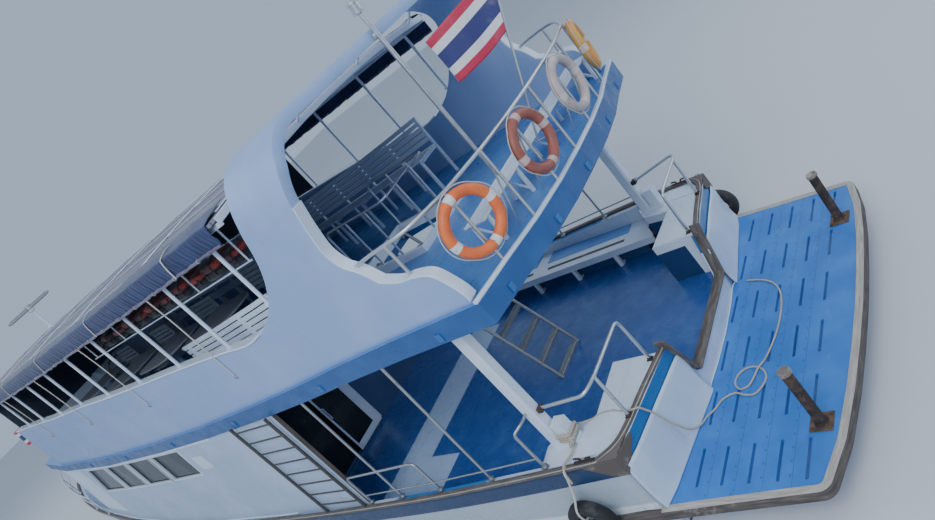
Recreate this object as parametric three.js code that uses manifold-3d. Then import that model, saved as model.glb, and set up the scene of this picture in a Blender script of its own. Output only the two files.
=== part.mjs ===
// Two-deck passenger ferry with an open stern deck, a stern arch and a slotted swim platform.
// Units are millimetres. +X is forward, +Y is port, +Z is up and z = 0 is the waterline.
// Lengths along the boat are measured from the platform's aft corners, and the whole
// group is then moved so that the origin is amidships on the centreline.
import * as THREE from "three";
import { mergeVertices } from "three/addons/utils/BufferGeometryUtils.js";
import Module from "manifold-3d";

const wasm = await Module();
wasm.setup();

// Driving dimensions
const AMIDSHIPS = 11400; // from the platform's aft corners to the origin
const GAP = 0.3; // between pieces that touch
const MAIN_DECK = 720; // height of the main deck and the cabin floor
const FOREDECK = 1250;
const PLATFORM_TOP = 510;
const ARCH_TOP = 5930;
const ARCH_RADIUS = 700; // outer radius of the arch's rounded corners
const ARCH_WALL = 130; // thickness of the upper side walls and the arch
const CABIN_AFT = 8100; // aft face of the cabin's bulkhead
const CABIN_FRONT = 17200;
const CABIN_WALL = 60;
const UPPER_RAIL = 900; // height of the upper deck's stern rail
const RAIL_RADIUS = 21;
const THIN_RADIUS = 14;

// Hull stations, from the transom to the stem. Columns: place of the rim along the boat,
// half-breadth and height at the rim, at the rubbing strake and at the bilge, half-breadth
// of the bottom's flat, height of the bottom, depth of the keel, and how far the section
// leans aft from its rim to its keel.
const HULL = [
  [1660, 2450, 1360, 2440, 470, 2280, -20, 1200, -120, -150, 0],
  [2720, 2530, 1320, 2545, 450, 2390, -130, 1250, -260, -290, 0],
  [2900, 2540, 1312, 2560, 447, 2400, -140, 1250, -280, -1050, 0],
  [4300, 2615, 1245, 2640, 410, 2460, -240, 1300, -450, -1080, 0],
  [6300, 2670, 1165, 2710, 365, 2510, -310, 1320, -580, -1100, 0],
  [8600, 2705, 1105, 2750, 335, 2530, -340, 1300, -640, -1100, 0],
  [11000, 2715, 1090, 2755, 325, 2510, -330, 1220, -640, -1080, 0],
  [13400, 2690, 1150, 2715, 360, 2400, -280, 1060, -620, -1050, 0],
  [15500, 2610, 1270, 2590, 440, 2170, -190, 860, -580, -1000, 100],
  [17300, 2480, 1430, 2390, 560, 1800, -80, 620, -520, -950, 350],
  [18900, 2290, 1610, 2080, 700, 1340, 50, 390, -430, -880, 700],
  [20300, 1960, 1810, 1610, 820, 860, 200, 220, -300, -760, 1100],
  [21500, 1440, 2010, 1050, 940, 470, 380, 140, -120, -560, 1500],
  [22400, 800, 2190, 520, 1060, 220, 600, 110, 150, -250, 1850],
  [23000, 130, 2320, 110, 1180, 100, 900, 95, 500, 200, 2150],
].map(([x, rim, rimZ, strake, strakeZ, bilge, bilgeZ, floor, floorZ, keelZ, rake]) => ({
  x, rim, rimZ, strake, strakeZ, bilge, bilgeZ, floor, floorZ, keelZ, rake,
}));
const KEEL_HALF = 90;
const BULWARK = 110; // thickness of the hull's side above the decks

// Upper deck. Columns: place along the boat, half-breadth, height of its top, fascia's depth.
const DECK = [
  [1200, 2300, 3550, 270],
  [1720, 2340, 3550, 270],
  [3000, 2450, 3545, 255],
  [4000, 2510, 3510, 250],
  [5000, 2560, 3450, 245],
  [6300, 2600, 3390, 235],
  [8000, 2640, 3340, 220],
  [10200, 2650, 3300, 200],
  [13200, 2600, 3290, 200],
  [16600, 2430, 3330, 200],
  [18600, 2200, 3380, 200],
].map(([x, half, top, fascia]) => ({ x, half, top, fascia }));
const FASCIA_WALL = 60;
const DECK_THICKNESS = 100;

// Straight-line value of one column of a table at a place along the boat.
function at(table, column, x) {
  const last = table.length - 1;
  let i = 0;
  while (i < last - 1 && table[i + 1].x < x) i += 1;
  const a = table[i];
  const b = table[i + 1];
  return a[column] + ((b[column] - a[column]) * (x - a.x)) / (b.x - a.x);
}
const rimHalf = (x) => at(HULL, "rim", x);
const rimZ = (x) => at(HULL, "rimZ", x);
const deckHalf = (x) => at(DECK, "half", x);
const deckTop = (x) => at(DECK, "top", x);
const deckUnder = (x) => deckTop(x) - DECK_THICKNESS;
const fasciaLow = (x) => deckTop(x) - at(DECK, "fascia", x);

// Places along the boat from start to end at which the hull or the upper deck bends.
function bends(start, end) {
  const inside = [...HULL, ...DECK].map((s) => s.x).filter((x) => x > start + 1 && x < end - 1);
  return [start, ...[...new Set(inside)].sort((a, b) => a - b), end];
}

// A closed three.js mesh as a solid, its shared corners merged and its faces turned outwards.
function solid(geometry) {
  const bare = geometry.index ? geometry.toNonIndexed() : geometry.clone();
  bare.deleteAttribute("normal");
  bare.deleteAttribute("uv");
  const merged = mergeVertices(bare, 1e-2);
  const place = merged.attributes.position.array;
  const index = merged.index.array;
  const corners = [];
  const [a, b, c] = [0, 0, 0].map(() => new THREE.Vector3());
  let volume = 0;
  for (let i = 0; i < index.length; i += 3) {
    const [p, q, r] = index.slice(i, i + 3);
    if (p === q || q === r || r === p) continue;
    corners.push(p, q, r);
    a.fromArray(place, 3 * p);
    b.fromArray(place, 3 * q);
    c.fromArray(place, 3 * r);
    volume += a.dot(b.cross(c));
  }
  if (volume < 0) corners.reverse();
  return new wasm.Manifold(
    new wasm.Mesh({ numProp: 3, vertProperties: place, triVerts: new Uint32Array(corners) }),
  );
}

function join(...solids) {
  return solids.reduce((sum, next) => sum.add(next));
}

function cut(body, ...tools) {
  return tools.reduce((rest, tool) => rest.subtract(tool), body);
}

// The solid between a row of like rings of points, its ends closed unless it is a loop.
function loft(rings, loop = false) {
  const n = rings[0].length;
  const index = [];
  const last = loop ? rings.length : rings.length - 1;
  for (let i = 0; i < last; i += 1) {
    const base = i * n;
    const next = ((i + 1) % rings.length) * n;
    for (let j = 0; j < n; j += 1) {
      const k = (j + 1) % n;
      index.push(base + j, next + j, next + k, base + j, next + k, base + k);
    }
  }
  if (!loop) {
    const shift = (rings.length - 1) * n;
    for (const [ring, offset, flip] of [[rings[0], 0, false], [rings.at(-1), shift, true]]) {
      for (const [p, q, r] of capFaces(ring)) {
        index.push(...(flip ? [r, q, p] : [p, q, r]).map((v) => v + offset));
      }
    }
  }
  const geometry = new THREE.BufferGeometry();
  geometry.setAttribute("position", new THREE.Float32BufferAttribute(rings.flat(2), 3));
  geometry.setIndex(index);
  return solid(geometry);
}

// Triangles that close one ring, wound as the ring runs when it is seen along its normal.
function capFaces(ring) {
  const normal = new THREE.Vector3();
  ring.forEach((p, i) => {
    const q = ring[(i + 1) % ring.length];
    normal.x += (p[1] - q[1]) * (p[2] + q[2]);
    normal.y += (p[2] - q[2]) * (p[0] + q[0]);
    normal.z += (p[0] - q[0]) * (p[1] + q[1]);
  });
  const size = normal.toArray().map(Math.abs);
  const drop = size.indexOf(Math.max(...size));
  const [u, v] = [[1, 2], [2, 0], [0, 1]][drop];
  const flat = ring.map((p) => new THREE.Vector2(p[u], p[v]));
  const faces = THREE.ShapeUtils.triangulateShape(flat, []);
  const turned = (f) => {
    const [a, b, c] = f.map((i) => flat[i]);
    return (b.x - a.x) * (c.y - a.y) - (b.y - a.y) * (c.x - a.x);
  };
  const ringTurn = THREE.ShapeUtils.area(flat);
  return faces.map((f) => (turned(f) * ringTurn < 0 ? [...f].reverse() : f));
}

const shapeOf = (points) => new THREE.Shape(points.map(([u, v]) => new THREE.Vector2(u, v)));

function extruded(points, depth) {
  return new THREE.ExtrudeGeometry(shapeOf(points), { depth, bevelEnabled: false });
}

// Upright solid on an outline of [x, y] points.
function upright(points, low, high) {
  return solid(extruded(points, high - low).translate(0, 0, low));
}

// Solid across the boat on a side-view outline of [x, z] points.
function across(points, starboard, port) {
  const geometry = extruded(points, port - starboard);
  return solid(geometry.rotateX(Math.PI / 2).translate(0, port, 0));
}

// Solid along the boat on an end-view outline of [y, z] points.
function along(points, aft, front) {
  const turn = new THREE.Matrix4().makeBasis(
    new THREE.Vector3(0, 1, 0),
    new THREE.Vector3(0, 0, 1),
    new THREE.Vector3(1, 0, 0),
  );
  return solid(extruded(points, front - aft).applyMatrix4(turn).translate(aft, 0, 0));
}

function box(x0, x1, y0, y1, z0, z1) {
  const geometry = new THREE.BoxGeometry(x1 - x0, y1 - y0, z1 - z0);
  return solid(geometry.translate((x0 + x1) / 2, (y0 + y1) / 2, (z0 + z1) / 2));
}

// Upright round bar.
function drum(x, y, low, high, radius, sides = 12) {
  const geometry = new THREE.CylinderGeometry(radius, radius, high - low, sides);
  return solid(geometry.rotateX(Math.PI / 2).translate(x, y, (low + high) / 2));
}

// A path through given points that reports exactly those points to the sweep.
class PointPath extends THREE.Curve {
  constructor(points) {
    super();
    this.points = points.map((p) => new THREE.Vector3(...p));
  }

  getPointAt(u, target = new THREE.Vector3()) {
    return target.copy(this.points[Math.round(u * (this.points.length - 1))]);
  }

  getTangentAt(u, target = new THREE.Vector3()) {
    const last = this.points.length - 1;
    const i = Math.round(u * last);
    const behind = this.points[Math.max(i - 1, 0)];
    const ahead = this.points[Math.min(i + 1, last)];
    const here = this.points[i];
    const arrive = new THREE.Vector3().subVectors(here, behind).normalize();
    const leave = new THREE.Vector3().subVectors(ahead, here).normalize();
    return target.addVectors(arrive, leave).normalize();
  }
}

// Corner points replaced by short arcs of three chords that start at the given distance.
function rounded(points, reach) {
  const route = [points[0]];
  for (let i = 1; i < points.length - 1; i += 1) {
    const corner = new THREE.Vector3(...points[i]);
    const [from, to] = [points[i - 1], points[i + 1]].map((p) => {
      const side = new THREE.Vector3(...p).sub(corner);
      return side.clone().setLength(Math.min(reach, side.length() * 0.45)).add(corner);
    });
    const bend = new THREE.QuadraticBezierCurve3(from, corner, to);
    route.push(...bend.getPoints(3).map((p) => p.toArray()));
  }
  route.push(points.at(-1));
  return route;
}

// Round tube along a polyline whose corners may be rounded.
function tube(points, radius, { reach = 0, sides = 6 } = {}) {
  const route = reach ? rounded(points, reach) : points;
  const ring = Array.from({ length: sides }, (_, i) => {
    const turn = (2 * Math.PI * (i + 0.5)) / sides;
    return [radius * Math.cos(turn), radius * Math.sin(turn)];
  });
  const options = { steps: route.length - 1, extrudePath: new PointPath(route) };
  return solid(new THREE.ExtrudeGeometry(shapeOf(ring), options));
}

// The same outline on the other side of the boat.
const mirrored = (points) => points.map(([x, y, ...rest]) => [x, -y, ...rest]);

const boat = new THREE.Group();
boat.position.x = -AMIDSHIPS;

// Adds one solid to the boat as a named mesh.
function add(name, body, { color, roughness = 0.5, metalness = 0 }) {
  const { vertProperties, triVerts, numProp } = body.getMesh();
  const geometry = new THREE.BufferGeometry();
  const places = new THREE.InterleavedBuffer(vertProperties, numProp);
  geometry.setAttribute("position", new THREE.InterleavedBufferAttribute(places, 3, 0));
  geometry.setIndex(new THREE.BufferAttribute(triVerts, 1));
  const flat = geometry.toNonIndexed();
  flat.computeVertexNormals();
  const material = new THREE.MeshStandardMaterial({ color, roughness, metalness });
  const mesh = new THREE.Mesh(flat, material);
  mesh.name = name;
  boat.add(mesh);
}

const FINISH = {
  white: { color: 0xdfe6ec, roughness: 0.5 },
  paleBlue: { color: 0xb4c6d9, roughness: 0.45 },
  deckBlue: { color: 0x2f6fc4, roughness: 0.55 },
  fasciaBlue: { color: 0x2563ad, roughness: 0.45 },
  navy: { color: 0x17305c, roughness: 0.5 },
  wood: { color: 0x6b5442, roughness: 0.85 },
  steel: { color: 0xa9adb2, roughness: 0.3, metalness: 0.9 },
  rusty: { color: 0x4f4640, roughness: 0.8, metalness: 0.4 },
  glass: { color: 0x1b232b, roughness: 0.1 },
  roof: { color: 0x9aa3ad, roughness: 0.6, metalness: 0.3 },
  tarp: { color: 0x24386b, roughness: 0.8 },
  orange: { color: 0xe8622c, roughness: 0.6 },
  rope: { color: 0xb9ab95, roughness: 0.95 },
  rubber: { color: 0x1c1d20, roughness: 0.85 },
  bronze: { color: 0xa07a3c, roughness: 0.4, metalness: 0.9 },
  flag: { color: 0xb8283c, roughness: 0.8 },
};

// Hull
const lean = (s, z) => s.x - (s.rake * (s.rimZ - z)) / (s.rimZ - s.keelZ);
const FOREDECK_STATIONS = HULL.filter((s) => s.x > CABIN_FRONT).slice(0, -1);
function hullRing(s, skin) {
  const garboard = s.floorZ + 0.35 * (s.bilgeZ - s.floorZ);
  const port = [
    [KEEL_HALF, s.keelZ],
    [KEEL_HALF, s.floorZ],
    [s.floor, garboard],
    [s.bilge, s.bilgeZ],
    [s.strake, s.strakeZ],
    [s.rim, s.rimZ],
  ].map(([y, z], i) => [
    lean(s, z) + (s === HULL.at(-1) ? skin : 0), y + skin, z + (i === 5 ? skin : 0),
  ]);
  return [...port, ...mirrored(port).reverse()];
}

// Plan of the well inside the bulwarks from one place along the boat to another.
function wellPlan(aft, front, skin) {
  const port = bends(aft, front).map((x) => [x, rimHalf(x) - BULWARK - skin]);
  return [...port, ...mirrored(port).reverse()];
}

// Transom seen from above: points on its outer face from the centreline to the quarter.
const TRANSOM = [[1370, 0], [1385, 500], [1430, 970], [1520, 1600], [1600, 2200], [1660, 2440]];
const TRANSOM_FOOT = 200;
const TRANSOM_WALL = 110;
const STEP = { sill: 770, half: 830, halfTop: 1050, top: 1500 };
const WELL_AFT = 1800;
const COUNTER_HALF = 2150;
const COUNTER_TOP = 449.7;
// Counter under the platform. Columns: place along the boat, height of its bottom.
const COUNTER = [[500, 180], [1100, 10], [1700, -115]];
const STOCK_X = 1500;
const SHAFT_Z = -700;
const RUDDER_TRUNK = { radius: 45, top: 60 };
const STERN_TUBE = { radius: 45, front: 3150 };
const BORE_SIDES = 24;

// Wells of the stern deck and of the main deck forward of it
function deckWells(skin, high) {
  const inner = TRANSOM.slice(0, -1).map(([x, y]) => [x + TRANSOM_WALL + skin, y]);
  const quarter = [WELL_AFT + 50, rimHalf(WELL_AFT) - BULWARK - skin];
  const corner = [1760 + skin, rimHalf(1700) - BULWARK - skin];
  const half = [...inner, corner, quarter];
  const low = MAIN_DECK + skin;
  return join(
    upright([...half, ...mirrored(half.slice(1)).reverse()], low, high),
    upright(wellPlan(WELL_AFT, CABIN_FRONT + CABIN_WALL, skin), low, high),
  );
}

function hullBody(skin) {
  const shell = loft(HULL.map((s) => hullRing(s, skin)));
  const outer = TRANSOM.map(([x, y]) => [x - skin, y]);
  outer.splice(-1, 1, [1660 - skin, 2440 + skin], [1800, 2450 + skin]);
  const back = [...outer, ...mirrored(outer.slice(1)).reverse()];
  const transom = upright(back, TRANSOM_FOOT, HULL[0].rimZ + skin);
  const counter = loft(COUNTER.map(([x, low]) => [
    [x, COUNTER_HALF, COUNTER_TOP],
    [x, COUNTER_HALF - 60, low],
    [x, -COUNTER_HALF + 60, low],
    [x, -COUNTER_HALF, COUNTER_TOP],
  ]));
  const foreStep = upright(
    wellPlan(CABIN_FRONT, FOREDECK_STATIONS[0].x, skin), FOREDECK + skin, ARCH_TOP,
  );
  const foreWell = loft(FOREDECK_STATIONS.map((s) => {
    const levels = [FOREDECK + skin, s.rimZ + 300].map((z) => {
      const share = (z - s.strakeZ) / (s.rimZ - s.strakeZ);
      return [lean(s, z), s.strake + share * (s.rim - s.strake) - BULWARK - skin, z];
    });
    return [...levels, ...mirrored(levels).reverse()];
  }));
  const doorway = along([
    [-STEP.half + skin, STEP.sill + skin],
    [STEP.half - skin, STEP.sill + skin],
    [STEP.halfTop - skin, STEP.top],
    [-STEP.halfTop + skin, STEP.top],
  ], 1200, 1700);
  return cut(
    join(shell, transom, counter),
    deckWells(skin, ARCH_TOP), foreStep, foreWell, doorway,
    drum(STOCK_X, 0, -400, RUDDER_TRUNK.top, RUDDER_TRUNK.radius - skin, BORE_SIDES),
    tube([[2800, 0, SHAFT_Z], [STERN_TUBE.front, 0, SHAFT_Z]], STERN_TUBE.radius - skin,
      { sides: BORE_SIDES }),
  );
}
const hull = hullBody(0);
const hullSeat = hullBody(GAP); // the hull with its running gap, cut from what rests on it
add("hull", hull, FINISH.white);

// Swim platform: a slotted panel behind the transom with an edge bowed aft
const PLATFORM_THICKNESS = 60;
const PLATFORM_EDGE = [[-200, 0], [-190, 600], [-165, 1200], [-110, 1800], [0, 2300], [1720, 2430]];
const SLOT = { length: 480, width: 34, rows: [165, 445, 735, 1025, 1305], count: 6, pitch: 790 };

function platformBody(skin) {
  const half = PLATFORM_EDGE.map(([x, y]) => [x - (x < 1000 ? skin : 0), y && y + skin]);
  const plan = [...half, ...mirrored(half.slice(1)).reverse()];
  return upright(plan, PLATFORM_TOP - PLATFORM_THICKNESS, PLATFORM_TOP);
}
const slots = SLOT.rows.flatMap((x) => Array.from({ length: SLOT.count }, (_, i) => {
  const y = (i - (SLOT.count - 1) / 2) * SLOT.pitch;
  return box(x - SLOT.width / 2, x + SLOT.width / 2, y - SLOT.length / 2,
    y + SLOT.length / 2, COUNTER_TOP, PLATFORM_TOP + 1);
}));
add("swim_platform", cut(platformBody(0), ...slots, hullSeat), FINISH.deckBlue);

// Rubbing strake: one belt round the platform, the hull's sides and the stem
const STRAKE = { out: 60, low: 75, high: 65 };
const strakePlace = (s) => [lean(s, s.strakeZ), s.strake, s.strakeZ];

// A belt along a loop of points seen from above, with a rectangular section.
function belt(route, out, inward, low, high) {
  return loft(route.map((p, i) => {
    const a = route[(i + route.length - 1) % route.length];
    const b = route[(i + 1) % route.length];
    const side = new THREE.Vector2(b[1] - a[1], a[0] - b[0]).normalize();
    const [x, y, z] = p;
    return [
      [x + side.x * out, y + side.y * out, z - low],
      [x + side.x * out, y + side.y * out, z + high],
      [x - side.x * inward, y - side.y * inward, z + high],
      [x - side.x * inward, y - side.y * inward, z - low],
    ];
  }), true);
}
const beltLevel = PLATFORM_TOP - STRAKE.high;
const beltPort = [
  ...PLATFORM_EDGE.slice(1, -1).map(([x, y]) => [x, y, beltLevel]),
  [1000, 2380, beltLevel],
  ...HULL.map(strakePlace),
];
const stem = strakePlace(HULL.at(-1));
const beltRoute = [
  [-200, 0, beltLevel],
  ...mirrored(beltPort),
  [stem[0] + 60, 0, stem[2]],
  ...[...beltPort].reverse(),
];
add("rubbing_strake", cut(
  belt(beltRoute, STRAKE.out, 30, STRAKE.low, STRAKE.high),
  hullSeat, platformBody(GAP),
), FINISH.wood);

// Gunwale cap along the rim, with a block in each quarter and the lining of the step opening
const CAP = { out: 35, inward: 55, thickness: 40 };
const capPort = [
  [1465, STEP.halfTop - 60, HULL[0].rimZ],
  [1570, 1600, HULL[0].rimZ],
  [1640, 2160, HULL[0].rimZ],
  [1860, 2455, HULL[0].rimZ - 7],
  ...bends(2720, 23000).map((x) => [x, rimHalf(x), rimZ(x)]),
];
const CORNER_BLOCK = [[1610, 2150], [1640, 2460], [1880, 2480], [1850, 2430], [1660, 2160]];
function cap(skin) {
  const [out, inward, low, high] = [
    CAP.out + skin, CAP.inward + skin, GAP - skin, CAP.thickness + skin,
  ];
  const rail = (points) => {
    const route = points.map((p, i) => {
      const a = points[Math.max(i - 1, 0)];
      const b = points[Math.min(i + 1, points.length - 1)];
      const side = new THREE.Vector2(a[1] - b[1], b[0] - a[0]).normalize();
      return [p, side];
    });
    return loft(route.map(([[x, y, z], side]) => [
      [x + side.x * out, y + side.y * out, z + low],
      [x + side.x * out, y + side.y * out, z + high],
      [x - side.x * inward, y - side.y * inward, z + high],
      [x - side.x * inward, y - side.y * inward, z + low],
    ]));
  };
  const lining = (grow) => [
    [-STEP.half + grow, STEP.sill + grow],
    [STEP.half - grow, STEP.sill + grow],
    [STEP.halfTop - grow, STEP.top],
    [-STEP.halfTop + grow, STEP.top],
  ];
  const frame = cut(
    along(lining(GAP), 1362, 1500),
    along(lining(28), 1300, 1600),
    box(1300, 1600, -1200, 1200, HULL[0].rimZ + CAP.thickness, STEP.top + 100),
  );
  const port = rail(capPort);
  const starboard = rail(mirrored(capPort).reverse());
  const blocks = [CORNER_BLOCK, mirrored(CORNER_BLOCK)].map((outline) => (
    upright(outline, HULL[0].rimZ + low, HULL[0].rimZ + high - 8)
  ));
  return join(port, starboard, frame, ...blocks);
}
add("gunwale_cap", cut(cap(0), hullSeat), FINISH.wood);
const capSeat = cap(GAP);

// Bollards: steel pipes with a cap and a bolted foot on the platform
const BOLLARD = { x: 70, y: 1580, height: 760, radius: 55, foot: 130, plate: 14 };
function bollard(side) {
  const { x, y, height, radius, foot, plate } = BOLLARD;
  const low = PLATFORM_TOP + GAP;
  return join(
    box(x - foot, x + foot, side * y - foot, side * y + foot, low, low + plate),
    drum(x, side * y, low, low + height, radius),
    drum(x, side * y, low + height - 30, low + height, radius + 12),
  );
}

// Stern deck lockers in the quarters
const LOCKER = [
  [1400, 1040], [2150, 1030], [2120, 1840], [2540, 1920], [2690, 2170], [2650, 2600], [1400, 2600],
];

// Square post from the locker to the upper deck, with a bitt standing beside its foot
const POST = {
  x: 2510, y: 2120, half: 80, corner: 24, bittX: 2318, bittHalf: 75, bittHeight: 330,
};
const octagon = (x, y, half, corner) => {
  const c = half - corner;
  return [
    [-c, -half], [c, -half], [half, -c], [half, c], [c, half], [-c, half], [-half, c], [-half, -c],
  ].map(([u, v]) => [x + u, y + v]);
};
function sternPost(side) {
  const { x, y, half, corner, bittX, bittHalf, bittHeight } = POST;
  const low = HULL[0].rimZ + GAP;
  const high = deckUnder(x) - GAP - 4;
  const middle = side * y;
  return join(
    upright(octagon(x, middle, half, corner), low, high),
    box(bittX - bittHalf - 20, x, middle - bittHalf, middle + bittHalf, low, low + 60),
    box(bittX - bittHalf, bittX + bittHalf, middle - bittHalf, middle + bittHalf,
      low, low + bittHeight),
    across([[x + half - 10, high - 260], [x + half + 180, high], [x + half - 10, high]],
      middle - half + corner, middle + half - corner),
  );
}

// Bent rail over a quarter locker, from the post to the step opening
const QUARTER_RAIL = { height: 670, fall: 140, reach: 90, foot: 6, footRadius: 32 };
function quarterRail(side) {
  const low = HULL[0].rimZ + GAP;
  const onCap = low + CAP.thickness;
  const top = low + QUARTER_RAIL.height;
  const route = [
    [POST.x - POST.half - 4, side * (POST.y - 30), top - QUARTER_RAIL.fall],
    [1690, side * 2160, top - 20],
    [1620, side * 1960, top],
    [1600, side * 1150, top],
    [1600, side * 1120, low + 5],
  ];
  const foot = (x, y, z) => drum(x, y, z, z + QUARTER_RAIL.foot, QUARTER_RAIL.footRadius, 8);
  return join(
    tube(route, RAIL_RADIUS, { reach: QUARTER_RAIL.reach }),
    tube([[1619, side * 1940, onCap], [1619, side * 1940, top]], RAIL_RADIUS),
    foot(1619, side * 1940, onCap),
    foot(1600, side * 1120, low),
  );
}

// Rails and tall stanchions on each gunwale of the stern deck. Columns: place along the boat
// and the height of the stanchion's head above the rim, where 0 reaches the upper deck. The
// short one is bent over to the square post.
const STANCHIONS = [[2620, 600], [3480, 0], [5250, 0]];
function sideRail(side) {
  const inside = (x) => side * (rimHalf(x) - CAP.inward - THIN_RADIUS - 6);
  const foot = (x) => rimZ(x) - 8;
  const uprights = STANCHIONS.map(([x, height]) => {
    const head = height
      ? [x, inside(x), foot(x) + height]
      : [x, side * (deckHalf(x) - FASCIA_WALL / 2), fasciaLow(x) - 5];
    return tube([[x, inside(x), foot(x)], head], RAIL_RADIUS - 3);
  });
  const low = [2620, 3480, 4430, 5250, 6000].map((x) => [x, inside(x), foot(x) + 190]);
  const hoop = [4430, 6000].map((x) => [x, inside(x), foot(x) + 590]);
  const feet = [4430, 6000].map((x) => [x, inside(x), foot(x)]);
  const [shortX, shortHeight] = STANCHIONS[0];
  const link = [
    [shortX, inside(shortX), foot(shortX) + shortHeight - 60],
    [shortX, inside(shortX), foot(shortX) + shortHeight],
    [POST.x + 24, side * (POST.y + POST.half + 110), foot(shortX) + shortHeight + 30],
    [POST.x + 24, side * (POST.y + POST.half + GAP), foot(shortX) + shortHeight + 30],
  ];
  return join(
    tube(link, RAIL_RADIUS - 3, { reach: 40 }),
    tube(low, THIN_RADIUS - 3),
    tube([feet[0], ...hoop, feet[1]], RAIL_RADIUS - 3, { reach: 90 }),
    ...uprights,
  );
}

// Side bench along the starboard bulwark, an open frame on short legs
const BENCH = { aft: 2800, front: 8000, inner: 1850, top: 1180, slab: 60, apron: 120, leg: 70 };
function sideBench() {
  const outer = (x) => -(rimHalf(x) - BULWARK - 2);
  const places = bends(BENCH.aft, BENCH.front);
  const outline = [
    ...places.map((x) => [x, outer(x)]),
    [BENCH.front, -BENCH.inner],
    [BENCH.aft, -BENCH.inner],
  ];
  const high = BENCH.top - 120;
  const legs = [3350, 4210, 5070, 5930, 6790, 7650].map((x) => box(
    x - BENCH.leg / 2, x + BENCH.leg / 2, -BENCH.inner - BENCH.leg, -BENCH.inner,
    MAIN_DECK + GAP, high,
  ));
  return join(
    upright(outline, high - BENCH.slab, high),
    box(BENCH.aft, BENCH.front, -BENCH.inner - 30, -BENCH.inner, high - BENCH.apron, high),
    ...legs,
  );
}
for (const [name, side] of [["port", 1], ["starboard", -1]]) {
  const plan = side > 0 ? LOCKER : mirrored(LOCKER);
  const locker = upright(plan, MAIN_DECK, HULL[0].rimZ).intersect(deckWells(GAP, ARCH_TOP));
  add(`bollard_${name}`, bollard(side), FINISH.rusty);
  add(`locker_${name}`, cut(locker, capSeat), FINISH.white);
  add(`stern_post_${name}`, sternPost(side), FINISH.white);
  add(`quarter_rail_${name}`, quarterRail(side), FINISH.steel);
  add(`side_rail_${name}`, cut(sideRail(side), hullSeat), FINISH.steel);
}
add("side_bench", cut(sideBench(), hullSeat), FINISH.white);

// Lower cabin: its side walls stand on the bulwarks, its ends on the decks
const WALL_FOOT = 60; // how far the side walls stand inside the rim
const WALL_HEAD = 15; // how far their heads stand inside the upper deck's edge
function wallHalf(x, z) {
  const foot = rimHalf(x) - WALL_FOOT;
  const head = deckHalf(x) - WALL_HEAD;
  return foot + ((head - foot) * (z - rimZ(x))) / (fasciaLow(x) - rimZ(x));
}
const WING_AFT = 6060; // the port wall goes on aft of the bulkhead, behind the stowed ladder
function cabinSide(side) {
  const places = bends(side > 0 ? WING_AFT : CABIN_AFT, CABIN_FRONT + CABIN_WALL);
  return loft(places.map((x) => {
    const levels = [rimZ(x) + GAP, fasciaLow(x) - GAP];
    const outer = levels.map((z) => [x, side * wallHalf(x, z), z]);
    const inner = levels.map((z) => [x, side * (wallHalf(x, z) - CABIN_WALL), z]);
    return [...outer, ...inner.reverse()];
  }));
}

// Side windows. Columns: lower edge's start and end, upper edge's start and end.
const PANES = [
  [9620, 10980, 9560, 10920],
  [11060, 12380, 11000, 12320],
  [12460, 13760, 12400, 13700],
  [13840, 15500, 13780, 15180],
];
const paneLow = (x) => 2390 - (x - 9600) * 0.014;
const PANE_HIGH = 3030;
const paneOutline = ([a, b, c, d], grow = 0) => [
  [a - grow, paneLow(a) - grow], [b + grow, paneLow(b) - grow],
  [d + grow, PANE_HIGH + grow], [c - grow, PANE_HIGH + grow],
];
const PANE_BACK = 40; // lap of the glass behind the wall
const GLASS = 8;
function sideGlass(side) {
  const start = PANES[0][2] - PANE_BACK;
  const end = PANES.at(-1)[1] + PANE_BACK;
  return loft(bends(start, end).map((x) => {
    const levels = [paneLow(x) - PANE_BACK, PANE_HIGH + PANE_BACK];
    const back = (z, depth) => [x, side * (wallHalf(x, z) - CABIN_WALL - depth), z];
    const outer = levels.map((z) => back(z, 1));
    const inner = levels.map((z) => back(z, 1 + GLASS));
    return [...outer, ...inner.reverse()];
  }));
}

// Aft bulkhead with its doorway, the sliding door and the front bulkhead with its windows
const DOORWAY = { starboard: 430, port: 1750, sill: 790, head: 2700 };
function bulkhead(aft, low) {
  const front = aft + CABIN_WALL;
  const head = Math.min(deckUnder(aft), deckUnder(front)) - GAP;
  const inner = (z) => Math.min(wallHalf(aft, z), wallHalf(front, z)) - CABIN_WALL - 1;
  const foot = Math.min(rimHalf(front) - BULWARK - 1, inner(rimZ(front)));
  const half = [
    [foot, low + GAP],
    [foot, rimZ(front)],
    [Math.min(foot, inner(fasciaLow(front))), fasciaLow(front)],
    [Math.min(foot, inner(fasciaLow(front))), head],
  ];
  return along([...half, ...half.map(([y, z]) => [-y, z]).reverse()], aft, front);
}
const FRONT_WINDOWS = [[-1950, -1150], [-1000, -50], [50, 1000], [1150, 1950]];
const FRONT_SILL = 2230;
const FRONT_HEAD = 3020;
for (const [name, side] of [["port", 1], ["starboard", -1]]) {
  const openings = PANES.map((p) => across(paneOutline(p), side > 0 ? 2000 : -3000,
    side > 0 ? 3000 : -2000));
  add(`cabin_side_${name}`, cut(cabinSide(side), ...openings), FINISH.white);
  add(`cabin_windows_${name}`, sideGlass(side), FINISH.glass);
}
const DOOR = { thickness: 36, lap: 30, stile: 90, travel: 620, track: 54, play: 0.5 };
add("cabin_bulkhead_aft", join(
  cut(
    bulkhead(CABIN_AFT, MAIN_DECK),
    box(8000, 8300, DOORWAY.starboard, DOORWAY.port, DOORWAY.sill, DOORWAY.head),
  ),
  box(CABIN_AFT - DOOR.track, CABIN_AFT + 10, DOORWAY.starboard - 60, DOORWAY.port + 60,
    MAIN_DECK + GAP, DOORWAY.sill - DOOR.lap - DOOR.play),
  box(CABIN_AFT - DOOR.track, CABIN_AFT + 10, DOORWAY.starboard - 60, DOORWAY.port + 60,
    DOORWAY.head + DOOR.lap + DOOR.play, DOORWAY.head + DOOR.lap + 60),
), FINISH.navy);
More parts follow.
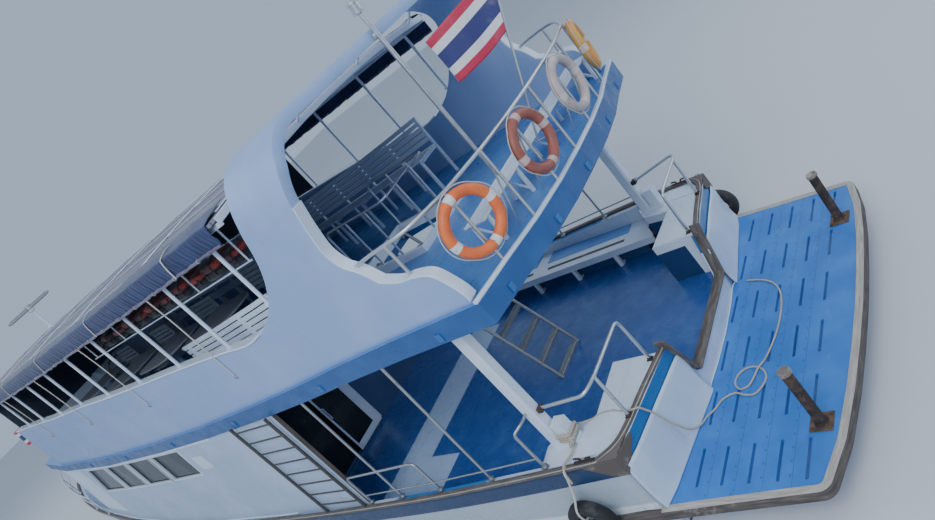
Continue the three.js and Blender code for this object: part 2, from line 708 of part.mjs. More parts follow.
add("cabin_bulkhead_front", cut(
  bulkhead(CABIN_FRONT, FOREDECK),
  ...FRONT_WINDOWS.map(([y0, y1]) => box(17000, 17500, y0, y1, FRONT_SILL, FRONT_HEAD)),
), FINISH.white);
const frontGlassX = CABIN_FRONT - GAP;
add("cabin_windows_front", box(
  frontGlassX - GLASS, frontGlassX, -1990, 1990, FRONT_SILL - PANE_BACK, FRONT_HEAD + PANE_BACK,
), FINISH.glass);

// Sliding door in front of a fixed pane, on a track along the bulkhead's after face
const doorX = CABIN_AFT - 8 - DOOR.thickness;
const doorPort = (DOORWAY.starboard + DOORWAY.port) / 2 + 30;
add("cabin_door", cut(
  box(doorX, doorX + DOOR.thickness, DOORWAY.starboard - DOOR.lap, doorPort,
    DOORWAY.sill - DOOR.lap, DOORWAY.head + DOOR.lap),
  box(doorX - 1, doorX + 12, DOORWAY.starboard - DOOR.lap + DOOR.stile, doorPort - DOOR.stile,
    DOORWAY.sill + DOOR.stile, DOORWAY.head - DOOR.stile),
), FINISH.glass);
add("cabin_side_light", box(
  CABIN_AFT + CABIN_WALL + GAP, CABIN_AFT + CABIN_WALL + GAP + GLASS, doorPort - 60,
  DOORWAY.port + PANE_BACK, DOORWAY.sill - PANE_BACK, DOORWAY.head + PANE_BACK,
), FINISH.glass);

// Cabin benches on floor battens
const SEAT = { depth: 420, height: 430, back: 900, thickness: 40 };
function cabinSeats() {
  const low = MAIN_DECK + GAP;
  const rows = [9400, 11000, 12600, 14200];
  const bench = (x, y0, y1) => join(
    box(x, x + SEAT.depth, y0, y1, MAIN_DECK + SEAT.height - 60, MAIN_DECK + SEAT.height),
    box(x, x + SEAT.thickness, y0, y1, low, MAIN_DECK + SEAT.back),
    box(x + SEAT.depth - 60, x + SEAT.depth, y0, y1, low, MAIN_DECK + SEAT.height),
  );
  const battens = [-1200, 1200].map((y) => box(9400, 14620, y - 30, y + 30, low, low + 40));
  return join(
    ...rows.flatMap((x) => [bench(x, -1900, -500), bench(x, 500, 1900)]),
    ...battens, box(14580, 14620, -1230, 1230, low, low + 40),
  );
}
add("cabin_seats", cabinSeats(), FINISH.wood);

// Stair from the main deck up to the stairwell
const STAIR = { foot: 3690, head: 4940, port: 380, starboard: -330, steps: 9 };
const WELL = { aft: 3660, front: 5000, starboard: -420, port: 640 };
function stair() {
  const top = deckTop(STAIR.head) + 40;
  const low = MAIN_DECK + GAP;
  const slope = (STAIR.head - 60 - STAIR.foot) / (top - low);
  const rail = (y) => tube([
    [STAIR.foot - 10, y, low - 20], [STAIR.head - 60, y, top], [STAIR.head + 20, y, top + 30],
    [STAIR.head + 20, y, top - 60],
  ], 24);
  const treads = Array.from({ length: STAIR.steps }, (_, i) => {
    const z = low + (i * (top - low)) / STAIR.steps + 30;
    const x = STAIR.foot + slope * (z - low);
    return box(x - 15, x + 75, STAIR.starboard, STAIR.port, z - 14, z + 14);
  });
  return join(rail(STAIR.port), rail(STAIR.starboard), ...treads);
}

// Boarding ladder stowed upright against the port side
const LADDER = { aft: 6110, front: 7150, rungs: 8, radius: 24, belowDeck: 215 };
function boardingLadder() {
  const out = (x) => rimHalf(x) - 14;
  const low = (x) => rimZ(x) + CAP.thickness - 6;
  const high = deckTop(LADDER.aft) - LADDER.belowDeck;
  const rails = [LADDER.aft, LADDER.front].map((x) => (
    tube([[x, out(x), low(x)], [x, out(x), high]], LADDER.radius, { sides: 8 })
  ));
  const foot = Math.max(low(LADDER.aft), low(LADDER.front));
  const rungs = Array.from({ length: LADDER.rungs }, (_, i) => {
    const z = foot + ((i + 0.6) * (high - foot)) / LADDER.rungs;
    return tube([[LADDER.aft, out(LADDER.aft), z], [LADDER.front, out(LADDER.front), z]], 12);
  });
  return join(...rails, ...rungs);
}

// Upper deck: a slab with a deep fascia round its edge, open below and cut for the stairwell
const DECK_EDGE = [[1360, 0], [1375, 590], [1440, 1160], [1580, 1760], [1690, 2340]];
const DECK_FRONT = 18600;
function deckPlan(inset) {
  const half = DECK_EDGE.map(([x, y]) => [x + inset, y]);
  const front = [DECK_FRONT - inset, 3000];
  const port = [...half, [1690 + inset, 3000], front];
  return [...port, ...mirrored(port.slice(1)).reverse()];
}
function deckLoft(inset, high, low) {
  return loft(bends(1210, DECK_FRONT + 20).map((x) => {
    const half = deckHalf(x) - inset;
    return [[x, half, fasciaLow(x) - low], [x, half, deckTop(x) + high],
      [x, -half, deckTop(x) + high], [x, -half, fasciaLow(x) - low]];
  }));
}
const stairHole = box(WELL.aft, WELL.front, WELL.starboard, WELL.port, 3000, 4000);
const upperDeck = cut(
  deckLoft(0, 0, 0).intersect(upright(deckPlan(0), 2800, 4000)),
  deckLoft(FASCIA_WALL, -DECK_THICKNESS, 50)
    .intersect(upright(deckPlan(FASCIA_WALL), 2700, 4000)),
  stairHole,
);

// Coaming round the stairwell and the bent guard rail on it, open at its forward end
function stairwellRail() {
  const { aft, front, starboard, port } = WELL;
  const base = deckTop(front) - 20;
  const top = 4370;
  const wall = 60;
  const frame = cut(
    box(aft - wall, front + wall, starboard - wall, port + wall, base - 60, deckTop(aft) + 90),
    box(aft, front, starboard, port, 3000, 4000),
  );
  const edge = wall / 2;
  const route = [
    [front - 60, port + edge, base + 60],
    [front - 60, port + edge, top],
    [aft - edge, port + edge, top],
    [aft - edge, starboard - edge, top],
    [front - 60, starboard - edge, top],
    [front - 60, starboard - edge, base + 60],
  ];
  const rail = (x, y) => tube([[x, y, base + 40], [x, y, top]], THIN_RADIUS + 2);
  return join(
    frame,
    tube(route, RAIL_RADIUS - 3, { reach: 110 }),
    rail(aft + 360, port + edge), rail(aft + 800, port + edge),
    rail(aft + 360, starboard - edge), rail(aft + 800, starboard - edge),
    rail(aft - edge, 300), rail(aft - edge, -80),
  );
}
const deckSeat = cut(deckLoft(GAP, GAP, GAP), stairHole);

add("stair", cut(stair(), hullSeat), FINISH.steel);
add("boarding_ladder", cut(boardingLadder(), deckLoft(-GAP, GAP, GAP), capSeat), FINISH.steel);
add("upper_deck", upperDeck, FINISH.deckBlue);
add("stairwell_rail", cut(stairwellRail(), deckSeat), FINISH.steel);

// Upper side walls and stern arch: one shell cut by a side-view outline
const WALL_INSET = 50; // how far the upper walls stand inside the upper deck's edge
const WALL_FRONT = 16700;
const ARCH_SPLIT = 5230;
const SILL = [
  [5000, 4205], [5570, 4245], [6870, 4320], [8190, 4370], [9630, 4420], [11000, 4480],
  [12600, 4500], [14400, 4545], [16000, 4560],
];
const PILLAR_FRONT = [
  [3550, 6100], [3470, 5600], [3500, 5400], [3600, 5150], [3780, 4850], [4080, 4560],
  [4500, 4330],
];
const PILLAR_AFT = [
  [1790, 3550], [1810, 3660], [1860, 3810], [1970, 3990], [2130, 4045], [2320, 4070],
  [2530, 4160], [2650, 4365], [2760, 4480], [2810, 4640], [2760, 4930], [2650, 5270],
  [2550, 5600], [2570, 6100],
];
const upperHalf = (x) => deckHalf(x) - WALL_INSET;
const sillZ = (x) => at([...PILLAR_FRONT.slice(3), ...SILL].map(([px, z]) => ({ x: px, z })), "z", x);

function upperShell(skin) {
  const arc = Array.from({ length: 7 }, (_, i) => (i * Math.PI) / 12);
  return loft(bends(PILLAR_AFT[0][0] - 20, WALL_FRONT + 20).map((x) => {
    const side = (radius) => [
      [x, upperHalf(x) - ARCH_RADIUS + radius, deckTop(x) + GAP],
      ...arc.map((turn) => [
        x,
        upperHalf(x) - ARCH_RADIUS + radius * Math.cos(turn),
        ARCH_TOP - ARCH_RADIUS + radius * Math.sin(turn),
      ]),
    ];
    const outer = side(ARCH_RADIUS + skin);
    const inner = side(ARCH_RADIUS - ARCH_WALL - skin);
    return [
      ...outer, ...mirrored(outer).reverse(), ...mirrored(inner), ...[...inner].reverse(),
    ];
  }));
}
function upperWalls(skin, shift = -skin) {
  const outline = [
    [1780, 3200], [16710, 3200], [WALL_FRONT, 3340], ...[...SILL].reverse(),
    ...[...PILLAR_FRONT].reverse(), ...[...PILLAR_AFT].reverse(),
  ].map(([x, z]) => [x + shift, z + skin]);
  return upperShell(skin).intersect(across(outline, -3000, 3000));
}
const walls = upperWalls(0);
const wallSeat = join(upperWalls(GAP), upperWalls(GAP, GAP));
for (const [name, side] of [["port", 1], ["starboard", -1]]) {
  const region = box(1000, 18000, side > 0 ? 0 : -3000, side > 0 ? 3000 : 0, 3000, ARCH_SPLIT);
  add(`side_wall_${name}`, walls.intersect(region), FINISH.paleBlue);
}
add("stern_arch", walls.intersect(box(1000, 18000, -3000, 3000, ARCH_SPLIT + GAP, 7000)),
  FINISH.paleBlue);

// Mast behind the arch's top, with its lamp
const MAST = { x: 2520, radius: 30, top: 6130, lamp: 75, lampHeight: 150 };
function mast() {
  const { x, radius, top, lamp, lampHeight } = MAST;
  return join(
    drum(x, 0, deckTop(x) + GAP, top, radius, 10),
    drum(x, 0, deckTop(x) + GAP, deckTop(x) + 8, 80, 10),
    box(x + radius - 12, x + radius + 60, -60, 60, ARCH_TOP - 120, ARCH_TOP - 60),
    drum(x, 0, top - 5, top + lampHeight, lamp),
  );
}
add("mast", cut(mast(), wallSeat), FINISH.steel);

// Canopy roof, cambered across, with the pedestal of the scanner near its front edge
const ROOF = { aft: 3750, front: 17000, eave: 5560, camber: 160, thickness: 40, over: 20 };
const SCANNER = { x: 16850, z: 6440, length: 1200, height: 90, depth: 110, pedestal: 40 };
const TURNS = [0, 0.25, 0.5, 0.75, 1];
const roofHalf = (x) => upperHalf(x) + ROOF.over;
const camber = TURNS.map((t) => ({ x: t, rise: ROOF.camber * (1 - t * t) }));
const roofUnder = (x, y) => ROOF.eave + at(camber, "rise", Math.abs(y) / roofHalf(x));
const roofTop = (x, y) => roofUnder(x, y) + ROOF.thickness;
const across9 = [...[...TURNS].reverse(), ...TURNS.slice(1).map((t) => -t)];
function roofPanel(skin) {
  return loft(bends(ROOF.aft - skin, ROOF.front + skin).map((x) => {
    const places = across9.map((t) => t * roofHalf(x));
    const low = places.map((y) => [x, y * (1 + skin / 2000), roofUnder(x, y) - skin]);
    const high = places.map((y) => [x, y * (1 + skin / 2000), roofTop(x, y) + skin]);
    return [...low, ...high.reverse()];
  }));
}
const roofSeat = roofPanel(GAP);
function roof() {
  const { x, z, height, pedestal } = SCANNER;
  const head = z - height / 2 - 5;
  return join(
    roofPanel(0),
    drum(x, 0, roofUnder(x, 0) + 10, head, pedestal),
    drum(x, 0, roofUnder(x, 0) + 10, roofTop(x, 0) + 12, 110),
    drum(x, 0, head - 60, head, 90),
  );
}
add("roof", roof(), FINISH.roof);

// Scanner bar that turns on the pedestal; it rests pointing at the given angle from ahead
const SCANNER_REST = THREE.MathUtils.degToRad(76);
function scanner() {
  const { x, z, length, height, depth } = SCANNER;
  const bar = new THREE.BoxGeometry(length, depth, height);
  return join(
    solid(bar.rotateZ(SCANNER_REST).translate(x, 0, z)),
    drum(x, 0, z - height / 2 - 4.6, z + height / 2 + 30, 80),
  );
}
add("radar_scanner", scanner(), FINISH.white);

// Roof frame: eave beams, rafters, posts on the sills, and struts from the arch
const FRAME = { inset: 65, beamLow: 5495, beamHigh: 5550, beamHalf: 25, post: 25, rafter: 20 };
const POSTS = [4200, ...Array.from({ length: 8 }, (_, i) => 5570 + 1400 * i)];
const FRONT_POST = 16850;
// Struts from the arch. Columns: place across the boat, height at the arch.
const STRUTS = [[-2050, 5790], [-700, 5865], [700, 5865], [2050, 5790]];
const RACK = { aft: 4250, front: 9900, inner: 1750, outer: 2180, z: 4985, hangers: [0, 1, 3, 4] };
function rafter(x, low, high) {
  const half = roofHalf(x) - ROOF.over - FRAME.inset;
  const places = [half, ...TURNS.slice(1, -1).reverse().map((t) => t * roofHalf(x)), 0];
  const all = [...places, ...places.slice(0, -1).reverse().map((y) => -y)];
  return loft(all.map((y) => [
    [x - FRAME.rafter, y, roofUnder(x, y) + low],
    [x + FRAME.rafter, y, roofUnder(x, y) + low],
    [x + FRAME.rafter, y, roofUnder(x, y) + high],
    [x - FRAME.rafter, y, roofUnder(x, y) + high],
  ]));
}
function roofFrame() {
  const { inset, beamLow, beamHigh, beamHalf, post } = FRAME;
  const edge = (x) => upperHalf(x) - inset;
  const eave = (side) => loft(bends(ROOF.aft - 40, ROOF.front - 30).map((x) => [
    [x, side * (edge(x) - beamHalf), beamLow],
    [x, side * (edge(x) - beamHalf), beamHigh],
    [x, side * (edge(x) + beamHalf), beamHigh],
    [x, side * (edge(x) + beamHalf), beamLow],
  ]));
  const uprights = (side) => [
    ...POSTS.map((x) => tube(
      [[x, side * edge(x), sillZ(x) - 30], [x, side * edge(x), beamLow + 20]], post,
    )),
    tube([
      [FRONT_POST, side * (edge(FRONT_POST) - 85), deckTop(FRONT_POST + post) + GAP],
      [FRONT_POST, side * (edge(FRONT_POST) - 85), beamLow + 20],
    ], post),
    box(FRONT_POST - post, FRONT_POST + post, side > 0 ? edge(FRONT_POST) - 110
      : -edge(FRONT_POST), side > 0 ? edge(FRONT_POST) : -edge(FRONT_POST) + 110,
    beamLow, beamHigh),
  ];
  const rafters = [...POSTS, FRONT_POST].map((x) => rafter(x, -70, 10));
  const aftBeam = rafter(ROOF.aft - 25, -50, ROOF.thickness);
  const struts = STRUTS.map(([y, z]) => tube(
    [[3490, y, z], [ROOF.aft - 28, y, roofUnder(ROOF.aft, y)]], 18,
  ));
  const rack = [RACK.inner, RACK.outer].flatMap((y) => [
    tube([[RACK.aft - 100, y, RACK.z], [RACK.front, y, RACK.z]], 12),
    ...RACK.hangers.map((i) => tube([[POSTS[i], y, RACK.z], [POSTS[i], y, 5605]], 12)),
  ]);
  return join(
    eave(1), eave(-1), ...uprights(1), ...uprights(-1), ...rafters, aftBeam, ...struts, ...rack,
  );
}
add("roof_frame", cut(roofFrame(), wallSeat, roofSeat), FINISH.steel);

// Row of life jackets stowed on the rack below the roof
const JACKETS = { aft: 4290, pitch: 490, size: 510, count: 11 };
function jackets() {
  const row = Array.from({ length: JACKETS.count }, (_, i) => {
    const x = JACKETS.aft + i * JACKETS.pitch;
    const [inset, tall] = i % 2 ? [0, 265] : [25, 220];
    return box(x, x + JACKETS.size, RACK.inner - 20 + inset, RACK.outer + 20 - inset,
      RACK.z + 6, RACK.z + tall);
  });
  const bars = [RACK.inner, RACK.outer].flatMap((y) => [
    tube([[RACK.aft - 110, y, RACK.z], [RACK.front + 10, y, RACK.z]], 12 + GAP),
    ...RACK.hangers.slice(1, -1).map((i) => (
      tube([[POSTS[i], y, RACK.z], [POSTS[i], y, 5605]], 12 + GAP)
    )),
  ]);
  return cut(join(...row), ...bars);
}
add("life_jackets", jackets(), FINISH.orange);

// Tarpaulins rolled over the eaves. Columns: side, height of the lower edge.
for (const [name, side, low] of [["port", 1, 5350], ["starboard", -1, 5300]]) {
  const cover = loft(bends(3800, 16950).map((x) => {
    const edge = roofHalf(x);
    return [
      [edge - 180, roofTop(x, edge - 180) - 3],
      [edge - 2, roofTop(x, edge) - 3],
      [edge - 2, roofTop(x, edge) - 30],
      [edge + 14, low],
      [edge + 40, low],
      [edge + 28, roofTop(x, edge) + 6],
      [edge + 4, roofTop(x, edge) + 28],
      [edge - 180, roofTop(x, edge - 180) + 26],
    ].map(([y, z]) => [x, side * y, z]);
  }));
  add(`tarp_${name}`, cut(cover, roofSeat), FINISH.tarp);
}

// Stern rail on the upper deck with its braces and the raked flagstaff
const RAIL_POSTS = [[1410, 0], [1430, 590], [1500, 1160], [1650, 1760]];
const RAIL_TOP = 3550 + UPPER_RAIL;
const STAFF = [[1744, 0, 3850], [900, 0, 5650]];
function sternRail(skin) {
  const radius = RAIL_RADIUS - 3 + skin;
  const port = [
    ...RAIL_POSTS.slice(1).map(([x, y]) => [x, y, RAIL_TOP]),
    [1950, 2190, RAIL_TOP],
    [2200, upperHalf(2200) - 65, RAIL_TOP],
    [2500, upperHalf(2500) - 65, RAIL_TOP - 20],
    [2780, upperHalf(2780) - 65, RAIL_TOP - 60],
  ];
  const route = [
    ...[...mirrored(port)].reverse(), [RAIL_POSTS[0][0], 0, RAIL_TOP], ...port,
  ];
  const posts = [...RAIL_POSTS, ...mirrored(RAIL_POSTS.slice(1))].map(([x, y]) => join(
    tube([[x, y, deckTop(x) + GAP], [x, y, RAIL_TOP]], radius),
    drum(x, y, deckTop(x) + GAP, deckTop(x) + 8, 48 + skin, 8),
  ));
  const braces = [[1430, 590], [1430, -590], [1500, 1160], [1500, -1160]].map(([x, y]) => (
    tube([[x, y, RAIL_TOP - 150], [x + 230, y, deckTop(x) + 6]], 11 + skin)
  ));
  const wallPosts = [1, -1].map((side) => {
    const y = side * (upperHalf(2200) - 65);
    return tube([[2200, y, 4000], [2200, y, RAIL_TOP]], radius);
  });
  const [foot] = STAFF;
  return join(
    tube(route, RAIL_RADIUS + skin, { reach: 120 }),
    ...posts, ...braces, ...wallPosts,
    tube(STAFF, THIN_RADIUS + skin),
    tube([[RAIL_POSTS[0][0], 0, foot[2]], foot], 11 + skin),
    tube([[RAIL_POSTS[0][0], 0, RAIL_TOP], [1470, 0, RAIL_TOP]], 11 + skin),
  );
}
add("stern_rail", cut(sternRail(0), wallSeat, deckLoft(GAP, GAP, GAP)), FINISH.steel);
const railSeat = sternRail(GAP);

// Lifebuoys hung on the rail's posts. Columns: name, post, side.
const BUOY = { ring: 300, section: 58, z: 4080 };
const BUOYS = [
  ["port_outer", 3, 1], ["port_inner", 1, 1], ["starboard_inner", 1, -1],
  ["starboard_outer", 3, -1],
];
for (const [name, post, side] of BUOYS) {
  const [x, y] = RAIL_POSTS[post];
  const turn = post === 3 ? 0.42 : 0.06;
  const out = RAIL_RADIUS - 3 + BUOY.section - 2;
  const ring = new THREE.TorusGeometry(BUOY.ring, BUOY.section, 8, 24);
  ring.rotateY(Math.PI / 2).rotateZ(-side * turn);
  ring.translate(x - out * Math.cos(turn), side * (y + out * Math.sin(turn)), BUOY.z);
  add(`lifebuoy_${name}`, cut(solid(ring), railSeat), FINISH.orange);
}

// Cloth between a hoist and a fly edge, waving to both sides
function cloth(hoist, fly, thickness, wave, steps = 14) {
  return loft(Array.from({ length: steps + 1 }, (_, i) => {
    const share = i / steps;
    const sway = wave * Math.sin(share * 2.6 * Math.PI) * Math.sqrt(share);
    const [low, high] = [0, 1].map((end) => hoist[end].map((v, axis) => (
      v + share * (fly[end][axis] - v) + (axis === 1 ? sway : 0)
    )));
    return [
      [low[0], low[1] - thickness / 2, low[2]], [low[0], low[1] + thickness / 2, low[2]],
      [high[0], high[1] + thickness / 2, high[2]], [high[0], high[1] - thickness / 2, high[2]],
    ];
  }));
}
const STERN_FLAG = {
  hoist: [[1196, 0, 5040], [928, 0, 5610]],
  fly: [[1960, 90, 4910], [1985, 90, 5460]],
};
add("stern_flag", cut(cloth(STERN_FLAG.hoist, STERN_FLAG.fly, 6, 55), railSeat), FINISH.flag);
const flagY = upperHalf(FRONT_POST) - FRAME.inset - 85;
const BOW_FLAG = {
  hoist: [[FRONT_POST + 24, flagY, 4150], [FRONT_POST + 24, flagY, 4600]],
  fly: [[FRONT_POST + 720, flagY + 40, 4100], [FRONT_POST + 720, flagY + 40, 4550]],
};
add("bow_flag", cut(cloth(BOW_FLAG.hoist, BOW_FLAG.fly, 6, 35),
  drum(FRONT_POST, flagY, 4000, 4700, FRAME.post + GAP)), FINISH.flag);

// Slatted bench behind the stern rail
const STERN_BENCH = { aft: 1790, starboard: -2050, port: 1450, seat: 3900, slat: 50, pitch: 64 };
function sternBench() {
  const { aft, starboard, port, seat, slat, pitch } = STERN_BENCH;
  const front = aft + 4 * pitch + slat;
  const slats = Array.from({ length: 5 }, (_, i) => box(
    aft + i * pitch, aft + i * pitch + slat, starboard, port, seat - 20, seat,
  ));
  const frames = [-1950, -1130, -300, 530, 1350].flatMap((y) => [
    box(aft, front, y - 20, y + 20, seat - 60, seat - 15),
    box(aft, aft + 40, y - 20, y + 20, deckTop(aft) + GAP, seat - 20),
    box(front - 40, front, y - 20, y + 20, deckTop(aft) + GAP, seat - 20),
  ]);
  return join(...slats, ...frames);
}
add("stern_bench", sternBench(), FINISH.white);

// Long slatted benches of the upper deck: one to starboard and a shorter one on the port wall
const UPPER_SEAT = { height: 580, back: 1060, pitch: 840 };
function deckStrip([aft, front], [y0, y1], [low, high]) {
  return loft(bends(aft, front).map((x) => [
    [x, y0, deckTop(x) + low], [x, y0, deckTop(x) + high],
    [x, y1, deckTop(x) + high], [x, y1, deckTop(x) + low],
  ]));
}
function deckBox([x0, x1], [y0, y1], high, low = GAP) {
  const floor = Math.max(deckTop(x0), deckTop(x1));
  return box(x0, x1, Math.min(y0, y1), Math.max(y0, y1), floor + low, floor + high);
}
function longBench(side, aft, front, inner, outer) {
  const { height, back, pitch } = UPPER_SEAT;
  const count = Math.floor((front - aft - 80) / pitch) + 1;
  const frames = Array.from({ length: count }, (_, i) => {
    const x = aft + 40 + i * pitch;
    const wide = [x - 20, x + 20];
    return join(
      deckBox(wide, [side * inner, side * (inner + 50)], height - 20),
      deckBox(wide, [side * outer, side * (outer + 50)], back),
      deckBox(wide, [side * inner, side * (outer + 50)], height - 20, height - 80),
    );
  });
  return join(
    deckStrip([aft, front], [side * (inner - 10), side * (outer + 5)], [height - 35, height]),
    deckStrip([aft, front], [side * (outer - 20), side * (outer + 5)], [height + 70, back]),
    ...frames,
  );
}

// Short benches with their backs towards the centreline, and round-ended tables beside them,
// all on one floor batten that a cross batten joins to the bench on the wall
const BOOTH = { aft: 7300, pitch: 2200, count: 4, bench: 900, backY: 180, frontY: 700, batten: 640 };
const TABLE_TOP = [
  [870, 300], [650, 520], [550, 800], [560, 1050], [700, 1280], [950, 1440], [2050, 1440],
  [2050, 300],
];
function booths() {
  const { aft, pitch, count, bench, backY, frontY, batten } = BOOTH;
  const units = Array.from({ length: count }, (_, i) => {
    const x = aft + i * pitch;
    const top = Math.max(deckTop(x), deckTop(x + 2050)) + 780;
    const ends = [x, x + bench - 40].flatMap((u) => [
      deckBox([u, u + 40], [backY, backY + 40], 1060),
      deckBox([u, u + 40], [frontY - 40, frontY], 430),
    ]);
    return join(
      ...ends,
      deckBox([x, x + bench], [backY, frontY], 450, 415),
      deckBox([x, x + bench], [backY, backY + 25], 1060, 640),
      deckBox([x + 1200, x + 1600], [batten, 1100], 50),
      box(x + 1340, x + 1460, 815, 935, deckTop(x + 1400) + 20, top - 10),
      upright(TABLE_TOP.map(([u, y]) => [x + u, y]), top - 35, top),
    );
  });
  const end = aft + (count - 1) * pitch + 1600;
  return join(
    ...units,
    deckStrip([7130, end], [batten, batten + 60], [GAP, 45]),
    deckBox([7130, 7190], [batten, 2180], 45),
  );
}
add("upper_seating_starboard", longBench(-1, 4550, 15600, 1250, 1750), FINISH.white);
add("upper_seating_port", join(longBench(1, 4550, 7300, 1640, 2130), booths()), FINISH.white);

// Low wall across the front of the upper deck and the helm console abaft it
const HELM = { aft: 16000, front: 16450, half: 420, height: 960, shaft: 18, wheelZ: 4080 };
const frontHalf = upperHalf(16550) - ARCH_WALL - 1;
add("upper_front_wall", cut(
  box(16500, 16550, -frontHalf, frontHalf, deckTop(16500) - 10, 4250),
  deckSeat,
), FINISH.white);
add("helm_console", cut(
  across([
    [HELM.aft, deckTop(HELM.front) + GAP], [HELM.front, deckTop(HELM.front) + GAP],
    [HELM.front, 4290], [HELM.aft + 180, 4290], [HELM.aft, 4180],
  ], -HELM.half, HELM.half),
  tube([[HELM.aft - 60, 0, HELM.wheelZ - 60], [HELM.aft + 160, 0, HELM.wheelZ - 60]],
    HELM.shaft, { sides: 16 }),
), FINISH.white);
function wheel() {
  const z = HELM.wheelZ - 60;
  const rim = new THREE.TorusGeometry(240, 16, 6, 20);
  const x = HELM.aft - 90;
  const spokes = [0, 1, 2].map((i) => {
    const turn = (i * 2 * Math.PI) / 3;
    return tube([[x, 0, z], [x, 240 * Math.sin(turn), z + 240 * Math.cos(turn)]], 11);
  });
  return join(
    solid(rim.rotateY(Math.PI / 2).translate(x, 0, z)),
    ...spokes,
    tube([[x - 20, 0, z], [x + 25, 0, z]], 45, { sides: 12 }),
    tube([[x, 0, z], [HELM.aft + 140, 0, z]], HELM.shaft - 0.8, { sides: 16 }),
  );
}
add("steering_wheel", wheel(), FINISH.wood);

// Rudder on its stock, and the propeller on its shaft
const RUDDER = { aft: 1080, front: 1690, low: -1010, top: -215, half: 26, stock: 44.3 };
add("rudder", join(
  upright([
    [RUDDER.aft, 0], [STOCK_X - 60, RUDDER.half], [STOCK_X + 90, RUDDER.half + 6],
    [RUDDER.front, 0], [STOCK_X + 90, -RUDDER.half - 6], [STOCK_X - 60, -RUDDER.half],
  ], RUDDER.low, RUDDER.top),
  drum(STOCK_X, 0, RUDDER.low + 60, RUDDER_TRUNK.top - 12, RUDDER.stock, BORE_SIDES),
), FINISH.rusty);

const PROPELLER = { x: 2330, radius: 330, hub: 70, blades: 4, shaft: 44.3 };
function propeller() {
  const { x, radius, hub, blades, shaft } = PROPELLER;
  const rod = tube([[x - 60, 0, SHAFT_Z], [STERN_TUBE.front - 12, 0, SHAFT_Z]], shaft,
    { sides: BORE_SIDES });
  const boss = tube([[x - 70, 0, SHAFT_Z], [x + 110, 0, SHAFT_Z]], hub, { sides: 12 });
  const cone = new THREE.CylinderGeometry(14, hub, 110, 12);
  const tip = solid(cone.rotateZ(Math.PI / 2).translate(x - 125, 0, SHAFT_Z));
  const sections = [[50, 26, 90, 62], [150, 20, 130, 44], [240, 13, 125, 32], [radius, 6, 50, 24]];
  const blade = (turn) => {
    const rings = sections.map(([r, thick, chord, pitch]) => {
      const angle = THREE.MathUtils.degToRad(pitch);
      const half = [[-chord, 0], [0, thick / 2], [chord, 0], [0, -thick / 2]];
      return half.map(([u, v]) => [
        u * Math.cos(Math.PI / 2 - angle) * 0.75 + v * Math.sin(angle) * 0.4,
        u * Math.sin(Math.PI / 2 - angle) + v * Math.cos(angle),
        r,
      ]);
    });
    const spin = new THREE.Matrix4().makeRotationX(turn);
    return loft(rings.map((ring) => ring.map((p) => {
      const v = new THREE.Vector3(...p).applyMatrix4(spin);
      return [v.x + x + 20, v.y, v.z + SHAFT_Z];
    })));
  };
  const all = Array.from({ length: blades }, (_, i) => blade((i * 2 * Math.PI) / blades));
  return join(rod, boss, tip, ...all);
}
add("propeller", propeller(), FINISH.bronze);

// Tyre fenders on the quarters, hung outside the rubbing strake. Columns: name, place along
// the boat, side, distance from the rim.
const TYRE = { ring: 210, section: 82, z: 680 };
for (const [name, x, side, off] of [["port", 2360, 1, 81], ["starboard", 1820, -1, 69]]) {
  const ring = new THREE.TorusGeometry(TYRE.ring, TYRE.section, 8, 22);
  ring.rotateX(Math.PI / 2).translate(x, side * (rimHalf(x) + TYRE.section + off), TYRE.z);
  add(`fender_${name}`, cut(solid(ring), hullSeat), FINISH.rubber);
}

// Rope turns on the port bitt and the loose line that runs from them to the platform
const LASHING = { low: 1440, high: 1540, thickness: 26 };
const bittAt = (grow) => [
  [POST.bittX - POST.bittHalf - grow, POST.bittX + POST.bittHalf + grow],
  [POST.y - POST.bittHalf - grow, POST.y + POST.bittHalf + grow],
];
function lashing() {
  const [[x0, x1], [y0, y1]] = bittAt(LASHING.thickness);
  const [[u0, u1], [v0, v1]] = bittAt(GAP);
  const c = 20;
  return cut(
    upright([
      [x0 + c, y0], [x1 - c, y0], [x1, y0 + c], [x1, y1 - c], [x1 - c, y1], [x0 + c, y1],
      [x0, y1 - c], [x0, y0 + c],
    ], LASHING.low, LASHING.high),
    box(u0, u1, v0, v1, 1300, 1800),
  );
}
add("bitt_lashing", lashing(), FINISH.rope);

const ROPE_RADIUS = 11;
const ROPE = [
  [2300, 2007, 1490], [2240, 1960, 1430], [2150, 1880, 1375], [2070, 1820, 1371.4],
  [1900, 1800, 1371.4], [1770, 1835, 1375], [1690, 1865, 1411.4], [1640, 1880, 1411.4],
  [1580, 1875, 1412], [1548, 1860, 1409], [1512, 1800, 1290], [1470, 1680, 900],
  [1420, 1540, 620], [1390, 1420, 540], [1360, 1320, 521.4], [1270, 1210, 521.4], [1200, 1090, 521.4],
  [1060, 1030, 521.4], [930, 1080, 521.4], [830, 1090, 521.4], [745, 990, 521.4], [720, 880, 521.4],
  [760, 770, 521.4], [860, 690, 521.4], [960, 680, 521.4], [1050, 740, 521.4], [1085, 830, 521.4],
  [1070, 920, 521.4], [1000, 985, 521.4], [920, 960, 521.4], [870, 880, 530], [818, 745, 548],
  [770, 610, 526], [720, 420, 521.4], [680, 200, 521.4], [665, -50, 521.4], [680, -320, 521.4],
  [740, -550, 521.4], [850, -710, 521.4], [1000, -810, 521.4], [1200, -880, 521.4],
];
add("mooring_rope", tube(ROPE, ROPE_RADIUS, { sides: 8 }), FINISH.rope);

